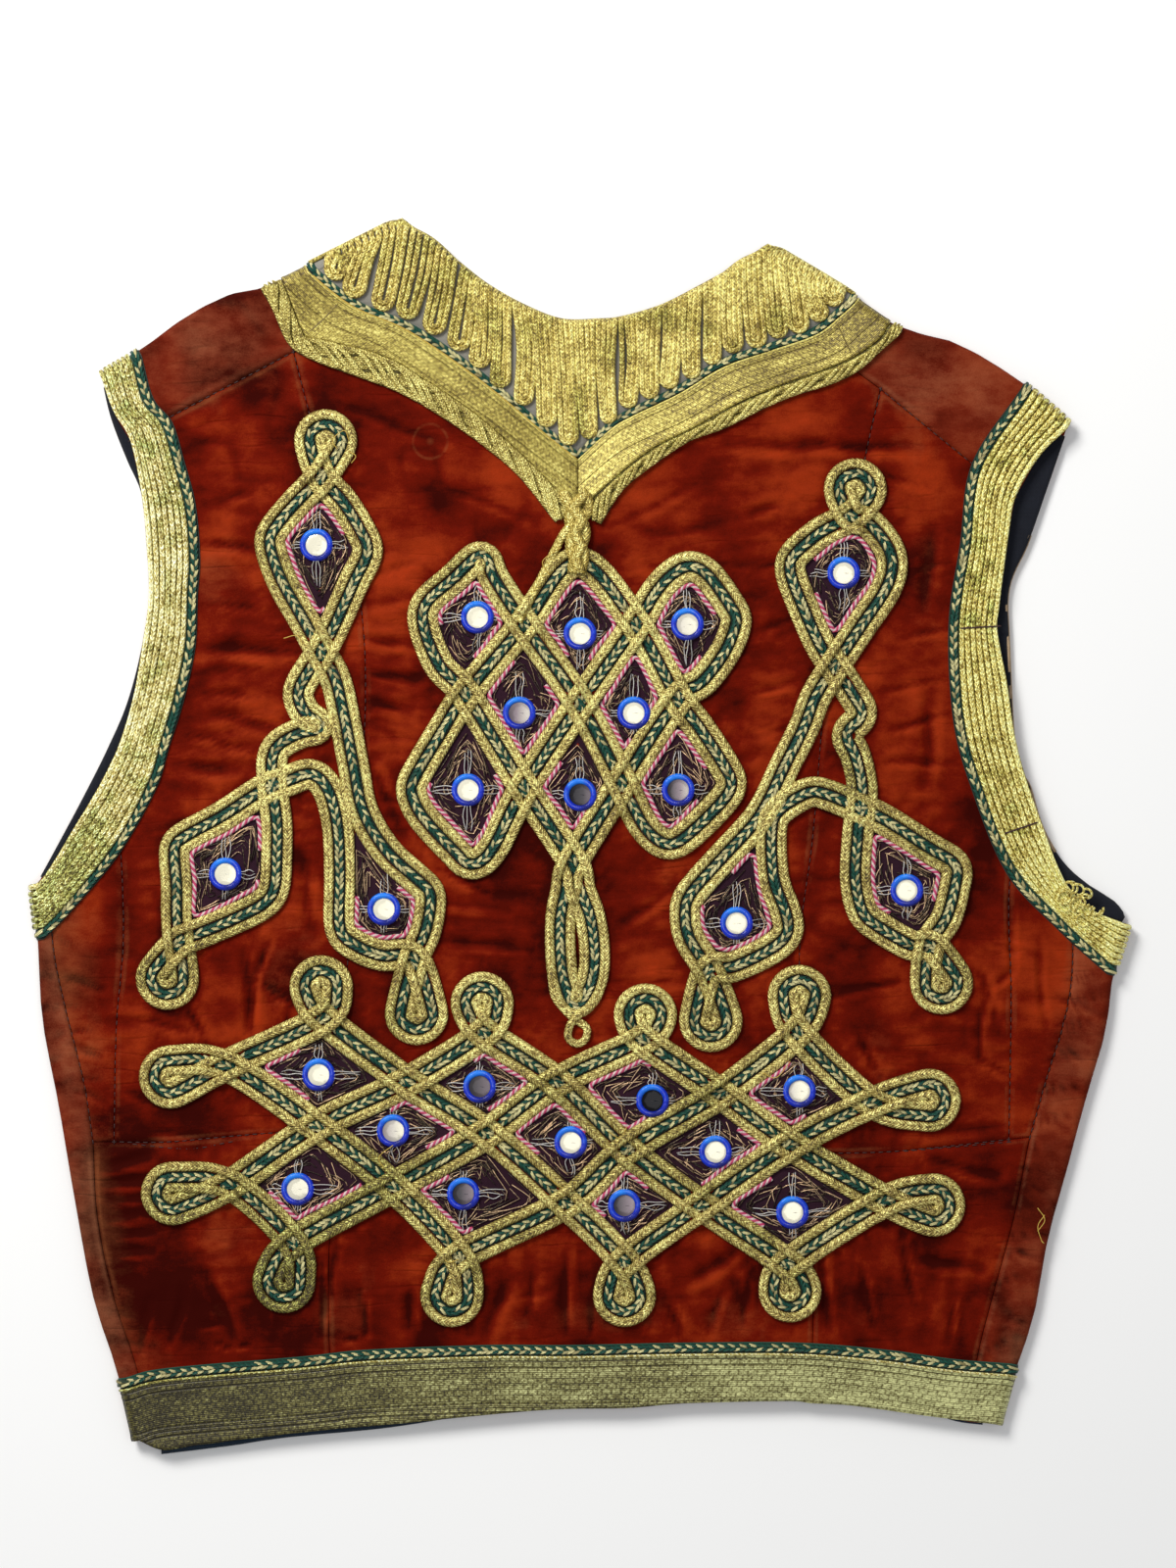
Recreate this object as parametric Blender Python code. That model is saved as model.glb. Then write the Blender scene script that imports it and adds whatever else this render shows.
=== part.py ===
"""Embroidered velvet waistcoat lying flat, its back uppermost.

The two fronts lie face down. Each front is one sheet with its side strip, which turns
round the side fold to the side seam, and its shoulder piece, which turns over the
shoulder fold to the yoke seam. The back panels lie above them, and the trims lie on the
back. Lengths are in millimetres: X runs across, Y up the centre back and Z up. A height h
is measured outwards from the middle of the cloth wall, so it follows the cloth round a
fold.
"""
import bmesh
import bpy
import numpy as np
from mathutils import Vector
from mathutils.geometry import delaunay_2d_cdt

MM = 0.001

# Cloth
WALL = 2.4             # quilted velvet with its backing
FACE = WALL / 2        # from the middle of the wall to either face
GAP = 0.3              # between neighbours at a seam
FOLD = 2.0             # radius of the wall's middle at a fold
FOLD_STEP = 13.0       # between points along a fold line
FRONT_MID = FACE
BACK_MID = FRONT_MID + 2 * FOLD
FOLD_MID = FRONT_MID + FOLD
LINING = 1.0
BULGE = 2.0            # how far the back rises in the middle
BULGE_HALF_X = 180.0
BULGE_HALF_Y = 200.0
BULGE_Y = -40.0
STEP = 13.0            # between points along a sewn edge
FILL = 24.0            # between points inside a back panel

# Trims, as heights above the face they lie on
SEAT = 0.36            # between the cloth and a trim that lies on it
BASE = FACE + SEAT
FACING = 0.8           # grey cloth under the neck loops
CORD = 2.0             # couched gold cord and braid
CROSSING = 0.9         # rise of one braid over another
GALLOON = 1.4
CHAIN = 1.8
ROPE = 2.4
PATCH = 1.1            # lozenge patch with its bullion
RING_RISE = 2.8
MIRROR_RISE = 2.1
RING_RADIUS = 7.2
MIRROR_RADIUS = 5.0
RING_SIDES = 8
BRAID_HALF = 6.8       # half the width of a braid of three cords
CHAIN_WIDTH = 4.6
LOOP_RADIUS = 7.0      # of a braid loop, at its middle
NECK_LOOPS = 19
BAND_ROWS = 6          # rows of cord in an armhole band
LINING_WIDTH = 20.0    # of the lining strips inside the armholes
TURN = (1.05, 2.1)     # how far a trim's end points lie beyond a fold line

# Fold lines, from the neck or armhole outwards
SHOULDER_LEFT = [(-76, 260), (-95, 250.5), (-114, 241), (-135, 231), (-150, 228), (-169, 218), (-188, 204),
                 (-205, 194)]
SHOULDER_RIGHT = [(80, 249), (102, 236), (115, 228), (136, 214), (161, 207), (189, 190), (209, 173)]
SIDE_LEFT = [(-233, -22), (-230, -46), (-228, -80), (-221, -117), (-214, -158), (-206, -200), (-196, -231),
             (-189, -261)]
SIDE_RIGHT = [(233, -39), (226, -61), (223, -84), (216, -108), (211, -126), (206, -145), (198, -174),
              (192, -207), (185, -228), (178, -254)]

# Edges
NECK_SIDE_LEFT = [(-76, 260), (-64, 254), (-53, 244)]
NECK_BACK = [(-53, 244), (-40, 234), (-24, 225), (-8, 219), (8, 219), (18, 220), (35, 225), (51, 233), (62, 239)]
NECK_SIDE_RIGHT = [(62, 239), (70, 245), (80, 249)]
NECK_FRONT_LEFT = [(-76, 260), (-64, 225), (-46, 190), (-24, 165), (-1, 155)]
NECK_FRONT_RIGHT = [(80, 249), (66, 220), (46, 188), (24, 165), (1, 155)]
ARM_TOP_LEFT = [(-205, 194), (-200, 180), (-193, 168)]
ARM_LEFT = [(-193, 168), (-188, 144), (-186, 124), (-185, 101), (-188, 79), (-192, 56), (-198, 37), (-205, 22),
            (-215, 5), (-228, -17)]
ARM_END_LEFT = [(-228, -17), (-233, -22)]
ARM_TOP_RIGHT = [(209, 173), (197, 161), (187, 144)]
ARM_RIGHT = [(187, 144), (184, 128), (180, 98), (179, 86), (183, 65), (187, 39), (193, 18), (206, -15), (214, -25)]
ARM_END_RIGHT = [(214, -25), (222, -32), (233, -39)]
ARM_FRONT_LEFT = [(-205, 194), (-202, 176), (-194, 151), (-185, 123), (-185, 101), (-188, 79), (-194, 56),
                  (-202, 37), (-213, 15), (-228, -13), (-233, -22)]
ARM_FRONT_RIGHT = [(209, 173), (199, 144), (192, 124), (184, 105), (184, 81), (187, 32), (197, 8), (216, -21),
                   (233, -39)]
BAND_INNER_LEFT = [(-188, 204), (-183, 186), (-175, 176), (-170, 160), (-165, 141), (-163, 118), (-164, 101),
                   (-165, 79), (-170, 56), (-176, 37), (-182, 18), (-198, -10), (-219, -35), (-230, -46)]
BAND_INNER_RIGHT = [(189, 190), (168, 158), (163, 124), (158, 89), (160, 48), (168, 18), (183, -18), (205, -42),
                    (226, -61)]
HEM_LEFT = [(-189, -261), (-149, -259), (-106, -256)]
HEM_MIDDLE = [(-106, -256), (-81, -254), (-18, -248), (20, -247), (45, -245), (88, -244), (99, -245)]
HEM_RIGHT = [(99, -245), (117, -246), (146, -250), (178, -254)]
HEM_FRONT_LEFT = [(-189, -261), (-130, -256), (-60, -250), (-1, -244)]
HEM_FRONT_RIGHT = [(178, -254), (130, -246), (60, -242), (1, -244)]
HEM_CHAIN_TOP = [(-195, -234), (-178, -230), (-120, -225), (-91, -222), (-40, -220), (-4, -220), (45, -219),
                 (94, -219), (131, -222), (160, -226), (185, -228)]
LINING_HEM = [(-184, -264), (-149, -262), (-81, -257), (-30, -249), (20, -244), (100, -242), (140, -247),
              (160, -254), (173, -256)]
LINING_HEM_DEPTH = 12.0

# Seams of the back
YOKE_SIDE_LEFT = [(-193, 168), (-176, 178), (-123, 206)]
YOKE_NECK_LEFT = [(-123, 206), (-88, 225), (-53, 244)]
YOKE_SIDE_RIGHT = [(187, 144), (167, 159), (129, 190)]
YOKE_NECK_RIGHT = [(129, 190), (96, 214), (62, 239)]
PRINCESS_LEFT = [(-123, 206), (-114, 172), (-98, 120), (-92, 60), (-99, -47), (-106, -131)]
PRINCESS_RIGHT = [(129, 190), (122, 159), (108, 88), (100, 0), (94, -55), (98, -138)]
PRINCESS_HEM_LEFT = [(-106, -131), (-108, -200), (-106, -256)]
PRINCESS_HEM_RIGHT = [(98, -138), (100, -200), (99, -245)]
PANEL_LEFT = [(-205, 22), (-198, 0), (-196, -45), (-199, -84), (-200, -133)]
PANEL_RIGHT = [(193, 18), (187, -5), (184, -29), (185, -72), (184, -132)]
SIDE_SEAM_LEFT = [(-228, -17), (-226, -50), (-221, -75), (-213, -107), (-209, -133)]
SIDE_SEAM_RIGHT = [(214, -25), (211, -62), (207, -84), (201, -103), (193, -131)]
SIDE_SEAM_HEM_LEFT = [(-209, -133), (-207, -166), (-200, -200), (-190, -231), (-184, -260)]
SIDE_SEAM_HEM_RIGHT = [(193, -131), (186, -166), (179, -192), (171, -223), (166, -253)]
WAIST_SIDE_LEFT = [(-209, -133), (-200, -133)]
WAIST_LEFT = [(-200, -133), (-177, -133), (-129, -129), (-106, -131)]
WAIST_SIDE_RIGHT = [(193, -131), (184, -132)]
WAIST_RIGHT = [(184, -132), (136, -137), (98, -138)]

# Neck trims, from the shoulder folds to the point of the V
TIP = -1.0
LOOP_ENDS_LEFT = [(-113, 242), (-107, 235), (-95, 227), (-84, 221), (-69, 214), (-52, 204), (-36, 193), (-20, 179),
                  (-8, 168), (TIP, 163)]
LOOP_ENDS_RIGHT = [(115, 228), (108, 219), (92, 213), (78, 207), (62, 202), (48, 196), (32, 185), (16, 177),
                   (5, 169), (TIP, 163)]
ROPE_INNER_LEFT = [(-127, 235), (-118, 213), (-111, 211), (-84, 204), (-62, 191), (-42, 177), (-20, 157),
                   (TIP, 137)]
ROPE_INNER_RIGHT = [(132, 217), (128, 211), (116, 203), (101, 197), (82, 190), (66, 183), (48, 173), (32, 165),
                    (16, 153), (TIP, 137)]
ROPE_OUTER_LEFT = [(-136, 231), (-132, 224), (-125, 209), (-114, 202), (-95, 195), (-77, 188), (-58, 177),
                   (-41, 165), (-26, 152), (-11, 133)]
ROPE_OUTER_RIGHT = [(137, 213), (130, 207), (120, 198), (108, 192), (92, 187), (78, 181), (62, 173), (48, 168),
                    (34, 159), (19, 147), (9, 132)]
KNOT = {"x": -1.0, "y": 126.2, "half_width": 6.0, "half_height": 4.6, "sides": 10}

# Lower lattice of braid: its crossings row by row, and the middles of its end loops
LATTICE = [
    [(-110, -80), (-41, -86), (27, -89), (93, -86)],
    [(-152, -100), (-74, -107), (-10, -107), (60, -112), (125, -116)],
    [(-113, -126), (-40, -129), (20, -136), (90, -134)],
    [(-150, -151), (-80, -152), (-6, -159), (52, -160), (131, -158)],
    [(-123, -176), (-52, -182), (19, -184), (89, -185)],
]
LOOPS_TOP = [(-111, -66), (-42, -73), (28, -78), (94, -70)]
LOOPS_BOTTOM = [(-127, -193), (-55, -199), (19, -199), (90, -197)]
LOOPS_LEFT = [(-176, -105), (-175, -155)]
LOOPS_RIGHT = [(150, -115), (152, -160)]

# Centre lattice: its crossings, its four round corners and its tail
CENTRE = {"top": (-1, 116), "upper_left": (-24, 89), "upper_right": (24, 89), "left": (-49, 59),
          "middle": (0, 55), "right": (42, 57), "lower_left": (-24, 19), "lower_right": (18, 21),
          "bottom": (-3, -13)}
CORNER_TOP_LEFT = [(-37, 109), (-42, 119), (-55, 108), (-66, 98), (-67, 88), (-60, 71)]
CORNER_TOP_RIGHT = [(32, 102), (39, 110), (47, 114), (55, 110), (65, 96), (67, 90), (62, 77), (52, 64)]
CORNER_LOW_RIGHT = [(51, 45), (62, 28), (65, 20), (59, 11), (44, -3), (36, -5), (27, 3)]
CORNER_LOW_LEFT = [(-58, 45), (-71, 23), (-72, 16), (-67, 6), (-54, -8), (-47, -14), (-38, -8)]
TAIL = [(-6, -24), (-9, -36), (-9, -53), (-7, -66), (-2, -75), (5, -66), (7, -53), (5, -36), (0, -24)]
TAIL_HALF = 5.0
TAIL_HEART = [(-3, -22), (-1, -60)]
TAIL_RING = {"x": -1.0, "y": -85.0, "radius": 2.2, "half_width": 2.2}

# Pendants of braid either side
PENDANT_LEFT = {
    "outer": [(-111, 152), (-102, 142), (-94, 129), (-91, 120), (-97, 107), (-105, 89), (-111, 77), (-117, 68),
              (-121, 59), (-117, 50), (-110, 45), (-121, 42), (-131, 35), (-132, 21), (-130, 4), (-130, -9),
              (-131, -24), (-136, -31), (-150, -38), (-167, -45), (-172, -47)],
    "inner": [(-111, 152), (-121, 142), (-131, 130), (-133, 123), (-128, 108), (-118, 90), (-111, 77), (-105, 66),
              (-101, 49), (-97, 28), (-93, 9), (-83, -8), (-69, -21), (-64, -27), (-66, -42), (-71, -54)],
    "arch": [(-71, -54), (-85, -53), (-97, -48), (-103, -41), (-103, -18), (-104, 3), (-108, 18), (-115, 25),
             (-125, 22), (-136, 18), (-153, 7), (-171, -3), (-174, -8), (-173, -23), (-173, -36), (-172, -47)],
    "crossings": [(-111, 152), (-111, 77), (-172, -47), (-71, -54)],
    "loops": [((-111, 152), (-109, 168)), ((-172, -47), (-177, -63)), ((-71, -54), (-70, -78))],
}
PENDANT_RIGHT = {
    "outer": [(116, 135), (104, 129), (92, 119), (90, 112), (95, 98), (103, 80), (109, 71), (117, 59), (121, 50),
              (114, 42), (118, 33), (121, 18), (119, -1), (118, -20), (121, -34), (127, -40), (143, -49),
              (150, -48)],
    "inner": [(116, 135), (123, 133), (131, 124), (134, 115), (131, 104), (121, 89), (109, 71), (101, 58),
              (96, 45), (88, 29), (77, 7), (61, -11), (47, -27), (45, -36), (47, -46), (55, -59)],
    "arch": [(55, -59), (65, -58), (82, -50), (89, -43), (88, -34), (83, -20), (82, 0), (85, 9), (98, 17),
             (106, 16), (118, 11), (131, 5), (150, -7), (161, -14), (161, -22), (157, -37), (150, -48)],
    "crossings": [(116, 135), (109, 71), (150, -48), (55, -59)],
    "loops": [((116, 135), (118, 147)), ((150, -48), (155, -65)), ((55, -59), (56, -81))],
}
MIRRORS = [
    (-113, 123), (-152, -18), (-84, -33), (113, 111), (140, -25), (67, -39),
    (-44, 92), (0, 85), (46, 89), (-26, 51), (23, 51), (-48, 18), (0, 16), (42, 18),
    (-112, -104), (-43, -109), (31, -115), (94, -111), (-80, -128), (-4, -133), (58, -137),
    (-121, -153), (-50, -155), (19, -160), (91, -163),
]

# Creases and puckers of the back, from one end to the other: x0, y0, x1, y1, width, depth
CREASES = [
    (-162, 124, -139, 121, 3.5, 1.0), (-164, 79, -121, 77, 4.0, 1.2), (-159, 50, -134, 45, 3.5, 1.0),
    (-176, 29, -149, 27, 3.5, 1.0), (-92, 98, -72, 100, 3.0, 0.8), (-91, 84, -70, 80, 3.0, 1.0),
    (-91, 70, -68, 66, 3.0, 0.9), (-90, 57, -72, 52, 3.0, 0.8), (-89, 28, -76, -1, 3.5, 1.0),
    (60, 168, 103, 166, 4.0, 1.0), (103, 166, 146, 165, 4.0, 1.0), (74, 138, 86, 140, 3.0, 0.8),
    (-144, -52, -142, -86, 3.5, 1.2), (-120, -10, -114, -44, 3.5, 0.8), (-73, -196, -74, -212, 3.5, 1.2),
    (-33, -196, -41, -214, 4.0, 1.2), (38, -203, 43, -214, 3.5, 1.0), (46, -194, 66, -180, 4.0, 1.0),
    (-6, -180, -7, -214, 3.0, 1.2), (150, -140, 178, -146, 3.5, 1.0), (146, -182, 172, -188, 3.5, 0.9),
    (-204, -143, -186, -141, 2.5, 1.0), (-204, -150, -184, -149, 2.5, 1.1), (-203, -157, -186, -156, 2.5, 0.9),
    (-202, -164, -183, -164, 2.5, 1.1), (-201, -172, -185, -172, 2.5, 0.9), (-200, -180, -183, -180, 2.5, 1.0),
    (150, 130, 146, 96, 4.0, 0.8), (150, 60, 148, 20, 4.0, 0.9), (-160, -190, -150, -215, 4.0, 1.0),
]

GOLD = (0.55, 0.40, 0.13)
SPIN = np.array([[0.0, -1.0], [1.0, 0.0]])    # turns a direction to its right


def curve(points, step=STEP):
    """Smooth curve through the points, as evenly spaced points with both ends kept."""
    knots = np.array(points, float)
    padded = np.vstack([2 * knots[0] - knots[1], knots, 2 * knots[-1] - knots[-2]])
    share = np.linspace(0.0, 1.0, 12, endpoint=False)[:, None]
    dense = []
    for a, b, c, d in zip(padded[:-3], padded[1:-2], padded[2:-1], padded[3:]):
        dense.append(b + 0.5 * share * (c - a + share * (2 * a - 5 * b + 4 * c - d + share * (3 * b - 3 * c + d - a))))
    return resample(np.vstack(dense + [knots[-1:]]), step)


def resample(line, step=None, count=None):
    """Points spread evenly along a line, a step apart or a count in all."""
    length = np.concatenate([[0.0], np.cumsum(np.linalg.norm(np.diff(line, axis=0), axis=1))])
    if count is None:
        count = max(2, int(round(length[-1] / step)) + 1)
    places = np.linspace(0.0, length[-1], count)
    return np.column_stack([np.interp(places, length, line[:, i]) for i in range(2)])


def joined(*lines):
    """One closed outline from lines laid end to end."""
    points = [p for line in lines for p in line]
    kept = [p for p, q in zip(points, points[1:] + points[:1]) if np.linalg.norm(np.subtract(p, q)) > 0.4]
    outline = np.array(kept)
    x, y = outline.T
    area = np.sum(x * np.roll(y, -1) - y * np.roll(x, -1))
    return outline if area > 0 else outline[::-1]


def back(line):
    """The same line, run the other way."""
    return line[::-1]


def end_to_end(*tables, step=STEP):
    """One line from curves that each start where the last one ends."""
    first, *others = [curve(table, step) for table in tables]
    return np.vstack([first] + [line[1:] for line in others])


def inset(outline, distance):
    """The outline moved in by a distance, its corners mitred."""
    before = outline - np.roll(outline, 1, axis=0)
    after = np.roll(outline, -1, axis=0) - outline
    n0 = (before / np.linalg.norm(before, axis=1)[:, None]) @ SPIN
    n1 = (after / np.linalg.norm(after, axis=1)[:, None]) @ SPIN
    mid = n0 + n1
    return outline - distance * 2 * mid / np.maximum(np.sum(mid * mid, axis=1), 0.7)[:, None]


def inside(points, outlines):
    """Which points lie inside the outlines, counting crossings of a ray."""
    x, y = points[:, 0][:, None], points[:, 1][:, None]
    crossings = np.zeros(len(points), int)
    for outline in outlines:
        x0, y0 = outline.T
        x1, y1 = np.roll(outline, -1, axis=0).T
        spans = (y0 > y) != (y1 > y)
        with np.errstate(divide="ignore", invalid="ignore"):
            meets = x < x0 + (y - y0) * (x1 - x0) / (y1 - y0)
        crossings += np.sum(spans & meets, axis=1)
    return crossings % 2 == 1


def foot(points, line):
    """For each point, the nearest place on a line, the line's direction there and the distance."""
    a, b = line[:-1], line[1:]
    run = b - a
    t = np.sum((points[:, None] - a) * run, axis=2) / np.sum(run * run, axis=1)
    places = a + np.clip(t, 0.0, 1.0)[..., None] * run
    distance = np.linalg.norm(points[:, None] - places, axis=2)
    best = np.argmin(distance, axis=1)
    rows = np.arange(len(points))
    along = run[best] / np.linalg.norm(run[best], axis=1)[:, None]
    return places[rows, best], along, distance[rows, best]


class Fold:
    """A fold line. Cloth beyond it turns over on a half circle and lies back on itself.

    Distances beyond it are measured straight across its run, from its first point to its last.
    """

    def __init__(self, points):
        self.core = curve(points, FOLD_STEP)
        self.origin = self.core[0]
        run = self.core[-1] - self.origin
        self.along = run / np.linalg.norm(run)
        self.out = self.along @ SPIN
        self.out *= np.sign(self.out @ self.origin)
        self.places = (self.core - self.origin) @ self.along
        self.levels = (self.core - self.origin) @ self.out

    def measure(self, points):
        """How far points lie beyond the fold, and the places straight across on it."""
        local = np.asarray(points, float) - self.origin
        distance = local @ self.out - np.interp(local @ self.along, self.places, self.levels)
        return distance, points - distance[:, None] * self.out

    def beyond(self, points, distance):
        """The places at a distance out from the fold, straight across from the given ones."""
        _, places = self.measure(np.atleast_2d(points).astype(float))
        return places + self.out * distance

    def unfolded(self, line):
        """A line on the turned side, laid out flat beyond the fold."""
        distance, places = self.measure(np.asarray(line, float))
        return places + self.out * (np.pi * FOLD - distance - GAP / 2)[:, None]


FOLDS = {name: Fold(points) for name, points in (
    ("shoulder_left", SHOULDER_LEFT), ("shoulder_right", SHOULDER_RIGHT),
    ("side_left", SIDE_LEFT), ("side_right", SIDE_RIGHT))}


def bulge(xy):
    """How far the back stands above its edges."""
    across = np.clip(1 - (xy[:, 0] / BULGE_HALF_X) ** 2, 0, None)
    along = np.clip(1 - ((xy[:, 1] - BULGE_Y) / BULGE_HALF_Y) ** 2, 0, None)
    return BULGE * across ** 2 * along ** 2


def placed(xy, height, layer):
    """Points of the flat pattern at their heights, turned round the folds."""
    xy = np.asarray(xy, float)
    height = np.broadcast_to(height, len(xy)).astype(float)
    sign = 1.0 if layer == "back" else -1.0
    where = xy.copy()
    z = FOLD_MID + sign * (FOLD + height)
    for fold in FOLDS.values():
        beyond, places = fold.measure(xy)
        over = beyond > 1e-6
        angle = np.clip(beyond / FOLD, 0.0, np.pi)
        out = (FOLD + height) * np.sin(angle) - np.clip(beyond - np.pi * FOLD, 0.0, None)
        where[over] = (places + out[:, None] * fold.out)[over]
        z[over] = (FOLD_MID + sign * (FOLD + height) * np.cos(angle))[over]
    if layer == "back":
        z += bulge(where)
    return np.column_stack([where, z])


def material(name, colour, roughness=0.8, metallic=0.0):
    """A plain surface."""
    made = bpy.data.materials.new(name)
    made.use_nodes = True
    shader = made.node_tree.nodes["Principled BSDF"]
    shader.inputs["Base Color"].default_value = (*colour, 1.0)
    shader.inputs["Roughness"].default_value = roughness
    shader.inputs["Metallic"].default_value = metallic
    return made


def add_object(name, vertices, faces, surface):
    """One closed body from points in millimetres, faces turned outwards."""
    mesh = bpy.data.meshes.new(name)
    mesh.from_pydata((np.asarray(vertices) * MM).tolist(), [], faces)
    mesh.materials.append(material(name + "_surface", *surface))
    work = bmesh.new()
    work.from_mesh(mesh)
    bmesh.ops.recalc_face_normals(work, faces=work.faces)
    bmesh.ops.triangulate(work, faces=[f for f in work.faces if len(f.verts) > 3])
    work.to_mesh(mesh)
    work.free()
    made = bpy.data.objects.new(name, mesh)
    bpy.context.collection.objects.link(made)
    return made


def triangulated(outlines, lines=(), points=()):
    """Triangles inside the outlines that keep the given lines and points.

    Outline points keep their order at the start of the points returned.
    """
    vertices, edges = [], []
    for outline in outlines:
        start, size = len(vertices), len(outline)
        vertices += [Vector(p) for p in outline]
        edges += [(start + i, start + (i + 1) % size) for i in range(size)]
    rim = len(vertices)
    for line in lines:
        start = len(vertices)
        vertices += [Vector(p) for p in line]
        edges += [(start + i, start + i + 1) for i in range(len(line) - 1)]
    vertices += [Vector(p) for p in points]
    out, _, faces, origin, _, _ = delaunay_2d_cdt(vertices, edges, [], 1, 1e-5)
    xy = np.array([tuple(v) for v in out])
    faces = np.array(faces)
    middle = xy[faces].mean(axis=1)
    faces = faces[inside(middle, outlines)]
    first = {}
    for index, sources in enumerate(origin):
        for source in sources:
            if source < rim:
                first[source] = index
    order = [first[i] for i in range(rim)]
    rest = [i for i in range(len(xy)) if i not in set(order)]
    renamed = np.empty(len(xy), int)
    renamed[order + rest] = np.arange(len(xy))
    return xy[order + rest], renamed[faces].tolist(), edges[:rim]


def sheet(name, outlines, outer, inner, layer, surface, lines=(), points=(), inner_lines=None, inner_points=()):
    """A wall over a flat pattern, between an outer and an inner height."""
    rim = sum(len(o) for o in outlines)
    top, top_faces, edges = triangulated(outlines, lines, points)
    low, low_faces, _ = triangulated(outlines, lines if inner_lines is None else inner_lines, inner_points)
    outer_height = outer(top) if callable(outer) else outer
    vertices = np.vstack([placed(top, outer_height, layer), placed(low, inner, layer)])
    shift = len(top)
    faces = [tuple(f) for f in top_faces] + [tuple(i + shift for i in reversed(f)) for f in low_faces]
    faces += [(b, a, a + shift, b + shift) for a, b in edges]
    return add_object(name, vertices, faces, surface)


def spread(outline, spacing, margin):
    """Staggered points inside an outline, a margin away from its edge."""
    low, high = outline.min(axis=0), outline.max(axis=0)
    rows = np.arange(low[1], high[1], spacing * 0.866)
    points = [(x + (0.5 * spacing if i % 2 else 0.0), y)
              for i, y in enumerate(rows) for x in np.arange(low[0], high[0], spacing)]
    points = np.array(points)
    points = points[inside(points, [outline])]
    if len(points) == 0:
        return points
    _, _, distance = foot(points, np.vstack([outline, outline[:1]]))
    return points[distance > margin]


def creased(xy):
    """Depth of the creases and puckers at each point, as negative heights."""
    depth = np.zeros(len(xy))
    for x0, y0, x1, y1, width, deep in CREASES:
        start, run = np.array([x0, y0], float), np.array([x1 - x0, y1 - y0], float)
        t = np.clip((xy - start) @ run / (run @ run), 0.0, 1.0)
        away = np.linalg.norm(xy - start - t[:, None] * run, axis=1)
        depth = np.minimum(depth, -deep * np.exp(-(away / width) ** 2))
    return depth


def crease_points(outline):
    """Points along each crease and on both its banks, where they fall inside an outline."""
    points = []
    for x0, y0, x1, y1, width, _ in CREASES:
        start, run = np.array([x0, y0], float), np.array([x1 - x0, y1 - y0], float)
        across = np.array([-run[1], run[0]]) / np.linalg.norm(run)
        stations = max(2, int(round(np.linalg.norm(run) / 11.0)) + 1)
        for t in np.linspace(0.0, 1.0, stations):
            points += [start + t * run + s * across * width for s in (-1.7, 0.0, 1.7)]
    points = np.array(points)
    points = points[inside(points, [outline])]
    if len(points) == 0:
        return points
    _, _, distance = foot(points, np.vstack([outline, outline[:1]]))
    return points[distance > 2.0]


def back_panel(name, outline):
    """A panel of the back: creased outside, plain inside."""
    cut = inset(outline, GAP / 2)
    fine = crease_points(cut)
    loose = spread(cut, FILL, 0.4 * FILL)
    if len(fine) and len(loose):
        near = np.min(np.linalg.norm(loose[:, None] - fine[None], axis=2), axis=1)
        loose = loose[near > 0.4 * FILL]
    points = [p for group in (fine, loose) for p in group]
    return sheet(name, [cut], lambda xy: FACE + creased(xy), -FACE, "back", VELVET,
                 points=points, inner_points=list(spread(cut, 60.0, 20.0)))


VELVET = ((0.30, 0.035, 0.015), 0.75)
VELVET_WORN = ((0.34, 0.06, 0.03), 0.8)
NAVY = ((0.02, 0.02, 0.035), 0.8)
GREY = ((0.28, 0.27, 0.25), 0.85)
GOLD_CORD = (GOLD, 0.45, 0.55)
GOLD_RIBBON = ((0.50, 0.38, 0.14), 0.4, 0.6)
GREEN_CHAIN = ((0.16, 0.24, 0.10), 0.6, 0.2)
OLIVE_RIBBON = ((0.24, 0.22, 0.10), 0.45, 0.5)
PURPLE = ((0.09, 0.03, 0.07), 0.7)


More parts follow.
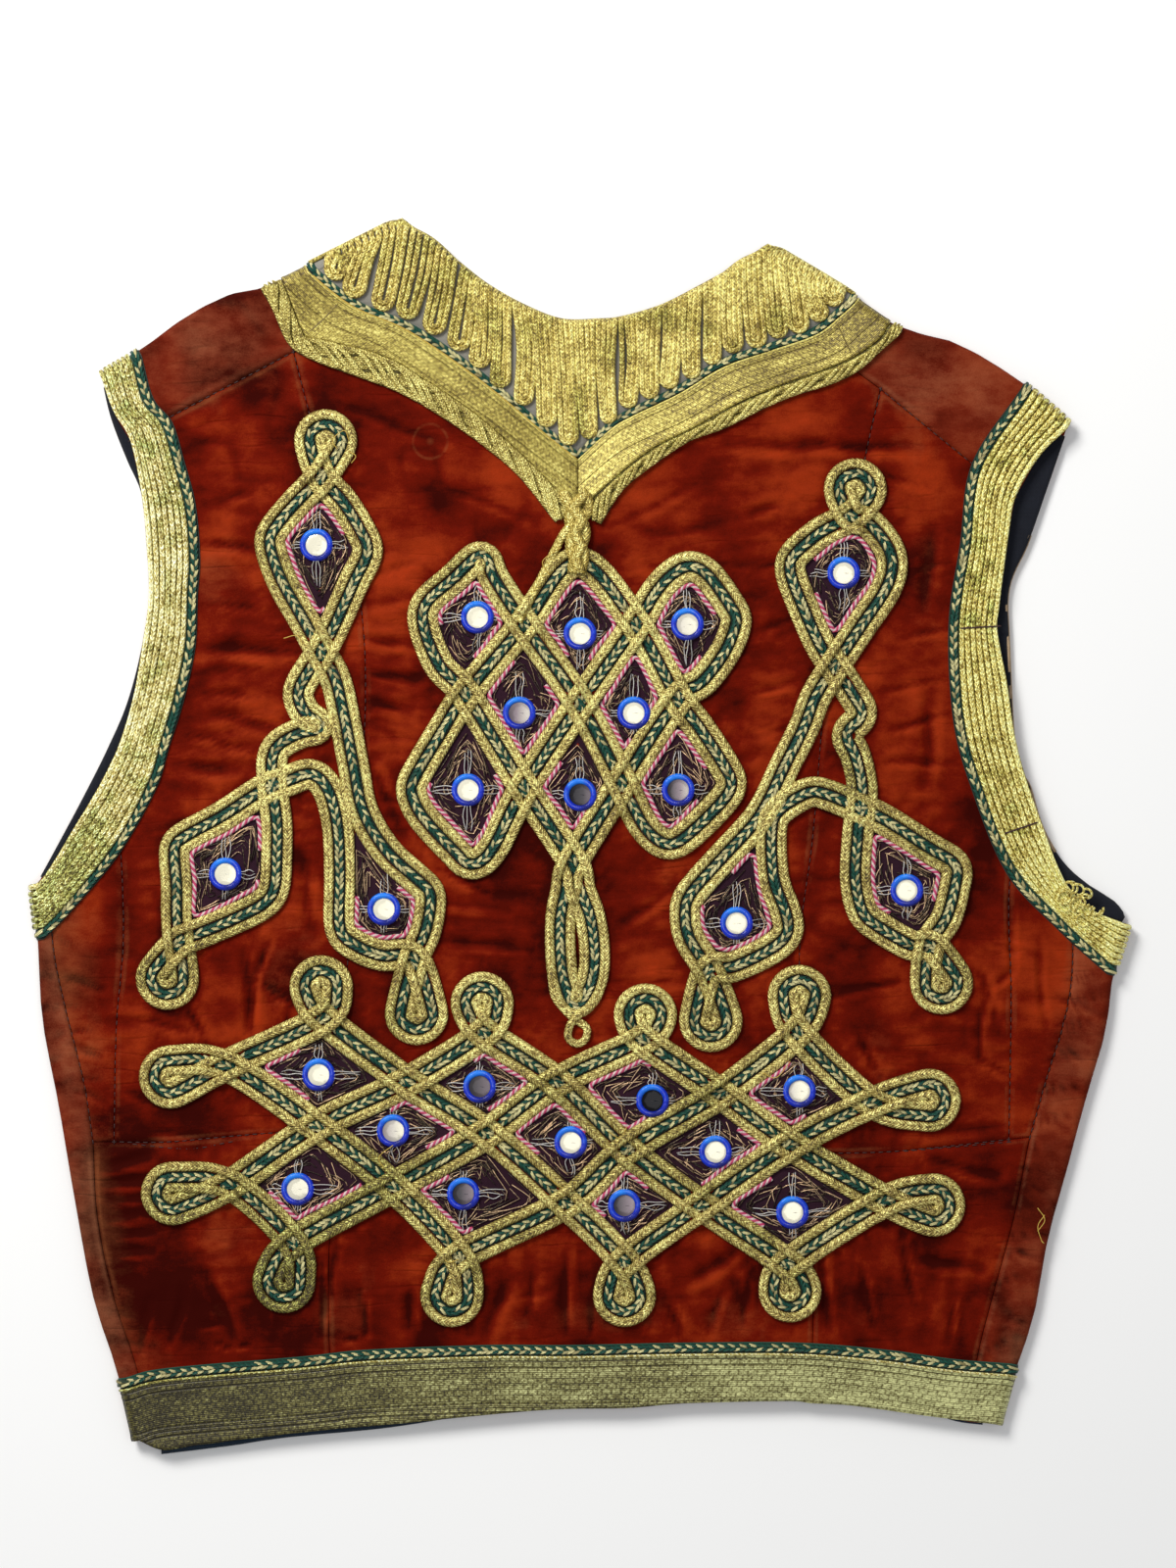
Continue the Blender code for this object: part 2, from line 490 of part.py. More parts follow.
def add_back():
    """The seven panels of the back."""
    side = {key: curve(value) for key, value in (
        ("arm_l", ARM_LEFT), ("arm_r", ARM_RIGHT), ("yoke_l", YOKE_SIDE_LEFT), ("yoke_r", YOKE_SIDE_RIGHT),
        ("yoke_nl", YOKE_NECK_LEFT), ("yoke_nr", YOKE_NECK_RIGHT), ("princess_l", PRINCESS_LEFT),
        ("princess_r", PRINCESS_RIGHT), ("hem_pl", PRINCESS_HEM_LEFT), ("hem_pr", PRINCESS_HEM_RIGHT),
        ("panel_l", PANEL_LEFT), ("panel_r", PANEL_RIGHT), ("seam_l", SIDE_SEAM_LEFT), ("seam_r", SIDE_SEAM_RIGHT),
        ("seam_hl", SIDE_SEAM_HEM_LEFT), ("seam_hr", SIDE_SEAM_HEM_RIGHT), ("waist_l", WAIST_LEFT),
        ("waist_r", WAIST_RIGHT), ("neck", NECK_BACK), ("hem", HEM_MIDDLE))}
    back_panel("back_centre", joined(
        back(side["princess_l"]), side["yoke_nl"], side["neck"], back(side["yoke_nr"]), side["princess_r"],
        side["hem_pr"], back(side["hem"]), back(side["hem_pl"])))
    back_panel("back_left", joined(
        part_of(side["arm_l"], None, PANEL_LEFT[0]), side["panel_l"], side["waist_l"], back(side["princess_l"]),
        back(side["yoke_l"])))
    back_panel("back_right", joined(
        part_of(side["arm_r"], None, PANEL_RIGHT[0]), side["panel_r"], side["waist_r"], back(side["princess_r"]),
        back(side["yoke_r"])))
    back_panel("back_side_left", joined(
        part_of(side["arm_l"], PANEL_LEFT[0], None), side["seam_l"], WAIST_SIDE_LEFT, back(side["panel_l"])))
    back_panel("back_side_right", joined(
        part_of(side["arm_r"], PANEL_RIGHT[0], None), side["seam_r"], WAIST_SIDE_RIGHT, back(side["panel_r"])))
    back_panel("lower_back_left", joined(
        WAIST_SIDE_LEFT, side["waist_l"], side["hem_pl"], back(curve([SIDE_SEAM_HEM_LEFT[-1], *HEM_LEFT[1:]])),
        back(side["seam_hl"])))
    back_panel("lower_back_right", joined(
        WAIST_SIDE_RIGHT, side["waist_r"], side["hem_pr"], curve([*HEM_RIGHT[:-1], SIDE_SEAM_HEM_RIGHT[-1]]),
        back(side["seam_hr"])))


def part_of(line, start, end):
    """The stretch of a line between the points nearest two places, which it then meets."""
    cut = np.array(line)
    if end is not None:
        last = int(np.argmin(np.linalg.norm(cut - end, axis=1)))
        cut = np.vstack([cut[:last], [end]])
    if start is not None:
        first = int(np.argmin(np.linalg.norm(cut - start, axis=1)))
        cut = np.vstack([[start], cut[first + 1:]])
    return cut


def add_front(side):
    """One front: its flat panel, its side strip and its shoulder piece in one sheet."""
    left = side == "left"
    shoulder, flank = FOLDS["shoulder_" + side], FOLDS["side_" + side]
    yoke = end_to_end(*((YOKE_SIDE_LEFT, YOKE_NECK_LEFT) if left else (YOKE_SIDE_RIGHT, YOKE_NECK_RIGHT)))
    seam = end_to_end(*((SIDE_SEAM_LEFT, SIDE_SEAM_HEM_LEFT) if left else (SIDE_SEAM_RIGHT, SIDE_SEAM_HEM_RIGHT)))
    arm_top = curve(ARM_TOP_LEFT if left else ARM_TOP_RIGHT, 9.0)
    arm_end = curve(ARM_END_LEFT if left else ARM_END_RIGHT, 5.0)
    neck_side = curve(NECK_SIDE_LEFT if left else back(NECK_SIDE_RIGHT), 9.0)
    arm = curve(ARM_FRONT_LEFT if left else ARM_FRONT_RIGHT, 18.0)
    neck = curve(NECK_FRONT_LEFT if left else NECK_FRONT_RIGHT, 22.0)
    hem = curve(HEM_FRONT_LEFT if left else HEM_FRONT_RIGHT, 30.0)
    rows = {}
    for name, fold in (("shoulder", shoulder), ("flank", flank)):
        rows[name] = [fold.beyond(fold.core, share * np.pi * FOLD) for share in (0.0, 0.25, 0.5, 0.75, 1.0)]
    at_neck, at_arm = ([row[end] for row in rows["shoulder"]] for end in (0, -1))
    at_underarm, at_hem = ([row[end] for row in rows["flank"]] for end in (0, -1))
    outline = joined(
        at_arm, shoulder.unfolded(arm_top)[1:-1], shoulder.unfolded(yoke),
        back(shoulder.unfolded(neck_side))[1:-1], back(at_neck), neck[1:], back(hem), at_hem[1:],
        back(flank.unfolded(seam)), flank.unfolded(arm_end)[1:-1], back(at_underarm), back(arm)[1:-1])
    lines = [row for group in rows.values() for row in group]
    points = spread(outline, 55.0, 14.0)
    for fold in (shoulder, flank):
        points = points[np.abs(fold.measure(points)[0]) > 16.0]
    sheet("front_" + side, [outline], FACE, -FACE, "front", VELVET_WORN, lines=lines, points=list(points))


def ribbon(name, a, b, shares, heights, base, surface, layer="back"):
    """A strip between two lines of equally many points, raised across by a profile."""
    width = b - a
    unit = width / np.linalg.norm(width, axis=1)[:, None]
    a, b = a + unit * GAP / 2, b - unit * GAP / 2
    count, across = len(a), len(shares)
    shares = np.array([np.broadcast_to(s, count) for s in shares])
    heights = np.array([np.broadcast_to(h, count) for h in heights])
    sign = 1.0 if layer == "back" else -1.0
    top = [placed(a + s[:, None] * (b - a), sign * (base + h), layer) for s, h in zip(shares, heights)]
    ends = a + shares[-1][:, None] * (b - a)
    low = [placed(a + shares[0][:, None] * (b - a), sign * base, layer), placed(ends, sign * base, layer)]
    vertices = np.vstack(top + low)
    rows = across + 2

    def index(row, station):
        return row * count + station

    faces = []
    ring = list(range(across)) + [rows - 1, rows - 2]
    for row, following in zip(ring, ring[1:] + ring[:1]):
        faces += [(index(row, i), index(row, i + 1), index(following, i + 1), index(following, i))
                  for i in range(count - 1)]
    faces += [tuple(index(row, station) for row in ring) for station in (0, count - 1)]
    return add_object(name, vertices, faces, surface)


def turned(line, start=None, end=None):
    """A line with its ends carried a little way round a fold."""
    pieces = [line]
    if start:
        pieces.insert(0, np.vstack([FOLDS[start].beyond(line[0], d) for d in reversed(TURN)]))
    if end:
        pieces.append(np.vstack([FOLDS[end].beyond(line[-1], d) for d in TURN]))
    return np.vstack(pieces)


def beside(line, other, distance):
    """A line moved by a distance towards another of equally many points."""
    run = other - line
    return line + distance * run / np.linalg.norm(run, axis=1)[:, None]


def add_armhole(side):
    """Gold cord band and green chain round the back of an armhole, and the lining seen past it."""
    left = side == "left"
    edge = (ARM_TOP_LEFT + ARM_LEFT[1:] + ARM_END_LEFT[1:] if left
            else ARM_TOP_RIGHT + ARM_RIGHT[1:] + ARM_END_RIGHT[1:])
    stations = 20
    opening = resample(curve(edge, 3.0), count=stations)
    inner = resample(curve(BAND_INNER_LEFT if left else BAND_INNER_RIGHT, 3.0), count=stations)
    between = beside(inner, opening, CHAIN_WIDTH)
    folds = {"start": "shoulder_" + side, "end": "side_" + side}
    opening, inner, between = (turned(line, **folds) for line in (opening, inner, between))
    marks = 2 * BAND_ROWS + 1
    heights = [CORD * (1.0 if i % 2 else 0.72) for i in range(marks)]
    ribbon("armhole_band_" + side, opening, between, np.linspace(0, 1, marks), heights, BASE, GOLD_CORD)
    ribbon("armhole_chain_" + side, between, inner, (0.0, 0.5, 1.0), (0.6 * CHAIN, CHAIN, 0.6 * CHAIN), BASE,
           GREEN_CHAIN)
    front = curve(ARM_FRONT_LEFT if left else ARM_FRONT_RIGHT, 18.0)[1:-1]
    within = front + LINING_WIDTH * sideways(front, (0.0, 60.0))
    ribbon("lining_armhole_" + side, front, within, (0.0, 1.0), (LINING, LINING), BASE, NAVY, layer="front")


def sideways(line, towards):
    """Unit normals of a line on the side of a place."""
    along = np.gradient(line, axis=0)
    normal = along @ SPIN / np.linalg.norm(along, axis=1)[:, None]
    return normal * np.sign(np.sum((np.array(towards) - line) * normal, axis=1))[:, None]


def add_hem():
    """Hem ribbon, the chain above it and the lining seen below it."""
    stations = 30
    top = resample(curve(HEM_CHAIN_TOP, 3.0), count=stations)
    bottom = resample(np.vstack([curve(HEM_LEFT, 3.0), curve(HEM_MIDDLE, 3.0)[1:], curve(HEM_RIGHT, 3.0)[1:]]),
                      count=stations)
    between = beside(top, bottom, CHAIN_WIDTH)
    top, bottom, between = (turned(line, "side_left", "side_right") for line in (top, bottom, between))
    ribbon("hem_chain", top, between, (0.0, 0.5, 1.0), (0.6 * CHAIN, CHAIN, 0.6 * CHAIN), BASE, GREEN_CHAIN)
    ribbon("hem_galloon", between, bottom, (0.0, 0.1, 0.2, 0.8, 0.9, 1.0),
           [GALLOON * h for h in (0.7, 1.0, 0.8, 0.8, 1.0, 0.7)], BASE, OLIVE_RIBBON)
    low = curve(LINING_HEM, 24.0)
    ribbon("lining_hem", low, low + np.array([0.0, LINING_HEM_DEPTH]), (0.0, 1.0), (LINING, LINING), BASE, NAVY,
           layer="front")


def mitred(line, x):
    """A line whose last point is set on the middle of the V."""
    cut = np.array(line)
    cut[-1, 0] = x
    return cut


def add_neck():
    """Facing, cord loops, chain, ribbon, rope and knot of the neck."""
    edge = np.vstack([curve(NECK_SIDE_LEFT, 2.0), curve(NECK_BACK, 2.0)[1:], curve(NECK_SIDE_RIGHT, 2.0)[1:]])
    ends = {"left": curve(LOOP_ENDS_LEFT, 2.0), "right": curve(LOOP_ENDS_RIGHT, 2.0)}
    rim = np.vstack([ends["left"], back(ends["right"])[1:]])
    folds = {"start": "shoulder_left", "end": "shoulder_right"}
    facing = [turned(resample(line, count=34), **folds) for line in (edge, rim)]
    ribbon("neck_facing", *facing, (0.0, 1.0), (FACING, FACING), BASE, GREY)
    count = 4 * NECK_LOOPS + 1
    lines = [turned(resample(line, count=count), **folds) for line in (edge, rim)]
    phase = np.concatenate([[0, 0], np.arange(count) % 4, [0, 0]])
    reach = np.choose(phase, [0.87, 0.95, 0.985, 0.95])
    crest = CORD * np.choose(phase, [0.45, 1.0, 0.7, 1.0])
    ribbon("neck_loops", *lines, (0.0, 0.05 * reach, 0.92 * reach, reach),
           (0.6 * crest, crest, crest, 0.5 * crest), BASE + FACING + GAP, GOLD_CORD)

    for side, tip in (("left", TIP - GAP / 2), ("right", TIP + GAP / 2)):
        stations = 18
        fold = "shoulder_" + side
        upper = resample(ends[side], count=stations)
        lower = resample(curve(ROPE_INNER_LEFT if side == "left" else ROPE_INNER_RIGHT, 2.0), count=stations)
        outer = resample(curve(ROPE_OUTER_LEFT if side == "left" else ROPE_OUTER_RIGHT, 2.0), count=stations)
        between = beside(upper, lower, CHAIN_WIDTH)
        upper, lower, between = (mitred(line, tip) for line in (upper, lower, between))
        upper, lower, between, outer = (turned(line, fold) for line in (upper, lower, between, outer))
        ribbon("neck_chain_" + side, upper, between, (0.0, 0.5, 1.0), (0.6 * CHAIN, CHAIN, 0.6 * CHAIN), BASE,
               GREEN_CHAIN)
        ribbon("neck_galloon_" + side, between, lower, (0.0, 0.12, 0.5, 0.88, 1.0),
               [GALLOON * h for h in (0.7, 1.0, 0.8, 1.0, 0.7)], BASE, GOLD_RIBBON)
        twist = 0.5 + 0.5 * np.cos(np.pi * np.arange(len(outer)))
        ribbon("neck_rope_" + side, lower, outer, (0.0, 0.3, 0.7, 1.0),
               (0.5 * ROPE, ROPE * (0.75 + 0.25 * twist), ROPE * (1.0 - 0.25 * twist), 0.5 * ROPE), BASE, GOLD_CORD)
    angles = np.linspace(0, 2 * np.pi, KNOT["sides"], endpoint=False)
    oval = np.column_stack([KNOT["x"] + KNOT["half_width"] * np.cos(angles),
                            KNOT["y"] + KNOT["half_height"] * np.sin(angles)])
    core = np.array([KNOT["x"], KNOT["y"]])

    def domed(xy):
        away = np.linalg.norm((xy - core) / (KNOT["half_width"], KNOT["half_height"]), axis=1)
        return BASE + ROPE * (1.1 - 0.5 * away)

    sheet("neck_knot", [oval], domed, BASE, "back", GOLD_CORD, points=list(0.55 * (oval - core) + core) + [core],
          inner_points=())


def strand_pieces(line, half, closed=False):
    """Convex pieces along a strand, narrowed on the inside of tight bends."""
    along = np.gradient(line, axis=0)
    if closed:
        along = np.roll(line, -1, axis=0) - np.roll(line, 1, axis=0)
    along /= np.linalg.norm(along, axis=1)[:, None]
    normal = along @ SPIN
    nexts = np.roll(along, -1, axis=0)
    turn = along[:, 0] * nexts[:, 1] - along[:, 1] * nexts[:, 0]
    spacing = np.linalg.norm(np.roll(line, -1, axis=0) - line, axis=1)
    radius = spacing / np.maximum(np.abs(turn), 1e-4)
    room = np.minimum(half, 0.9 * radius)
    right = line + normal * np.where(turn < 0, room, half)[:, None]
    left = line - normal * np.where(turn > 0, room, half)[:, None]
    last = len(line) if closed else len(line) - 1
    nexts = [(i + 1) % len(line) for i in range(last)]
    return [hull([right[i], right[j], left[j], left[i]]) for i, j in enumerate(nexts)]


def hull(points):
    """The points' convex outline, anticlockwise."""
    points = sorted(tuple(p) for p in points)
    chains = []
    for run in (points, points[::-1]):
        chain = []
        for p in run:
            while len(chain) > 1 and area(np.array([chain[-2], chain[-1], p])) <= 1e-9:
                chain.pop()
            chain.append(p)
        chains += chain[:-1]
    return chains


def end_loop(crossing, middle, radius=LOOP_RADIUS):
    """A strand that leaves a crossing, rounds the middle of a loop and comes back."""
    crossing, middle = np.array(crossing, float), np.array(middle, float)
    out = (middle - crossing) / np.linalg.norm(middle - crossing)
    side = np.array([-out[1], out[0]])
    arc = [middle + radius * (np.cos(a) * out + np.sin(a) * side) for a in np.radians((105, 60, 0, -60, -105))]
    return [crossing, *arc, crossing]


def union(pieces, smallest_hole=14.0):
    """Outlines of overlapping pieces: the outer ones and the holes that are large enough."""
    vertices, faces = [], []
    for piece in pieces:
        faces.append(list(range(len(vertices), len(vertices) + len(piece))))
        vertices += [Vector(p) for p in piece]
    out, _, triangles, _, _, sources = delaunay_2d_cdt(vertices, [], faces, 1, 1e-4)
    xy = np.array([tuple(v) for v in out])
    loops = boundary([t for t, s in zip(triangles, sources) if s], xy)
    loops = [simplified(xy[loop]) for loop in loops]
    return [loop for loop in loops if area(loop) > 0 or area(loop) < -smallest_hole]


def area(loop):
    x, y = loop.T
    return 0.5 * np.sum(x * np.roll(y, -1) - y * np.roll(x, -1))


def boundary(faces, xy):
    """Closed rings of the edges that only one face has, with the faces on their left."""
    edges = {(a, b) for face in faces for a, b in zip(face, face[1:] + face[:1])}
    following = {}
    for a, b in sorted(e for e in edges if (e[1], e[0]) not in edges):
        following.setdefault(a, []).append(b)

    def clockwise(here, before, after):
        """Angle swept clockwise at a point from the way back to the way on."""
        ways = [np.arctan2(*(xy[p] - xy[here])[::-1]) for p in (before, after)]
        return (ways[0] - ways[1]) % (2 * np.pi)

    rings = []
    while following:
        start = next(iter(following))
        ring, here, before = [], start, None
        while not ring or here != start:
            ring.append(here)
            choices = following[here]
            onward = choices[0] if before is None else min(choices, key=lambda p: clockwise(here, before, p))
            choices.remove(onward)
            if not choices:
                del following[here]
            before, here = here, onward
        rings.append(ring)
    return rings


def simplified(loop, tolerance=0.16, shortest=1.2):
    """An outline without the points that its shape doesn't need."""
    points = [p for p in loop]
    changed = True
    while changed and len(points) > 4:
        changed = False
        costs = []
        for i, p in enumerate(points):
            a, b = points[i - 1], points[(i + 1) % len(points)]
            run = b - a
            length = np.linalg.norm(run)
            height = abs(run[0] * (p - a)[1] - run[1] * (p - a)[0]) / max(length, 1e-6)
            limit = tolerance if np.linalg.norm(p - a) > shortest else 3 * tolerance
            costs.append(height / limit)
        best = int(np.argmin(costs))
        if costs[best] < 1.0:
            del points[best]
            changed = True
    return np.array(points)


def add_braid(name, strands, crossings):
    """A couched braid as one body, higher where one strand passes over another."""
    loops = union([piece for strand in strands for piece in strand_pieces(*strand)])
    peaks = np.array(crossings, float)
    peaks = peaks[inside(peaks, loops)]

    def height(xy):
        near = np.min(np.linalg.norm(xy[:, None] - peaks[None], axis=2), axis=1)
        return BASE + CORD + CROSSING * np.clip(1 - near / BRAID_HALF, 0.0, 1.0)

    sheet(name, loops, height, BASE, "back", GOLD_CORD, points=list(peaks))
    return [loop for loop in loops if area(loop) < 0]


def lattice_strands():
    """Strands of the lower lattice, both ways, and its end loops."""
    top, upper, middle, lower, bottom = LATTICE
    falls = [[upper[0], middle[0], lower[1], bottom[1]], [top[0], upper[1], middle[1], lower[2], bottom[2]],
             [top[1], upper[2], middle[2], lower[3], bottom[3]], [top[2], upper[3], middle[3], lower[4]],
             [top[3], upper[4]], [lower[0], bottom[0]]]
    climbs = [[upper[0], top[0]], [lower[0], middle[0], upper[1], top[1]],
              [bottom[0], lower[1], middle[1], upper[2], top[2]], [bottom[1], lower[2], middle[2], upper[3], top[3]],
              [bottom[2], lower[3], middle[3], upper[4]], [bottom[3], lower[4]]]
    ends = (list(zip(top, LOOPS_TOP)) + list(zip(bottom, LOOPS_BOTTOM)) + list(zip((upper[0], lower[0]), LOOPS_LEFT))
            + list(zip((upper[4], lower[4]), LOOPS_RIGHT)))
    strands = [(curve(line, 14.0), BRAID_HALF, False) for line in falls + climbs]
    strands += [(curve(end_loop(*pair), 6.0), BRAID_HALF, False) for pair in ends]
    return strands, [p for row in LATTICE for p in row]


def centre_strands():
    """Strands of the centre lattice, its four corners and its tail."""
    c = CENTRE
    lines = [
        [c["top"], c["upper_right"], c["right"], *CORNER_LOW_RIGHT, c["lower_right"], c["middle"], c["upper_left"],
         *CORNER_TOP_LEFT, c["left"], c["lower_left"], c["bottom"]],
        [c["top"], c["upper_left"], c["left"], *CORNER_LOW_LEFT, c["lower_left"], c["middle"], c["upper_right"],
         *CORNER_TOP_RIGHT, c["right"], c["lower_right"], c["bottom"]],
    ]
    strands = [(curve(line, 7.0), BRAID_HALF, False) for line in lines]
    strands.append((curve([c["bottom"], *TAIL, c["bottom"]], 8.0), TAIL_HALF, False))
    strands.append((curve(TAIL_HEART), TAIL_HALF, False))
    angles = np.linspace(0, 2 * np.pi, 10, endpoint=False) + np.pi / 2
    ring = np.array([TAIL_RING["x"], TAIL_RING["y"]]) + TAIL_RING["radius"] * np.column_stack(
        [np.cos(angles), np.sin(angles)])
    strands.append((ring, TAIL_RING["half_width"], True))
    stem = np.array([TAIL[4], (TAIL_RING["x"], TAIL_RING["y"])], float)
    strands.append((stem, TAIL_RING["half_width"], False))
    return strands, list(c.values())


def pendant_strands(pendant):
    """Strands of a pendant and its three end loops."""
    strands = [(curve(pendant[key], 7.0), BRAID_HALF, False) for key in ("outer", "inner", "arch")]
    strands += [(curve(end_loop(*pair), 6.0), BRAID_HALF, False) for pair in pendant["loops"]]
    return strands, pendant["crossings"]


def add_lozenge(name, hole, mirror):
    """Patch that fills a field of the braid, with the ring and the mirror on it."""
    outline = inset(hole, GAP + 0.1)
    mirror = np.array(mirror, float)
    angles = np.linspace(0, 2 * np.pi, RING_SIDES, endpoint=False)
    turn = np.column_stack([np.cos(angles), np.sin(angles)])
    mid = 0.5 * (RING_RADIUS + MIRROR_RADIUS)
    rings = {RING_RADIUS: PATCH, mid: RING_RISE, MIRROR_RADIUS: MIRROR_RISE}

    def height(xy):
        away = np.linalg.norm(xy - mirror, axis=1)
        return BASE + np.interp(away, sorted(rings), [rings[r] for r in sorted(rings)])

    points = [p for radius in rings for p in mirror + radius * turn] + [mirror]
    return sheet(name, [outline], height, BASE, "back", PURPLE, points=points, inner_points=())


def main():
    for old in list(bpy.data.objects):
        bpy.data.objects.remove(old)
    add_back()
    for side in ("left", "right"):
        add_front(side)
        add_armhole(side)
    add_hem()
    add_neck()
    holes = add_braid("braid_lower", *lattice_strands())
    holes += add_braid("braid_centre", *centre_strands())
    holes += add_braid("braid_pendant_left", *pendant_strands(PENDANT_LEFT))
    holes += add_braid("braid_pendant_right", *pendant_strands(PENDANT_RIGHT))
    for number, mirror in enumerate(MIRRORS, 1):
        place = np.array([mirror], float)
        hole = next(h for h in holes if inside(place, [h])[0])
        add_lozenge(f"lozenge_{number:02d}", hole[::-1], mirror)


main()
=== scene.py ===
# %% [markdown]
# # An embroidered velvet waistcoat, laid flat
#
# The real one is a short, sleeveless, quilted velvet garment. It lies on its two fronts with its
# back uppermost. Gold braid is couched on the back in lattices, and each gap in a lattice holds a
# patch of dark cloth with copper bullion and a small mirror in a ring of blue silk.
#
# The solids made for physics are loaded first and stay where they are. Every piece below is a finer
# skin that stands for one or more of them, in the same frame: X across, Y up the back and Z up.

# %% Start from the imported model
import bpy
import numpy as np
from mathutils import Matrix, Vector


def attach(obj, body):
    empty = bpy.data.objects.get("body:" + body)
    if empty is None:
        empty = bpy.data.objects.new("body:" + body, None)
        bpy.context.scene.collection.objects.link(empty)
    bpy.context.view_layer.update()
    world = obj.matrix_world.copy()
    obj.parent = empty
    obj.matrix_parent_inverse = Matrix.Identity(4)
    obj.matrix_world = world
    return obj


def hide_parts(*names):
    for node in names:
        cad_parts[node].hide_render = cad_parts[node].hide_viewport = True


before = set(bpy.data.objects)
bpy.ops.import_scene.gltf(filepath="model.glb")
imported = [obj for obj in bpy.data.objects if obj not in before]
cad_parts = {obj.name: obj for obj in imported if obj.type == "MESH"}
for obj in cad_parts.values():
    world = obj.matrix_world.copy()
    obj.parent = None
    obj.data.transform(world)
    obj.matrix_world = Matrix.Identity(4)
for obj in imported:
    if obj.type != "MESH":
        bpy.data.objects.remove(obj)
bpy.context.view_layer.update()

# %% [markdown]
# ## The pattern in numbers
#
# A garment is cut from a pattern, so the whole waistcoat is drawn as a few lines in millimetres: the
# edges, the seams, the folds and the routes of the braid. The tables are the same ones that the
# solids were made from, so the fine surface and the solid agree.

# %% Sizes of cloth and trims, in millimetres
MM = 0.001
WALL = 2.4
FACE = WALL / 2            # from the middle of the wall to either face
GAP = 0.3
EDGE_DROP = 0.9            # how far a padded edge turns down
FOLD = 2.0                 # radius of the wall's middle at a fold
FOLD_STEP = 13.0           # between the points of a fold line
FOLD_MID = FACE + FOLD     # height of a fold's middle above the table
BULGE, BULGE_HALF_X, BULGE_HALF_Y, BULGE_Y = 2.0, 180.0, 200.0, -40.0
STEP = 1.5                 # between the points of a line
CORD_OFFSET = 4.6          # from the middle of a braid to its outer cords
CORD_HALF = 2.2            # half the width of such a cord
CORD_HIGH = 2.1
CROSSING_RISE = 1.6        # of one braid over another
BRAID_EDGE = 6.9           # from the middle of a braid to where a patch begins
CHAIN_WIDTH = 4.6
NECK_CHAIN_HALF = 1.75
LOOP_RADIUS = 7.0          # of the loops at the ends of the braid
RING_RADIUS = 5.85         # of a silk ring's middle
BAND_ROWS = 7              # cords of an armhole's edging
TIP = -1.0                 # where the trims of the neck meet, across

# %% Edges, folds, seams and neck trims of the left side and of the right
# "shoulder" and "side" are the fold lines. The other names are those of the seams and edges.
LEFT = {
    "shoulder": [(-76, 260), (-95, 250.5), (-114, 241), (-135, 231), (-150, 228), (-169, 218), (-188, 204),
                 (-205, 194)],
    "side": [(-233, -22), (-230, -46), (-228, -80), (-221, -117), (-214, -158), (-206, -200), (-196, -231),
             (-189, -261)],
    "neck_side": [(-76, 260), (-64, 254), (-53, 244)],
    "neck_front": [(-76, 260), (-64, 225), (-46, 190), (-24, 165), (-1, 155)],
    "arm_top": [(-205, 194), (-200, 180), (-193, 168)],
    "arm": [(-193, 168), (-188, 144), (-186, 124), (-185, 101), (-188, 79), (-192, 56), (-198, 37),
            (-205, 22), (-215, 5), (-228, -17)],
    "arm_end": [(-228, -17), (-233, -22)],
    "arm_front": [(-205, 194), (-201.2, 178), (-194.3, 160), (-188.2, 146), (-184.6, 126), (-184.4, 101),
                  (-188, 79), (-194, 56), (-202, 37), (-213, 15), (-228, -13), (-233, -22)],
    "band_inner": [(-188, 204), (-183, 186), (-175, 176), (-170, 160), (-165, 141), (-163, 118),
                   (-164, 101), (-165, 79), (-170, 56), (-176, 37), (-182, 18), (-198, -10), (-219, -35),
                   (-230, -46)],
    "hem_front": [(-189, -261), (-130, -256), (-60, -250), (-1, -244)],
    "yoke": [(-193, 168), (-176, 178), (-123, 206)],
    "neck": [(-123, 206), (-88, 225), (-53, 244)],
    "princess": [(-123, 206), (-114, 172), (-98, 120), (-92, 60), (-99, -47), (-106, -131)],
    "princess_hem": [(-106, -131), (-108, -200), (-106, -256)],
    "panel": [(-205, 22), (-198, 0), (-196, -45), (-199, -84), (-200, -133)],
    "seam": [(-228, -17), (-226, -50), (-221, -75), (-213, -107), (-209, -133)],
    "seam_hem": [(-209, -133), (-207, -166), (-200, -200), (-190, -231), (-184, -260)],
    "waist": [(-200, -133), (-177, -133), (-129, -129), (-106, -131)],
    "waist_side": [(-209, -133), (-200, -133)],
    "neck_chain": [(-114.5, 241), (-106, 233.6), (-94, 225.4), (-74, 217), (-54, 204.2), (-34.5, 189.3),
                   (-15, 172.6), (TIP, 161.5)],
    "rope_inner": [(-127, 235), (-118, 213), (-111, 211), (-84, 204), (-62, 191), (-42, 177), (-20, 157),
                   (TIP, 137)],
    "rope_outer": [(-136, 231), (-132, 224), (-125, 209), (-114, 202), (-95, 195), (-77, 188), (-58, 177),
                   (-41, 165), (-26, 152), (-11, 133)],
}
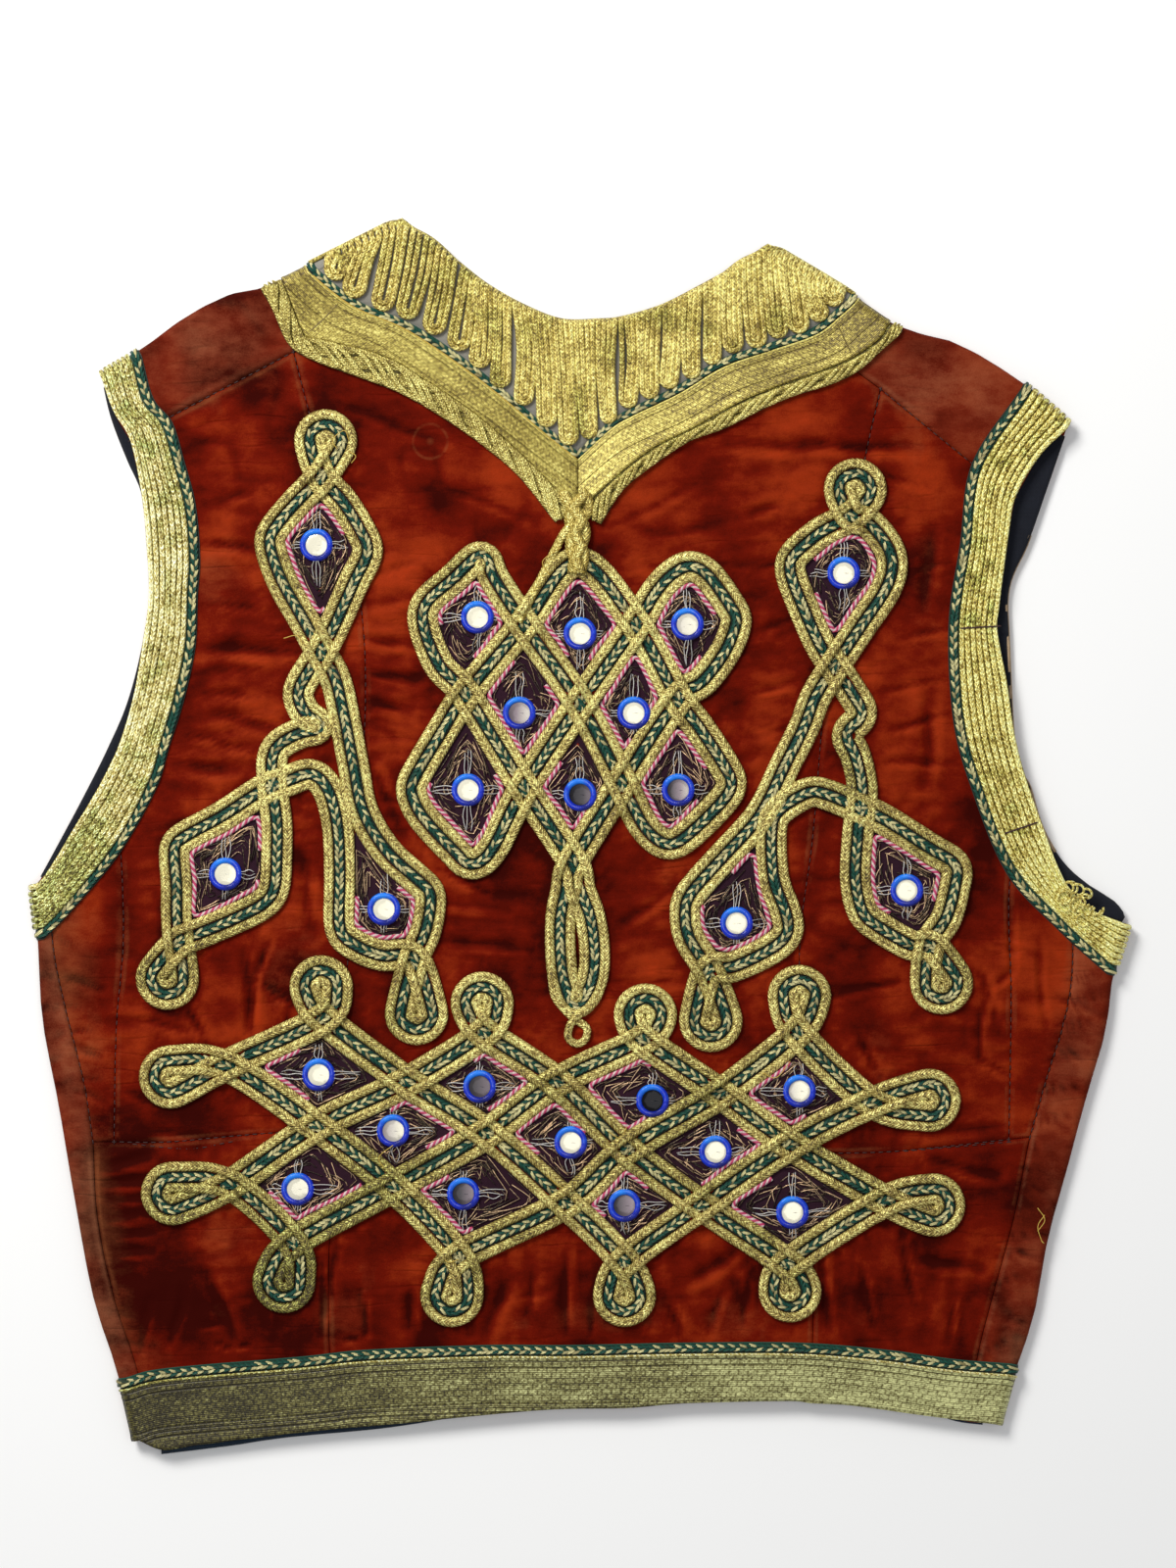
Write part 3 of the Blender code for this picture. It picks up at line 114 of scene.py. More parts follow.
RIGHT = {
    "shoulder": [(80, 249), (102, 236), (115, 228), (136, 214), (161, 207), (189, 190), (209, 173)],
    "side": [(233, -39), (226, -61), (223, -84), (216, -108), (211, -126), (206, -145), (198, -174),
             (192, -207), (185, -228), (178, -254)],
    "neck_side": [(62, 239), (70, 245), (80, 249)],
    "neck_front": [(80, 249), (66, 220), (46, 188), (24, 165), (1, 155)],
    "arm_top": [(209, 173), (197, 161), (187, 144)],
    "arm": [(187, 144), (184, 128), (180, 98), (179, 86), (183, 65), (187, 39), (193, 18), (205, -15),
            (211.5, -26)],
    "arm_end": [(211.5, -26), (220, -33.4), (233, -39)],
    "arm_front": [(209, 173), (199, 144), (192, 124), (184, 105), (184, 81), (187, 32), (192.8, 20),
                  (197.6, 4), (203.4, -7.5), (210.5, -16.9), (221, -26), (233, -39)],
    "band_inner": [(189, 190), (168, 158), (163, 124), (158, 89), (160, 48), (168, 18), (183, -18),
                   (205, -42), (226, -61)],
    "hem_front": [(178, -254), (130, -246), (60, -242), (1, -244)],
    "yoke": [(187, 144), (167, 159), (129, 190)],
    "neck": [(129, 190), (96, 214), (62, 239)],
    "princess": [(129, 190), (122, 159), (108, 88), (100, 0), (94, -55), (98, -138)],
    "princess_hem": [(98, -138), (100, -200), (99, -245)],
    "panel": [(193, 18), (187, -5), (184, -29), (185, -72), (184, -132)],
    "seam": [(211.5, -26), (211, -62), (207, -84), (201, -103), (193, -131)],
    "seam_hem": [(193, -131), (186, -166), (179, -192), (171, -223), (166, -253)],
    "waist": [(184, -132), (136, -137), (98, -138)],
    "waist_side": [(193, -131), (184, -132)],
    "neck_chain": [(116, 227.5), (109.5, 221.8), (100, 214.6), (81, 208), (61, 201.2), (42, 189.8),
                   (22.6, 180.4), (13, 174.6), (TIP, 161.5)],
    "rope_inner": [(132, 217), (128, 211), (116, 203), (101, 197), (82, 190), (66, 183), (48, 173),
                   (32, 165), (16, 153), (TIP, 137)],
    "rope_outer": [(137, 213), (130, 207), (120, 198), (108, 192), (92, 187), (78, 181), (62, 173),
                   (48, 168), (34, 159), (19, 147), (9, 132)],
}
SIDES = {"left": LEFT, "right": RIGHT}

# %% Lines that cross the middle
NECK_BACK = [(-53, 244), (-40, 234), (-24, 225), (-8, 219), (8, 219), (18, 220), (35, 225), (51, 233),
             (62, 239)]
HEM_LEFT = [(-189, -261), (-179, -265), (-166, -263.2), (-149, -261), (-126, -258.2), (-106, -256)]
HEM_MIDDLE = [(-106, -256), (-81, -254), (-18, -248), (20, -247), (45, -245), (88, -244), (99, -245)]
HEM_RIGHT = [(99, -245), (117, -246), (146, -250), (178, -254)]
HEM_CHAIN_TOP = [(-195, -234), (-178, -230), (-120, -225), (-91, -222), (-40, -220), (-4, -220), (45, -219),
                 (94, -219), (131, -222), (160, -226), (185, -228)]
LINING_HEM = [(-180, -268.6), (-165, -266.8), (-149, -264.8), (-126, -261.4), (-81, -257), (-30, -249),
              (20, -244), (100, -242), (140, -247), (160, -254), (173, -256)]
LINING_HEM_DEPTH = 12.0

# %% Braid: crossings of the lower lattice, its end loops, the centre lattice and the pendants
LATTICE = [
    [(-110, -80), (-41, -86), (27, -89), (93, -86)],
    [(-152, -100), (-74, -107), (-10, -107), (60, -112), (125, -116)],
    [(-113, -126), (-40, -129), (20, -136), (90, -134)],
    [(-150, -151), (-80, -152), (-6, -159), (52, -160), (131, -158)],
    [(-123, -176), (-52, -182), (19, -184), (89, -185)],
]
LOOPS_TOP = [(-111, -66), (-42, -73), (28, -78), (94, -70)]
LOOPS_BOTTOM = [(-127, -193), (-55, -199), (19, -199), (90, -197)]
LOOPS_LEFT = [(-176, -105), (-175, -155)]
LOOPS_RIGHT = [(150, -115), (152, -160)]

# Centre lattice: its crossings, its four round corners and its tail
CENTRE = {"top": (-1, 116), "upper_left": (-24, 89), "upper_right": (24, 89), "left": (-49, 59),
          "middle": (0, 55), "right": (42, 57), "lower_left": (-24, 19), "lower_right": (18, 21),
          "bottom": (-3, -13)}
CORNER_TOP_LEFT = [(-37, 109), (-42, 119), (-55, 108), (-66, 98), (-67, 88), (-60, 71)]
CORNER_TOP_RIGHT = [(32, 102), (39, 110), (47, 114), (55, 110), (65, 96), (67, 90), (62, 77), (52, 64)]
CORNER_LOW_RIGHT = [(51, 45), (62, 28), (65, 20), (59, 11), (44, -3), (36, -5), (27, 3)]
CORNER_LOW_LEFT = [(-58, 45), (-71, 23), (-72, 16), (-67, 6), (-54, -8), (-47, -14), (-38, -8)]
TAIL = [(-6, -24), (-9, -36), (-9, -53), (-7, -66), (-2, -75), (5, -66), (7, -53), (5, -36), (0, -24)]

# Pendants of braid either side
PENDANT_LEFT = {
    "outer": [(-111, 152), (-102, 142), (-94, 129), (-91, 120), (-97, 107), (-105, 89), (-111, 77),
              (-117, 68), (-121, 59), (-117, 50), (-110, 45), (-121, 42), (-131, 35), (-132, 21), (-130, 4),
              (-130, -9), (-131, -24), (-136, -31), (-150, -38), (-167, -45), (-172, -47)],
    "inner": [(-111, 152), (-121, 142), (-131, 130), (-133, 123), (-128, 108), (-118, 90), (-111, 77),
              (-105, 66), (-101, 49), (-97, 28), (-93, 9), (-83, -8), (-69, -21), (-64, -27), (-66, -42),
              (-71, -54)],
    "arch": [(-71, -54), (-85, -53), (-97, -48), (-103, -41), (-103, -18), (-104, 3), (-108, 18),
             (-115, 25), (-125, 22), (-136, 18), (-153, 7), (-171, -3), (-174, -8), (-173, -23),
             (-173, -36), (-172, -47)],
    "crossings": [(-111, 152), (-111, 77), (-172, -47), (-71, -54)],
    "loops": [(-109, 168), (-177, -63), (-70, -78)],
}
PENDANT_RIGHT = {
    "outer": [(116, 135), (104, 129), (92, 119), (90, 112), (95, 98), (103, 80), (109, 71), (117, 59),
              (121, 50), (114, 42), (118, 33), (121, 18), (119, -1), (118, -20), (121, -34), (127, -40),
              (143, -49), (150, -48)],
    "inner": [(116, 135), (123, 133), (131, 124), (134, 115), (131, 104), (121, 89), (109, 71), (101, 58),
              (96, 45), (88, 29), (77, 7), (61, -11), (47, -27), (45, -36), (47, -46), (55, -59)],
    "arch": [(55, -59), (65, -58), (82, -50), (89, -43), (88, -34), (83, -20), (82, 0), (85, 9), (98, 17),
             (106, 16), (118, 11), (131, 5), (150, -7), (161, -14), (161, -22), (157, -37), (150, -48)],
    "crossings": [(116, 135), (109, 71), (150, -48), (55, -59)],
    "loops": [(118, 147), (155, -65), (56, -81)],
}
MIRRORS = [
    (-113, 123), (-152, -18), (-84, -33), (113, 111), (140, -25), (67, -39),
    (-44, 92), (0, 85), (46, 89), (-26, 51), (23, 51), (-48, 18), (0, 16), (42, 18),
    (-112, -104), (-43, -109), (31, -115), (94, -111), (-80, -128), (-4, -133), (58, -137),
    (-121, -153), (-50, -155), (19, -160), (91, -163),
]

# %% [markdown]
# ## Lines, folds and skins
#
# A few small tools draw everything. `curve` puts a smooth line through a table's points. `placed`
# takes a point of the flat pattern and its height above the cloth and gives its place in space: past
# a fold line the cloth turns over on a half circle and comes back on itself. `skin` joins closed
# rings of points, one after the other, into a solid with flat ends.

# %% Lines
SPIN = np.array([[0.0, -1.0], [1.0, 0.0]])    # turns a direction to its right


def unit(vector):
    """A vector, or each of many, at length 1."""
    return vector / np.linalg.norm(vector, axis=-1, keepdims=True)


def compass(turn):
    """Unit vectors at angles from the X axis."""
    return np.stack([np.cos(turn), np.sin(turn)], -1)


def lengths(lines):
    """Length along each line to each of its points: the sum of the steps up to it."""
    steps = np.linalg.norm(np.diff(lines, axis=-2), axis=-1)
    return np.cumsum(np.concatenate([np.zeros_like(steps[..., :1]), steps], axis=-1), axis=-1)


def at_lengths(line, places):
    """Points at given lengths along a line, read off between its own points."""
    line = np.asarray(line, float)
    return np.column_stack([np.interp(places, lengths(line), part) for part in line.T])


def resample(line, step=None, count=None):
    """A line with evenly spaced points: about a step apart, or a given number of them."""
    total = lengths(np.asarray(line, float))[-1]
    return at_lengths(line, np.linspace(0.0, total, count or max(2, int(round(total / step)) + 1)))


def curve(points, step=STEP, closed=False):
    """A line through the points: between two of them a cubic whose slope at each is half the step
    from the point before to the point after (Catmull and Rom's rule)."""
    knots = np.array(points, float)
    if closed:
        padded = np.vstack([knots[-1:], knots, knots[:2]])
    else:
        padded = np.vstack([2 * knots[0] - knots[1], knots, 2 * knots[-1] - knots[-2]])
    share = np.linspace(0.0, 1.0, 12, endpoint=False)[None, :, None]
    a, b, c, d = (padded[i:len(padded) - 3 + i, None] for i in range(4))
    dense = b + 0.5 * share * (c - a + share * (2 * a - 5 * b + 4 * c - d + share * (3 * b - 3 * c + d - a)))
    last = knots[:1] if closed else knots[-1:]
    line = resample(np.vstack([dense.reshape(-1, knots.shape[1]), last]), step)
    return line[:-1] if closed else line


def joined(*lines):
    """Lines end to end, without the doubled points."""
    return np.vstack([lines[0]] + [line[1:] for line in lines[1:]])


def part_of(line, start=None, end=None):
    """The stretch of a line between the points nearest two places, which it then meets."""
    cut = np.array(line)
    if end is not None:
        last = int(np.argmin(np.linalg.norm(cut - end, axis=1)))
        cut = np.vstack([cut[:last], [end]])
    if start is not None:
        first = int(np.argmin(np.linalg.norm(cut - start, axis=1)))
        cut = np.vstack([[start], cut[first + 1:]])
    return cut


def spanned(a, b, shares):
    """Points between two lines of equally many points, at shares of the way from a to b."""
    return a[:, None] + np.asarray(shares, float)[None, :, None] * (b - a)[:, None]


def towards(line, other, distance):
    """A line moved by a distance towards another of equally many points."""
    run = other - line
    return line + distance * run / np.linalg.norm(run, axis=1)[:, None]


def direction(paths, closed=False):
    """Unit direction along each path, from the points before and after."""
    if closed:
        along = np.roll(paths, -1, axis=-2) - np.roll(paths, 1, axis=-2)
    else:
        along = np.gradient(paths, axis=-2)
    return along / np.maximum(np.linalg.norm(along, axis=-1, keepdims=True), 1e-9)


# %% Soft numbers
def smooth(value, low, high):
    """Eases from 0 at low to 1 at high: 3 t^2 - 2 t^3."""
    t = np.clip((value - low) / (high - low), 0.0, 1.0)
    return t * t * (3 - 2 * t)


def hump(value, place=0.0, width=1.0):
    """A bell: exp(-((value - place) / width)^2)."""
    return np.exp(-((value - place) / width) ** 2)


def spots(xy, table):
    """Sum of soft ellipses: each adds its amount times exp(-(distance / radius)^2)."""
    total = np.zeros(xy.shape[:-1])
    for x, y, wide, tall, amount in table:
        total += amount * np.exp(-((xy[..., 0] - x) / wide) ** 2 - ((xy[..., 1] - y) / tall) ** 2)
    return total


def mottle(xy, size, seed):
    """Soft patches between -1 and 1: random values on a square net of the given mesh, blended between
    its knots by a smooth step."""
    net = np.random.default_rng(seed).uniform(-1, 1, (64, 64))
    place = np.asarray(xy, float) / size + 1000.0
    cell = np.floor(place).astype(int)
    part = place - cell
    part = part * part * (3 - 2 * part)
    i, j = cell[..., 0] % 64, cell[..., 1] % 64
    low = net[i, j] * (1 - part[..., 0]) + net[(i + 1) % 64, j] * part[..., 0]
    top = net[i, (j + 1) % 64] * (1 - part[..., 0]) + net[(i + 1) % 64, (j + 1) % 64] * part[..., 0]
    return low * (1 - part[..., 1]) + top * part[..., 1]


def nearest(xy, samples, chunk=3000):
    """Distance from each point to the nearest of the samples, and its number."""
    flat = xy.reshape(-1, 2)
    distance, which = np.empty(len(flat)), np.empty(len(flat), int)
    for start in range(0, len(flat), chunk):
        part = flat[start:start + chunk]
        away = (part[:, None, 0] - samples[:, 0]) ** 2 + (part[:, None, 1] - samples[:, 1]) ** 2
        which[start:start + chunk] = away.argmin(axis=1)
        distance[start:start + chunk] = np.sqrt(away.min(axis=1))
    return distance.reshape(xy.shape[:-1]), which.reshape(xy.shape[:-1])


# %% Folds: from the flat pattern to its place
class Fold:
    """A fold line. The distance beyond it is measured straight across its run."""

    def __init__(self, points):
        self.core = curve(points, FOLD_STEP)
        self.origin = self.core[0]
        self.along = unit(self.core[-1] - self.origin)
        self.out = self.along @ SPIN
        self.out *= np.sign(self.out @ self.origin)
        self.places = (self.core - self.origin) @ self.along
        self.levels = (self.core - self.origin) @ self.out

    def measure(self, points):
        """How far points lie beyond the fold, and the places straight across on it."""
        local = points - self.origin
        distance = local @ self.out - np.interp(local @ self.along, self.places, self.levels)
        return distance, points - distance[..., None] * self.out

    def unfolded(self, line):
        """A line on the turned side, laid out flat beyond the fold."""
        distance, places = self.measure(np.asarray(line, float))
        return places + self.out * (np.pi * FOLD - distance - GAP / 2)[:, None]


FOLDS = {f"{fold}_{side}": Fold(lines[fold])
         for fold in ("shoulder", "side") for side, lines in SIDES.items()}


def bulge(xy):
    """How far the back stands above its edges: the product of two squared parabolas."""
    across = np.clip(1 - (xy[..., 0] / BULGE_HALF_X) ** 2, 0, None)
    along = np.clip(1 - ((xy[..., 1] - BULGE_Y) / BULGE_HALF_Y) ** 2, 0, None)
    return BULGE * across ** 2 * along ** 2


def with_height(xy, height):
    """Points in space from their two places and their height, or one height for all."""
    return np.concatenate([xy, np.broadcast_to(height, xy.shape[:-1])[..., None]], axis=-1)


def placed(pattern, layer="back"):
    """Places of pattern points (x, y, height): past a fold, the point at distance d turns through
    the angle d / FOLD, up to half a turn, on a circle of radius FOLD + height."""
    xy, height = pattern[..., :2], pattern[..., 2]
    sign = 1.0 if layer == "back" else -1.0
    where, z = xy.copy(), FOLD_MID + sign * (FOLD + height)
    for fold in FOLDS.values():
        beyond, places = fold.measure(xy)
        over = beyond > 1e-6
        angle = np.clip(beyond / FOLD, 0.0, np.pi)
        out = (FOLD + height) * np.sin(angle) - np.clip(beyond - np.pi * FOLD, 0.0, None)
        where[over] = (places + out[..., None] * fold.out)[over]
        z[over] = (FOLD_MID + sign * (FOLD + height) * np.cos(angle))[over]
    if layer == "back":
        z = z + bulge(where)
    return with_height(where, z)


def over_fold(line, start=None, end=None):
    """A line carried a little way round a fold at its ends."""
    pieces = [line]
    for name, index in ((start, 0), (end, -1)):
        if name:
            fold = FOLDS[name]
            _, place = fold.measure(line[index])
            away = [place + fold.out * d for d in (1.05, 2.1)]
            pieces = [np.vstack(away[::-1])] + pieces if index == 0 else pieces + [np.vstack(away)]
    return np.vstack(pieces)


# %% Meshes of quads
MADE = {}    # each piece, with its number of triangles


def grid_cells(index):
    """Corner numbers of the quads of a grid of points."""
    return np.stack([index[:-1, :-1], index[:-1, 1:], index[1:, 1:], index[1:, :-1]], -1).reshape(-1, 4)


def linked(name, data):
    """A new object of the scene, made from a mesh, a light or a camera."""
    made = bpy.data.objects.new(name, data)
    bpy.context.collection.objects.link(made)
    return made


def built(name, points, faces, values, finish, nodes=()):
    """A piece from places in millimetres, quads, and values kept with the points for its finish. It
    rides on the one body, and it replaces the solids of its nodes."""
    mesh = bpy.data.meshes.new(name)
    mesh.vertices.add(len(points))
    mesh.vertices.foreach_set("co", (points * MM).ravel())
    mesh.loops.add(faces.size)
    mesh.loops.foreach_set("vertex_index", faces.ravel().astype(np.int32))
    mesh.polygons.add(len(faces))
    mesh.polygons.foreach_set("loop_start", np.arange(0, faces.size, 4, dtype=np.int32))
    mesh.polygons.foreach_set("use_smooth", np.full(len(faces), True))
    for key, value in values.items():
        kind, field = ("FLOAT_VECTOR", "vector") if value.ndim == 2 else ("FLOAT", "value")
        stored = mesh.attributes.new(key, kind, "POINT")
        stored.data.foreach_set(field, value.ravel().astype(np.float32))
    mesh.update(calc_edges=True)
    mesh.validate()
    mesh.materials.append(finish)
    made = linked(name, mesh)
    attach(made, "root")
    if nodes:
        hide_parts(*nodes)
    MADE[name] = 2 * len(faces)
    print(f"{name}: {MADE[name]} triangles")
    return made


# %% Skins: closed rings of points joined into solids
def ring_faces(shape, closed):
    """Corner numbers of the quads between rings, for k solids of n rings of m points. The two flat
    ends are strips of quads from one side of the ring to the other."""
    k, n, m = shape
    index = np.arange(k * n * m).reshape(shape)
    here = index if closed else index[:, :-1]
    after = np.roll(index, -1, axis=1) if closed else index[:, 1:]
    sides = np.stack([here, np.roll(here, -1, axis=2), np.roll(after, -1, axis=2), after], -1)
    faces = [sides.reshape(-1, 4)]
    if not closed:
        i = np.arange(m // 2 - 1)
        for ring, order in ((index[:, 0], 1), (index[:, -1], -1)):
            cap = np.stack([ring[:, i], ring[:, m - 1 - i], ring[:, m - 2 - i], ring[:, i + 1]], -1)
            faces.append(cap.reshape(-1, 4)[:, ::order])
    return np.vstack(faces)


def skin(name, batches, finish, nodes=()):
    """One piece from batches of rings. A batch holds places (k, n, m, 3) in millimetres, whether its
    rings close into a loop, and values for the finish to read, such as lay (length along, distance
    across, chance) and tone. A batch whose volume comes out negative is turned inside out."""
    points, faces, values, start = [], [], {}, 0
    for rings, closed, extra in batches:
        quads = ring_faces(rings.shape[:3], closed)
        flat = rings.reshape(-1, 3)
        a, b, c, d = (flat[quads[:, i]] - flat.mean(axis=0) for i in range(4))
        volume = np.sum(a * np.cross(b, c)) + np.sum(a * np.cross(c, d))
        faces.append((quads if volume > 0 else quads[:, ::-1]) + start)
        points.append(flat)
        for key, value in extra.items():
            parts = value.shape[3:]
            full = np.broadcast_to(value, rings.shape[:3] + parts)
            values.setdefault(key, []).append(full.reshape((-1,) + parts))
        start += len(flat)
    values = {key: np.concatenate(value) for key, value in values.items()}
    return built(name, np.vstack(points), np.vstack(faces), values, finish, nodes)


def cords(paths, half, high, base, around=10, closed=False, tone=0.5, layer="back", seed=0, flat=1.0):
    """Rings of round cords laid on the cloth. paths (k, n, 2) is the line of each underside's middle;
    a ring is an ellipse, half wide and high tall, stood across the path on its base height."""
    paths = np.asarray(paths, float)
    if paths.ndim == 2:
        paths = paths[None]
    k, n = paths.shape[:2]
    half, high, base, tone = (np.broadcast_to(np.asarray(v, float), (k, n)) for v in (half, high, base, tone))
    side = direction(paths, closed) @ SPIN
    turn = 2 * np.pi * (np.arange(around) + 0.5) / around
    up = 0.5 + 0.5 * np.sign(np.sin(turn)) * np.abs(np.sin(turn)) ** flat
    across = half[..., None] * np.cos(turn)
    xy = paths[:, :, None] + side[:, :, None] * across[..., None]
    chance = 10 * np.random.default_rng(seed).random((k, 1, 1))
    lay = np.stack(np.broadcast_arrays(lengths(paths)[..., None], across, chance), -1)
    rings = placed(with_height(xy, base[..., None] + high[..., None] * up), layer)
    return rings, closed, {"lay": lay, "tone": tone[..., None]}


def band(a, b, shares, heights, base, thick, layer="back", tone=0.5):
    """Rings of a flat strip between two lines of equally many points: the upper side stands at base +
    thick + heights across its shares of the width, and the underside at base."""
    n, m = len(a), len(shares)
    xy = spanned(a, b, shares)
    heights = np.broadcast_to(heights, (n, m))
    pattern = np.concatenate([with_height(xy, base + thick + heights),
                              with_height(xy, base)[:, ::-1]], axis=1)
    across = np.asarray(shares) * np.linalg.norm(b - a, axis=1)[:, None]
    across = np.concatenate([across, across[:, ::-1]], axis=1)
    length = lengths(0.5 * (a + b))[:, None]
    lay = np.stack(np.broadcast_arrays(length, across, 0.0), -1)[None]
    tone = np.broadcast_to(np.asarray(tone, float).reshape(-1, 1), (n, 2 * m))[None]
    return placed(pattern[None], layer), False, {"lay": lay, "tone": tone}


def bed(a, b, thick):
    """A low padded strip between two lines, on which a row of chain stitch lies. Its low tone paints it near
    black: painted shade between and under the stitches.
    """
    return band(a, b, (0.0, 0.25, 0.5, 0.75, 1.0), (0.0, 0.25, 0.3, 0.25, 0.0), FACE, thick, tone=0.1)


# %% Sheets and their cut
CUTS = {}    # each sheet, with the width, length and area that it was cut to, in metres


def cut_of(name, piece, a, b):
    """Notes the flat size of a strip between two lines: its middle's length, its greatest width, and
    the sum of width times step as its area."""
    width = np.linalg.norm(b - a, axis=1)
    steps = np.linalg.norm(np.diff(0.5 * (a + b), axis=0), axis=1)
    area = (0.5 * (width[1:] + width[:-1]) * steps).sum()
    CUTS[name] = (piece, width.max() * MM, steps.sum() * MM, area * MM ** 2)

# %% [markdown]
# ## Finishes
#
# A finish is a small graph of nodes. To read like arithmetic, a socket is wrapped in a class whose
# operators add the Math nodes, so `1 - mask` or `pile * 0.3` can be written directly. Every pattern
# reads either the object's own coordinates in metres or the values stored with the points: `lay`,
# the length along and the distance across a cord or ribbon in millimetres, and `tone`.

# %% Shader maths
class Socket:
    """A number in a node graph. Arithmetic on it adds Math nodes."""

    def __init__(self, tree, socket):
        self.tree, self.socket = tree, socket

    def math(self, operation, *others, clamp=False):
        """A Math node of this value and the others."""
        node = self.tree.nodes.new("ShaderNodeMath")
        node.operation, node.use_clamp = operation, clamp
        for port, value in zip(node.inputs, (self, *others)):
            plug(self.tree, value, port)
        return Socket(self.tree, node.outputs[0])

    def __add__(self, other):
        return self.math("ADD", other)

    def __sub__(self, other):
        return self.math("SUBTRACT", other)

    def __mul__(self, other):
        return self.math("MULTIPLY", other)

    def __truediv__(self, other):
        return self.math("DIVIDE", other)

    def __rsub__(self, other):
        return (self * -1.0) + other

    __radd__, __rmul__ = __add__, __mul__

    def fraction(self):
        """The part after the point."""
        return self.math("FRACT")

    def size(self):
        """The value without its sign."""
        return self.math("ABSOLUTE")

    def clipped(self):
        """The value held between 0 and 1."""
        return self.math("ADD", 0.0, clamp=True)

    def teeth(self):
        """A zigzag that is 1 at the whole numbers and 0 halfway between: |fraction - 0.5| * 2."""
        return (self.fraction() - 0.5).size() * 2.0


def plug(tree, value, port):
    """Joins a socket to a port, or sets the port to a plain value."""
    if isinstance(value, Socket):
        tree.links.new(value.socket, port)
    else:
        port.default_value = value


def solid(colour):
    """A colour as a plain value with its alpha, or a socket left as it is."""
    return colour if isinstance(colour, Socket) else (*colour, 1.0)


def times(colour, factor):
    """A colour made darker or lighter, up to full."""
    return tuple(min(1.0, factor * part) for part in colour)


class Finish:
    """A material in the making."""

    def __init__(self, name, **fixed):
        self.material = bpy.data.materials.new(name)
        self.material.use_nodes = True
        self.tree = self.material.node_tree
        self.shader = self.tree.nodes["Principled BSDF"]
        for socket, value in fixed.items():
            self.shader.inputs[socket.replace("_", " ")].default_value = value

    def add(self, kind, settings=None, sockets=None, output=0):
        """Any node: its settings are set first, then the values or links of its sockets."""
        node = self.tree.nodes.new("ShaderNode" + kind)
        for key, value in (settings or {}).items():
            if key == "stops":
                ramp = node.color_ramp
                while len(ramp.elements) < len(value):
                    ramp.elements.new(0.5)
                for element, (place, colour) in zip(ramp.elements, value):
                    element.position, element.color = place, (*colour, 1.0)
            else:
                setattr(node, key, value)
        for key, value in (sockets or {}).items():
            plug(self.tree, value, node.inputs[key])
        return Socket(self.tree, node.outputs[output])

    def place(self):
        """Object coordinates, in metres."""
        return self.add("TexCoord", output=3)

    def stored(self, name, vector=False):
        """A value kept with the points."""
        node = self.add("Attribute", {"attribute_name": name})
        return Socket(self.tree, node.socket.node.outputs["Vector" if vector else "Fac"])

    def parts(self, vector):
        """The three parts of a vector."""
        node = self.add("SeparateXYZ", sockets={0: vector}).socket.node
        return [Socket(self.tree, node.outputs[i]) for i in range(3)]

    def laid(self):
        """Length along, distance across and chance of a cord or ribbon, in millimetres."""
        return self.parts(self.stored("lay", vector=True))

    def scaled(self, vector, x, y, z):
        """A vector with each part multiplied."""
        return self.add("VectorMath", {"operation": "MULTIPLY"}, {0: vector, 1: (x, y, z)})

    def noise(self, vector, scale, detail=2.0, rough=0.5):
        """Cloudy noise between 0 and 1."""
        return self.add("TexNoise", {"noise_dimensions": "3D"},
                        {"Vector": vector, "Scale": scale, "Detail": detail, "Roughness": rough})

    def ramp(self, value, *stops):
        """A colour looked up between stops."""
        return self.add("ValToRGB", {"stops": stops}, {0: value})

    def mix(self, share, first, second, blend="MIX"):
        """Two colours mixed."""
        return self.add("Mix", {"data_type": "RGBA", "blend_type": blend},
                        {0: share, 6: solid(first), 7: solid(second)}, output=2)

    def range(self, value, low, high, to_low=0.0, to_high=1.0):
        """A value mapped from one range to another and held inside it."""
        return self.add("MapRange", {"clamp": True}, {0: value, 1: low, 2: high, 3: to_low, 4: to_high})

    def bump(self, height, distance, strength=1.0):
        """A surface raised by a height map, at most by a distance in metres."""
        return self.add("Bump", sockets={"Strength": strength, "Distance": distance, "Height": height})

    def finish(self, **sockets):
        """Joins values to the shader and gives the material."""
        for key, value in sockets.items():
            plug(self.tree, value, self.shader.inputs[key.replace("_", " ")])
        return self.material
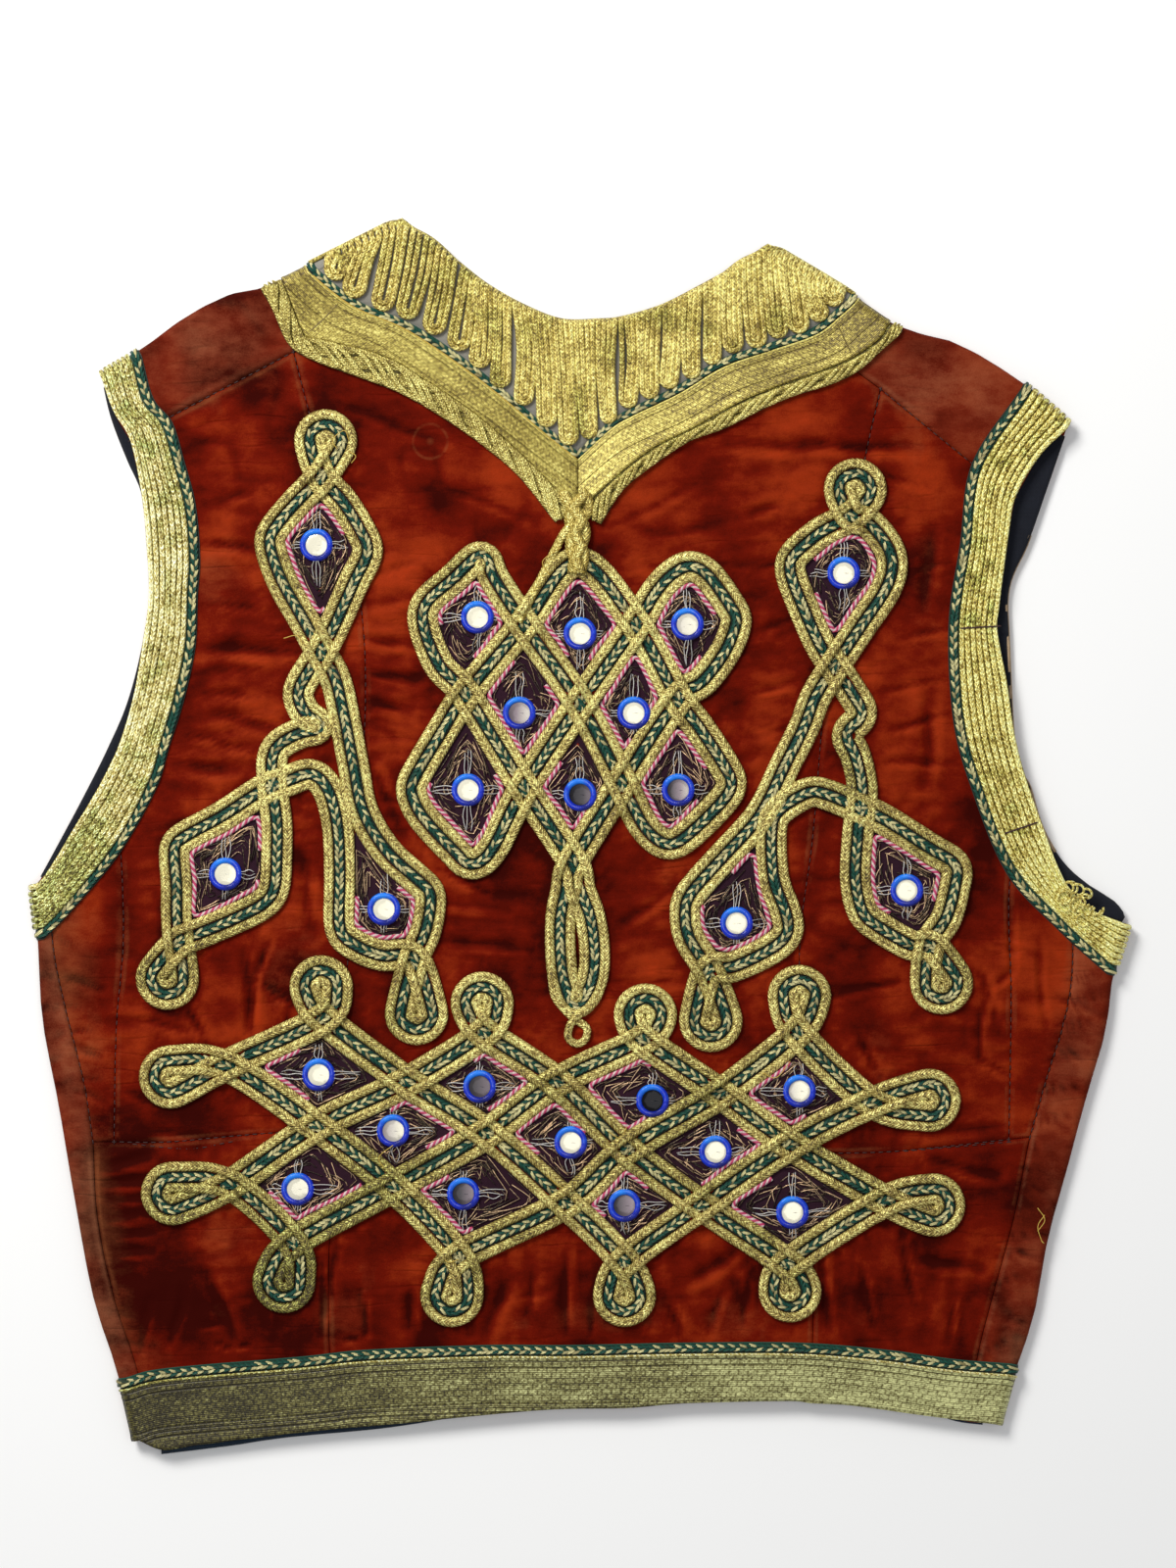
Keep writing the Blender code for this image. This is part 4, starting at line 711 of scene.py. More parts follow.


# %% [markdown]
# ### Velvet
#
# Velvet is a cut pile: it looks deep and dark when seen straight on and lighter where the pile leans,
# which is painted into its colour, and pinkish where it is rubbed. `nap` says how rubbed the pile is
# at each point, which is wear. `glow` is painted sheen and painted shade in soft patches:
# lighter where the pile leans to the light and darker where it leans away. `dip` follows
# how deep a crease is: painted shade in creases, folds and beside the braid, with painted highlights
# on the banks that face the light. Fine noise stands for the pile itself.

# %% Velvet
def velvet_finish(name, deep, full, lit, rubbed, stain=None):
    """Colour runs from deep to lit with cloudy noise, with the stored glow, which is painted
    sheen and shade, and with the stored dip, painted shade in creases; fine wrinkle lines
    are painted a little darker too. Then it runs to rubbed with the nap, which is wear.
    A stain, a place and a radius in metres, is a paler ring with a spot in its middle."""
    made = Finish(name, Roughness=0.8, Sheen_Weight=0.03, Sheen_Roughness=0.4, Specular_IOR_Level=0.03)
    made.shader.inputs["Sheen Tint"].default_value = (1.0, 0.40, 0.28, 1.0)
    here = made.place()
    cloud = made.noise(here, 38.0, 4.0, 0.6) - 0.5
    brushed = made.noise(made.scaled(here, 120.0, 210.0, 120.0), 1.0, 4.0, 0.65)
    pile = made.noise(here, 1900.0, 2.0, 0.7)
    glow, nap, dip = (made.stored(key) for key in ("glow", "nap", "dip"))
    wrinkle = made.noise(made.scaled(here, 15.0, 95.0, 30.0), 1.0, 2.0, 0.5)
    crease = made.range((wrinkle - 0.5).size(), 0.0, 0.045, 1.0, 0.0) * made.range(cloud, -0.05, 0.12)
    level = cloud + (brushed - 0.5) * 0.5 + (pile - 0.5) * 0.35 + 0.47
    # painted sheen and shade: glow lightens, and the wrinkle lines and dip darken
    level = level - crease * 0.07 + glow * 0.4 - dip * 0.42
    # the ramp holds shaded and lit copies of one red: deep is painted shade, lit and lit times 1.35 painted
    # sheen
    colour = made.ramp(level.clipped(), (0.0, deep), (0.42, full), (0.72, lit), (1.0, times(lit, 1.35)))
    uneven = cloud * 1.2 + (brushed - 0.5) * 0.9 + (pile - 0.5) * 0.5
    wear = nap * 1.2 + uneven * made.range(nap, 0.0, 0.3)
    if stain:
        middle, radius = stain
        flat = made.scaled(here, 1, 1, 0)
        away = made.add("VectorMath", {"operation": "DISTANCE"}, {0: flat, 1: middle}, output=1)
        ring = made.range((away - radius).size(), 0.0003, 0.0011, 1.0, 0.0)
        spot = made.range(away, 0.0, 0.0026, 0.8, 0.0)
        wear = wear + ring * 0.42 * made.range(brushed, 0.3, 0.6) + spot * (cloud + 0.5)
    colour = made.mix(made.range(wear, 0.1, 1.15, 0.0, 0.85), colour, rubbed)
    height = pile * 0.6 + brushed * 0.4 - crease
    return made.finish(Base_Color=colour, Normal=made.bump(height, 0.0004, 0.7),
                       Roughness=made.range(level, 0.2, 0.9, 0.8, 0.55))


STAIN = ((-0.0643, 0.1676, 0.0), 0.0074)
# for each velvet: deep, its painted shade; full, its red; lit, its painted sheen; rubbed, its worn pile
VELVET = velvet_finish("rust_velvet", (0.034, 0.0014, 0.0004), (0.130, 0.0050, 0.0006), (0.24, 0.020, 0.0025),
                       (0.24, 0.072, 0.024), STAIN)
VELVET_FRONT = velvet_finish("rust_velvet_front", (0.040, 0.003, 0.001), (0.135, 0.012, 0.0035),
                             (0.22, 0.033, 0.010), (0.27, 0.098, 0.045))

# %% [markdown]
# ### Metal thread
#
# The gold is thin metal strip wound on cotton and plied into cord. Two plies lie side by side, so
# the glints run in a herringbone: slanted one way on one side of the middle and the other way on the
# other. The glints are painted into the colour as stripes. `abs(across)` makes that mirror, and the
# fraction of it makes the repeat.

# %% Gold cord
def gold_finish(name, dark, middle, light, pitch=1.6, slant=0.8, half=2.2, flecks=0.5):
    """Stripes whose phase is along / pitch + slant * |across|, painted glints, broken up by flecks of
    noise, partly the thread's own specks and partly painted glints. Stitches cross the middle of the
    cord; between them the groove down the middle is painted dark, and the cord is painted darker towards
    both its sides: painted shade."""
    made = Finish(name, Specular_IOR_Level=0.5)
    along, across, chance = made.laid()
    here = made.place()
    broken = made.noise(here, 1300.0, 2.0, 0.6)
    cloud = made.noise(here, 160.0, 3.0, 0.6) - 0.5
    glint = made.noise(here, 760.0, 2.0, 0.6)
    tone = made.stored("tone")
    phase = along / pitch + across.size() * slant + (broken - 0.5) * 1.3 + chance
    stripe = 1 - phase.teeth()
    stitch = made.range((along / (pitch * 1.7) + cloud * 1.6).fraction(), 0.55, 0.75)
    uneven = across + (broken - 0.5) * 0.5 * half
    groove = made.range(uneven.size() + stitch * half, 0.04 * half, 0.26 * half)
    side = made.range(across.size(), 0.62 * half, 1.02 * half)
    fleck = made.range(glint, 0.34, 0.66)
    level = stripe * 0.46 + fleck * flecks + cloud * 0.6 + (tone - 0.5) * 0.9 + 0.06
    # painted shade: darker in the groove between the stitches and towards the sides
    level = level * (groove * 0.5 + 0.5) * (1 - side * 0.35)
    # light, and light times 1.5 at the top, are painted glints
    colour = made.ramp(level.clipped(), (0.08, dark), (0.42, middle), (0.68, light),
                       (0.92, times(light, 1.5)))
    tarnish = made.range(tone, 0.24, 0.46, 0.8, 0.0)
    colour = made.mix(tarnish, colour, (0.78, 1.0, 0.85), "MULTIPLY")
    height = stripe * 0.6 + broken * 0.4 + groove * 0.25
    return made.finish(Base_Color=colour, Metallic=made.range(level, 0.2, 0.8, 0.25, 0.6),
                       Roughness=made.range(glint, 0.3, 0.7, 0.52, 0.34),
                       Normal=made.bump(height, 0.0004, 0.9))


GOLD_CORD = gold_finish("gold_cord", (0.050, 0.028, 0.005), (0.35, 0.250, 0.050), (0.82, 0.70, 0.24))
NECK_GOLD = gold_finish("neck_gold_cord", (0.085, 0.048, 0.006), (0.46, 0.335, 0.055), (0.96, 0.82, 0.27),
                        pitch=1.5, half=1.3)
ROPE_GOLD = gold_finish("rope_gold_cord", (0.07, 0.042, 0.006), (0.40, 0.305, 0.055), (0.88, 0.79, 0.27),
                        pitch=1.3, half=1.1, flecks=0.35)
GOLD_BAND = gold_finish("armhole_gold_cord", (0.085, 0.055, 0.008), (0.54, 0.42, 0.095), (1.0, 0.95, 0.45),
                        pitch=2.0, slant=0.95, half=1.2, flecks=0.62)
WARM_BAND = gold_finish("armhole_gold_cord_right", (0.085, 0.048, 0.005), (0.52, 0.39, 0.060),
                        (1.0, 0.90, 0.30), pitch=2.0, slant=0.95, half=1.2, flecks=0.66)


# %% Ribbons
def ribbon_finish(name, dark, middle, light, pick, rows, shine=0.55, brick=0.1, rough=0.6):
    """Woven metal ribbon with threads one pick apart: short floats in a brick bond, larger bricks of
    them, and plain lines along it at the rows, which are distances across."""
    made = Finish(name, Specular_IOR_Level=0.5)
    lay = made.stored("lay", vector=True)
    along, across, _ = made.parts(lay)
    fine = made.noise(made.place(), 1300.0, 2.0, 0.6) - 0.5
    cloud = made.noise(made.scaled(lay, 0.05, 0.22, 0.0), 1.0, 3.0, 0.65)
    patches = made.noise(made.scaled(lay, 0.34, 0.62, 0.0), 1.0, 3.0, 0.7)
    thread = (across / pick + fine * 0.6).teeth()
    row = (across / pick).math("FLOOR")
    course = across / (pick * 3.0)
    float_length = (along / (pick * 3.2) + row * 0.37).teeth()
    weave = (1 - thread) * 0.55 + float_length * 0.3
    bricks = (along / (pick * 5.0) + course.math("FLOOR") * 0.5).teeth()
    joints = made.range(bricks.math("MAXIMUM", course.teeth()) + fine * 0.5, 0.72, 0.98)
    lines = None
    for place in rows:
        line = made.range((across - place).size(), 0.0, 0.55, 1.0, 0.0)
        lines = lines.math("MAXIMUM", line) if lines else line
    tone = made.stored("tone")
    level = weave * 0.55 + fine * 1.2 + (cloud - 0.5) * 0.8 + (patches - 0.5) * rough + (tone - 0.5) + 0.25
    level = level - lines * 0.26 - joints * brick
    colour = made.ramp(level.clipped(), (0.05, dark), (0.42, middle), (0.78, light), (1.0, times(light, 1.4)))
    height = weave * 0.5 + fine * 0.4 - lines * 0.8
    return made.finish(Base_Color=colour, Metallic=made.range(level, 0.2, 0.9, 0.25, shine), Roughness=0.42,
                       Normal=made.bump(height, 0.00035, 0.9))


GOLD_RIBBON = ribbon_finish("neck_ribbon", (0.09, 0.058, 0.009), (0.44, 0.345, 0.060), (1.0, 0.90, 0.29),
                            pick=0.7, rows=(0.9, 3.6, 12.0), brick=0.22)
OLIVE_RIBBON = ribbon_finish("hem_ribbon", (0.020, 0.015, 0.002), (0.150, 0.130, 0.030), (0.50, 0.50, 0.22),
                             pick=0.8, rows=(2.4, 5.2, 20.5, 22.5, 24.5), shine=0.4, brick=0.3, rough=0.9)


# %% Chain stitch and plain cloth
def stitch_finish(name, dark, light):
    """Chain stitches: the tone picks the thread's colour, and fine lines run along each stitch. Each stitch
    is painted darker towards its edges: painted shade between the stitches.
    """
    made = Finish(name, Roughness=0.5, Specular_IOR_Level=0.4)
    tone = made.stored("tone")
    fine = made.noise(made.place(), 1800.0, 2.0, 0.6)
    _, across, _ = made.laid()
    strands = (across / 0.42).teeth()
    colour = made.ramp(tone.clipped(), (0.18, dark), (0.4, (0.040, 0.042, 0.013)),
                       (0.55, (0.26, 0.21, 0.075)), (0.9, light))
    colour = made.mix(made.range(fine + strands * 0.3, 0.35, 0.85, 0.36, 0.0), colour, (0.012, 0.012, 0.006))
    # painted shade: each stitch darkens towards its edges
    colour = made.mix(made.range(across.size(), 0.40, 0.66, 0.0, 0.8), colour, (0.008, 0.014, 0.008))
    return made.finish(Base_Color=colour, Metallic=made.range(tone, 0.4, 1.0, 0.0, 0.35),
                       Normal=made.bump(strands + fine, 0.0003, 0.8))


def cloth_finish(name, warp, weft, thread=0.55, slubs=0.5):
    """Plain weave: two sets of threads cross, each a fraction of the object's own coordinates."""
    made = Finish(name, Roughness=0.9, Sheen_Weight=0.1, Specular_IOR_Level=0.15)
    here = made.place()
    x, y, _ = made.parts(made.scaled(here, 1000.0 / thread, 1000.0 / thread, 0.0))
    fine = made.noise(here, 700.0, 3.0, 0.6)
    cloud = made.noise(here, 60.0, 3.0, 0.6)
    over = (x.math("FLOOR") + y.math("FLOOR")).math("MODULO", 2.0).size()
    share = (over * 0.4 + (fine - 0.5) * slubs + 0.3).clipped()
    colour = made.mix(share, warp, weft)
    colour = made.mix(made.range(cloud, 0.3, 0.75, 0.5, 0.0), colour, times(warp, 0.45))
    height = (1 - x.teeth()) + (1 - y.teeth())
    return made.finish(Base_Color=colour, Normal=made.bump(height, 0.00025, 0.6))


CHAIN_STITCH = stitch_finish("green_and_gold_chain", (0.004, 0.085, 0.055), (0.98, 0.90, 0.44))
NAVY = cloth_finish("navy_lining", (0.008, 0.009, 0.014), (0.016, 0.019, 0.030))
HEM_NAVY = cloth_finish("hem_navy_lining", (0.010, 0.020, 0.036), (0.026, 0.050, 0.085))
TAN_BINDING = cloth_finish("tan_binding", (0.40, 0.27, 0.15), (0.68, 0.50, 0.33))
GREY_CLOTH = cloth_finish("grey_neck_cloth", (0.22, 0.21, 0.18), (0.36, 0.34, 0.29))
AUBERGINE = cloth_finish("aubergine_cloth", (0.018, 0.003, 0.009), (0.040, 0.009, 0.024))


# %% Thread, silk and glass
def plain_finish(name, colour, spread, scale, **fixed):
    """One colour, darkened and lightened by fine noise and by the stored tone."""
    made = Finish(name, **fixed)
    fine = made.noise(made.place(), scale, 2.0, 0.6)
    share = made.range(fine + made.stored("tone") - 0.5, 0.2, 0.8)
    return made.finish(Base_Color=made.mix(share, times(colour, 1 - spread), colour),
                       Normal=made.bump(fine, 0.0002, 0.6))


COPPER = plain_finish("copper_bullion", (0.66, 0.44, 0.25), 0.95, 1500.0, Metallic=0.5, Roughness=0.36)
SILVER = plain_finish("silver_thread", (0.55, 0.53, 0.50), 0.85, 1400.0, Metallic=0.3, Roughness=0.4)
YELLOW = plain_finish("yellow_thread", (0.62, 0.42, 0.06), 0.4, 1200.0, Roughness=0.55)
SEWING = plain_finish("sewing_thread", (0.045, 0.012, 0.010), 0.4, 1200.0, Roughness=0.7)


def silk_finish():
    """Blue silk wound round the mirror's ring: threads run across it, so the lines follow the length
    along the ring. The stored tone is a painted highlight and painted shade: it runs the colour from dark
    blue to azure."""
    made = Finish("blue_silk_ring", Roughness=0.3, Specular_IOR_Level=0.3, Coat_Weight=0.22,
                  Coat_Roughness=0.15)
    along, _, _ = made.laid()
    lines = (along / 0.34).teeth()
    cloud = made.noise(made.place(), 420.0, 2.0, 0.5)
    level = made.stored("tone") + (cloud - 0.5) * 0.4 + lines * 0.1
    colour = made.ramp(level.clipped(), (0.05, (0.0008, 0.004, 0.11)), (0.45, (0.0020, 0.022, 0.52)),
                       (0.88, (0.015, 0.24, 0.90)))
    return made.finish(Base_Color=colour, Normal=made.bump(lines, 0.00012, 0.6))


def mirror_finish():
    """Silvered glass: the tone is a painted reflection, what each mirror shows of the room, from black to
    ivory.
    """
    made = Finish("mirror_glass", Roughness=0.16, Specular_IOR_Level=0.25, Metallic=0.25)
    tone = made.stored("tone")
    spotted = made.noise(made.place(), 700.0, 2.0, 0.5)
    colour = made.ramp(tone.clipped(), (0.0, (0.004, 0.004, 0.006)), (0.25, (0.055, 0.05, 0.055)),
                       (0.5, (0.25, 0.20, 0.22)), (0.75, (0.58, 0.54, 0.47)), (0.95, (0.86, 0.82, 0.64)))
    colour = made.mix(made.range(spotted, 0.62, 0.75, 0.0, 0.18), colour, (0.1, 0.08, 0.06))
    return made.finish(Base_Color=colour)


def twist_finish():
    """Pink and white cord: two plies, so the colour changes with along + slant * across."""
    made = Finish("pink_and_white_cord", Roughness=0.6)
    along, across, _ = made.laid()
    ply = ((along + across * 1.3) / 3.1).fraction()
    fine = made.noise(made.place(), 1500.0, 2.0, 0.6)
    colour = made.mix(made.range(ply, 0.52, 0.6), (0.52, 0.040, 0.13), (0.72, 0.55, 0.52))
    colour = made.mix(made.range(fine, 0.3, 0.62, 0.5, 0.0), colour, (0.09, 0.015, 0.03))
    grooves = ((ply - 0.5).size() - 0.25).size() * -1.0
    return made.finish(Base_Color=colour, Normal=made.bump(grooves, 0.0004, 0.8))


SILK, MIRROR, PINK_CORD = silk_finish(), mirror_finish(), twist_finish()
print("materials:", len(bpy.data.materials))

# %% [markdown]
# ## Routes of the braid
#
# A braid here is one long ribbon of cords laid down in a closed tour, like an endless knot: it runs
# down one diagonal, rounds an end loop and comes back up the next. Two tours make the lower lattice,
# one makes the centre lattice with its tail, and one makes each pendant. A tour is written as the
# names of the crossings in the order that the braid meets them, with a star where it rounds a loop.

# %% Tours
FALLING = ("upper0* middle0 lower1 bottom1* lower2 middle2 upper3 top3* upper4* middle3 lower3 bottom2* "
           "lower2 middle1 upper1 top0*")
RISING = ("lower0* bottom0* lower1 middle1 upper2 top2* upper3 middle3 lower4* bottom3* lower3 middle2 "
          "upper2 top1* upper1 middle0")
ROWS = dict(zip(("top", "upper", "middle", "lower", "bottom"), LATTICE))
CROSSINGS = {f"{row}{i}": point for row, points in ROWS.items() for i, point in enumerate(points)}
LOOP_AT = {f"top{i}": point for i, point in enumerate(LOOPS_TOP)}
LOOP_AT.update({f"bottom{i}": point for i, point in enumerate(LOOPS_BOTTOM)})
LOOP_AT.update(zip(("upper0", "lower0", "upper4", "lower4"), LOOPS_LEFT + LOOPS_RIGHT))


def loop_arc(before, crossing, middle):
    """Five places round an end loop, entered on the side that the braid comes from: circle points at
    105, 60, 0, -60 and -105 degrees from straight out."""
    before, crossing, middle = (np.array(p, float) for p in (before, crossing, middle))
    out = unit(middle - crossing)
    side = np.array([-out[1], out[0]])
    side *= np.sign(side @ (crossing - before))
    turn = np.radians([105, 60, 0, -60, -105])[:, None]
    return list(middle + LOOP_RADIUS * (np.cos(turn) * out + np.sin(turn) * side))


def toured(steps):
    """Points of a closed tour from crossing names."""
    names = steps.split()
    points = []
    for i, name in enumerate(names):
        crossing = CROSSINGS[name.strip("*")]
        points.append(crossing)
        if name.endswith("*"):
            before = CROSSINGS[names[i - 1].strip("*")]
            points += loop_arc(before, crossing, LOOP_AT[name[:-1]]) + [crossing]
    return points


def pendant_tour(pendant):
    """Down the outer line, round the low loop, back along the arch, round the next and up the inner."""
    outer, inner, arch = pendant["outer"], pendant["inner"], pendant["arch"]
    top, low, near = pendant["loops"]
    points = list(outer) + loop_arc(outer[-2], outer[-1], low) + arch[::-1]
    points += loop_arc(arch[1], arch[0], near) + inner[::-1] + loop_arc(inner[1], inner[0], top)
    return points


def centre_tour(at):
    """Twice through each crossing of the centre lattice, round its four corners and down its tail."""
    return [at["top"], at["upper_right"], at["right"], *CORNER_LOW_RIGHT, at["lower_right"], at["middle"],
            at["upper_left"], *CORNER_TOP_LEFT, at["left"], at["lower_left"], at["bottom"], *TAIL[::-1],
            at["bottom"], at["lower_right"], at["right"], *CORNER_TOP_RIGHT[::-1], at["upper_right"],
            at["middle"], at["lower_left"], *CORNER_LOW_LEFT[::-1], at["left"], at["upper_left"]]


BRAIDS = {name: curve(points, closed=True) for name, points in (
    ("lower_falling", toured(FALLING)), ("lower_rising", toured(RISING)), ("centre", centre_tour(CENTRE)),
    ("pendant_left", pendant_tour(PENDANT_LEFT)), ("pendant_right", pendant_tour(PENDANT_RIGHT)))}
BRAID_POINTS = np.vstack([line[::2] for line in BRAIDS.values()])
print("braid, in metres:", round(sum(STEP * len(line) for line in BRAIDS.values()) * MM, 2))

# %% Which strand lies on top
# The sign is the slope of the strand that goes over: +1 climbs to the right, -1 falls to the right.
CLIMBING = ("upper3", "upper4", "middle3", "lower3", "lower4", "top0", "middle2")
PASSES = [(place, 1 if name in CLIMBING else -1) for name, place in CROSSINGS.items()]
PASSES += [(place, -1) for name, place in CENTRE.items() if name != "top"]
PASSES += zip(PENDANT_LEFT["crossings"] + PENDANT_RIGHT["crossings"], (1, -1, 1, -1, -1, 1, -1, 1))


def meetings():
    """For each crossing, the two strands through it: tour, sample number and unit direction."""
    found = []
    for place, sign in PASSES:
        place = np.array(place, float)
        through = []
        for name, line in BRAIDS.items():
            away = np.linalg.norm(line - place, axis=1)
            near = (away < 4.0) & (away <= np.roll(away, 1)) & (away < np.roll(away, -1))
            along = direction(line, closed=True)
            through += [(name, i, along[i]) for i in np.flatnonzero(near)]
        top = 0 if np.sign(np.prod(through[0][2])) == sign else 1
        found.append((place, through[top], through[1 - top]))
    return found


MEETINGS = meetings()
print("crossings:", len(MEETINGS))


def lifts(name, path, side):
    """How far the points of a tour's cord are lifted over the cords that they cross. side is 1 for the
    cord on the right of the tour and -1 for the one on its left: four pairs of cords cross where two
    braids meet, and in one of the four the lower braid's cord comes over, as in darning. For the chain
    in the middle side is 0: it sinks under the cords of the other braid, and the lower one sinks more."""
    count = len(path)
    raised = np.zeros(count)
    for place, top, bottom in MEETINGS:
        for mine, other, is_top in ((top, bottom, True), (bottom, top, False)):
            if mine[0] != name:
                continue
            steps = (np.arange(count) - mine[1] + count // 2) % count - count // 2
            near = np.abs(steps) * STEP < 20.0
            off = (path - place) @ (other[2] @ SPIN)
            for other_side in (1, -1):
                reach = 1 - smooth(np.abs(off - other_side * CORD_OFFSET), 2.6, 5.4)
                swapped = (side, other_side) == ((1, -1) if is_top else (-1, 1))
                if side == 0:
                    raised = np.minimum(raised, -0.7 * reach * near)
                elif is_top != swapped:
                    raised = np.maximum(raised, CROSSING_RISE * reach * near)
            if side == 0 and not is_top:
                raised = np.minimum(raised, -1.0 * (1 - smooth(np.abs(off), 4.0, 7.0)) * near)
    return raised

# %% [markdown]
# ## The velvet panels
#
# Old velvet that has been quilted and worn is never flat: it has soft swells, puckers where the braid
# pulls it, and creases pressed in where it was folded. A cloth simulation would not put them in their
# places, so each crease is a row of a table, and broad noise adds the swells. Every panel is a
# Coons patch, a grid blended from its four sewn edges, and all grids of a panel are welded.

# %% Creases: x0, y0, x1, y1, width, depth
CREASES = [
    (-164, -211, -154, -211, 1.6, 0.8), (-157, -218, -150, -221, 1.8, 1.0),
    (-150, -221, -141, -219.5, 1.6, 0.9), (-105, -218, -91, -215.5, 1.7, 1.0),
    (-132, -213, -122, -211, 1.4, 0.5), (-162, 124, -139, 121, 3.5, 1.0), (-164, 79, -121, 77, 4.0, 1.2),
    (-159, 50, -134, 45, 3.5, 1.0), (-176, 29, -149, 27, 3.5, 1.0), (-92, 98, -72, 100, 3.0, 0.8),
    (-91, 84, -70, 80, 3.0, 1.0), (-91, 70, -68, 66, 3.0, 0.9), (-90, 57, -72, 52, 3.0, 0.8),
    (-89, 28, -76, -1, 3.5, 1.0), (60, 168, 103, 166, 4.0, 1.0), (103, 166, 146, 165, 4.0, 1.0),
    (74, 138, 86, 140, 3.0, 0.8), (-144, -52, -142, -86, 3.5, 1.2), (-120, -10, -114, -44, 3.5, 0.8),
    (-73, -196, -74, -212, 3.5, 1.2), (-33, -196, -41, -214, 4.0, 1.2), (38, -203, 43, -214, 3.5, 1.0),
    (46, -194, 66, -180, 4.0, 1.0), (-6, -180, -7, -214, 3.0, 1.2), (150, -140, 178, -146, 3.5, 1.0),
    (146, -182, 172, -188, 3.5, 0.9), (-204, -143, -186, -141, 2.5, 1.0), (-204, -150, -184, -149, 2.5, 1.1),
    (-203, -157, -186, -156, 2.5, 0.9), (-202, -164, -183, -164, 2.5, 1.1),
    (-201, -172, -185, -172, 2.5, 0.9), (-200, -180, -183, -180, 2.5, 1.0), (150, 130, 146, 96, 4.0, 0.8),
    (150, 60, 148, 20, 4.0, 0.9), (-160, -190, -150, -215, 4.0, 1.0), (-164, 60, -140, 57, 2.2, 0.6),
    (-168, 42, -140, 34, 2.2, 0.7), (-166, 68, -136, 70, 2.0, 0.5), (-160, 98, -138, 95, 2.4, 0.6),
    (-158, 142, -140, 146, 2.6, 0.6), (-186, 2, -160, 4, 2.4, 0.7), (-88, 44, -72, 40, 2.0, 0.7),
    (-86, 112, -70, 116, 2.2, 0.6), (-86, 18, -74, 12, 2.2, 0.7), (-64, -14, -40, -26, 2.4, 0.8),
    (-60, -30, -30, -34, 2.6, 0.7), (18, -40, 40, -22, 2.6, 0.7), (14, -62, 42, -66, 2.4, 0.7),
    (-56, -46, -22, -50, 2.4, 0.7), (74, 60, 92, 66, 2.2, 0.8), (74, 46, 90, 44, 2.2, 0.7),
    (78, 88, 90, 92, 2.2, 0.6), (74, 112, 88, 116, 2.2, 0.6), (132, 44, 158, 50, 2.4, 0.8),
    (130, 60, 156, 66, 2.2, 0.6), (136, 84, 160, 88, 2.4, 0.7), (126, 30, 160, 30, 2.2, 0.7),
    (140, 112, 158, 118, 2.2, 0.6), (120, 156, 150, 148, 2.6, 0.7), (-106, 186, -60, 168, 3.2, 0.6),
    (-60, 150, -20, 132, 2.8, 0.5), (10, 132, 50, 150, 2.8, 0.6), (-140, -64, -118, -74, 2.4, 0.8),
    (-128, -92, -122, -66, 2.6, 0.8), (92, -58, 86, -30, 2.6, 0.7), (104, -70, 136, -64, 2.6, 0.7),
    (118, -86, 128, -104, 2.6, 0.8), (-172, -70, -160, -92, 2.6, 0.8), (-194, -60, -176, -64, 2.4, 0.7),
    (-190, -80, -170, -84, 2.2, 0.6), (-196, -110, -176, -118, 2.4, 0.8), (-190, -128, -160, -130, 2.4, 0.7),
    (170, -60, 182, -90, 2.6, 0.7), (168, -96, 184, -104, 2.4, 0.7), (158, -128, 182, -126, 2.4, 0.7),
    (-110, -206, -104, -178, 2.6, 0.8), (-96, -196, -92, -216, 2.4, 0.9), (-60, -212, -54, -208, 2.4, 0.8),
    (-24, -206, -20, -190, 2.4, 0.9), (4, -214, 8, -188, 2.4, 1.0), (56, -214, 62, -196, 2.6, 0.9),
    (70, -210, 74, -188, 2.4, 0.9), (108, -214, 104, -180, 2.6, 0.9), (120, -186, 126, -212, 2.6, 0.9),
    (138, -170, 144, -206, 2.6, 0.8), (-134, -212, -138, -186, 2.6, 0.9), (-170, -196, -176, -218, 2.6, 0.9),
    (-186, -200, -190, -222, 2.4, 0.8), (160, -200, 158, -220, 2.4, 0.8), (-28, -200, -14, -196, 2.2, 0.7),
    (20, -196, 30, -212, 2.4, 0.9), (-50, -196, -46, -214, 2.4, 0.8), (206, -70, 224, -78, 2.6, 0.7),
    (204, -92, 220, -98, 2.4, 0.7), (196, -120, 210, -128, 2.4, 0.7), (-222, -60, -204, -66, 2.4, 0.6),
    (-220, -90, -206, -96, 2.4, 0.7), (-216, -110, -204, -114, 2.2, 0.6), (-134, -47, -141, -63, 2.2, 1.2),
    (-141, -63, -143, -85, 2.2, 1.2), (-110, -185, -111, -216, 1.8, 1.0), (188, -150, 202, -156, 2.4, 0.7),
    (184, -26, 185, -58, 2.4, 0.6), (173, -62, 171, -100, 2.6, 0.9), (185, -60, 176, -66, 2.2, 0.9),
    (178, -48, 187, -52, 2.0, 0.7), (196, -46, 199, -84, 2.4, 0.5), (184, -180, 198, -184, 2.4, 0.7),
    (180, -206, 192, -212, 2.4, 0.6),
]
# Seams that run along the panels without a cut, stitched down through the wadding
QUILTED = [[(-191, -134), (-168, -136), (-150, -133)], [(-116, -131), (-104, -132)],
           [(140, -137), (184, -133)]]
# Where the cloth is gathered in short ridges that run across: x, y, radius across, radius along, amount
GATHERS = [
    (-82, 50, 15, 62, 1.0), (-150, 48, 22, 34, 1.0), (82, 70, 12, 60, 0.9), (150, 60, 20, 60, 0.7),
    (-150, 120, 20, 40, 0.5), (-50, -28, 34, 22, 0.7), (32, -46, 24, 26, 0.8), (0, 140, 60, 26, 0.25),
    (150, -100, 30, 30, 0.5), (-180, -80, 24, 40, 0.6), (-196, -160, 14, 40, 0.9), (176, -80, 16, 50, 0.7),
]
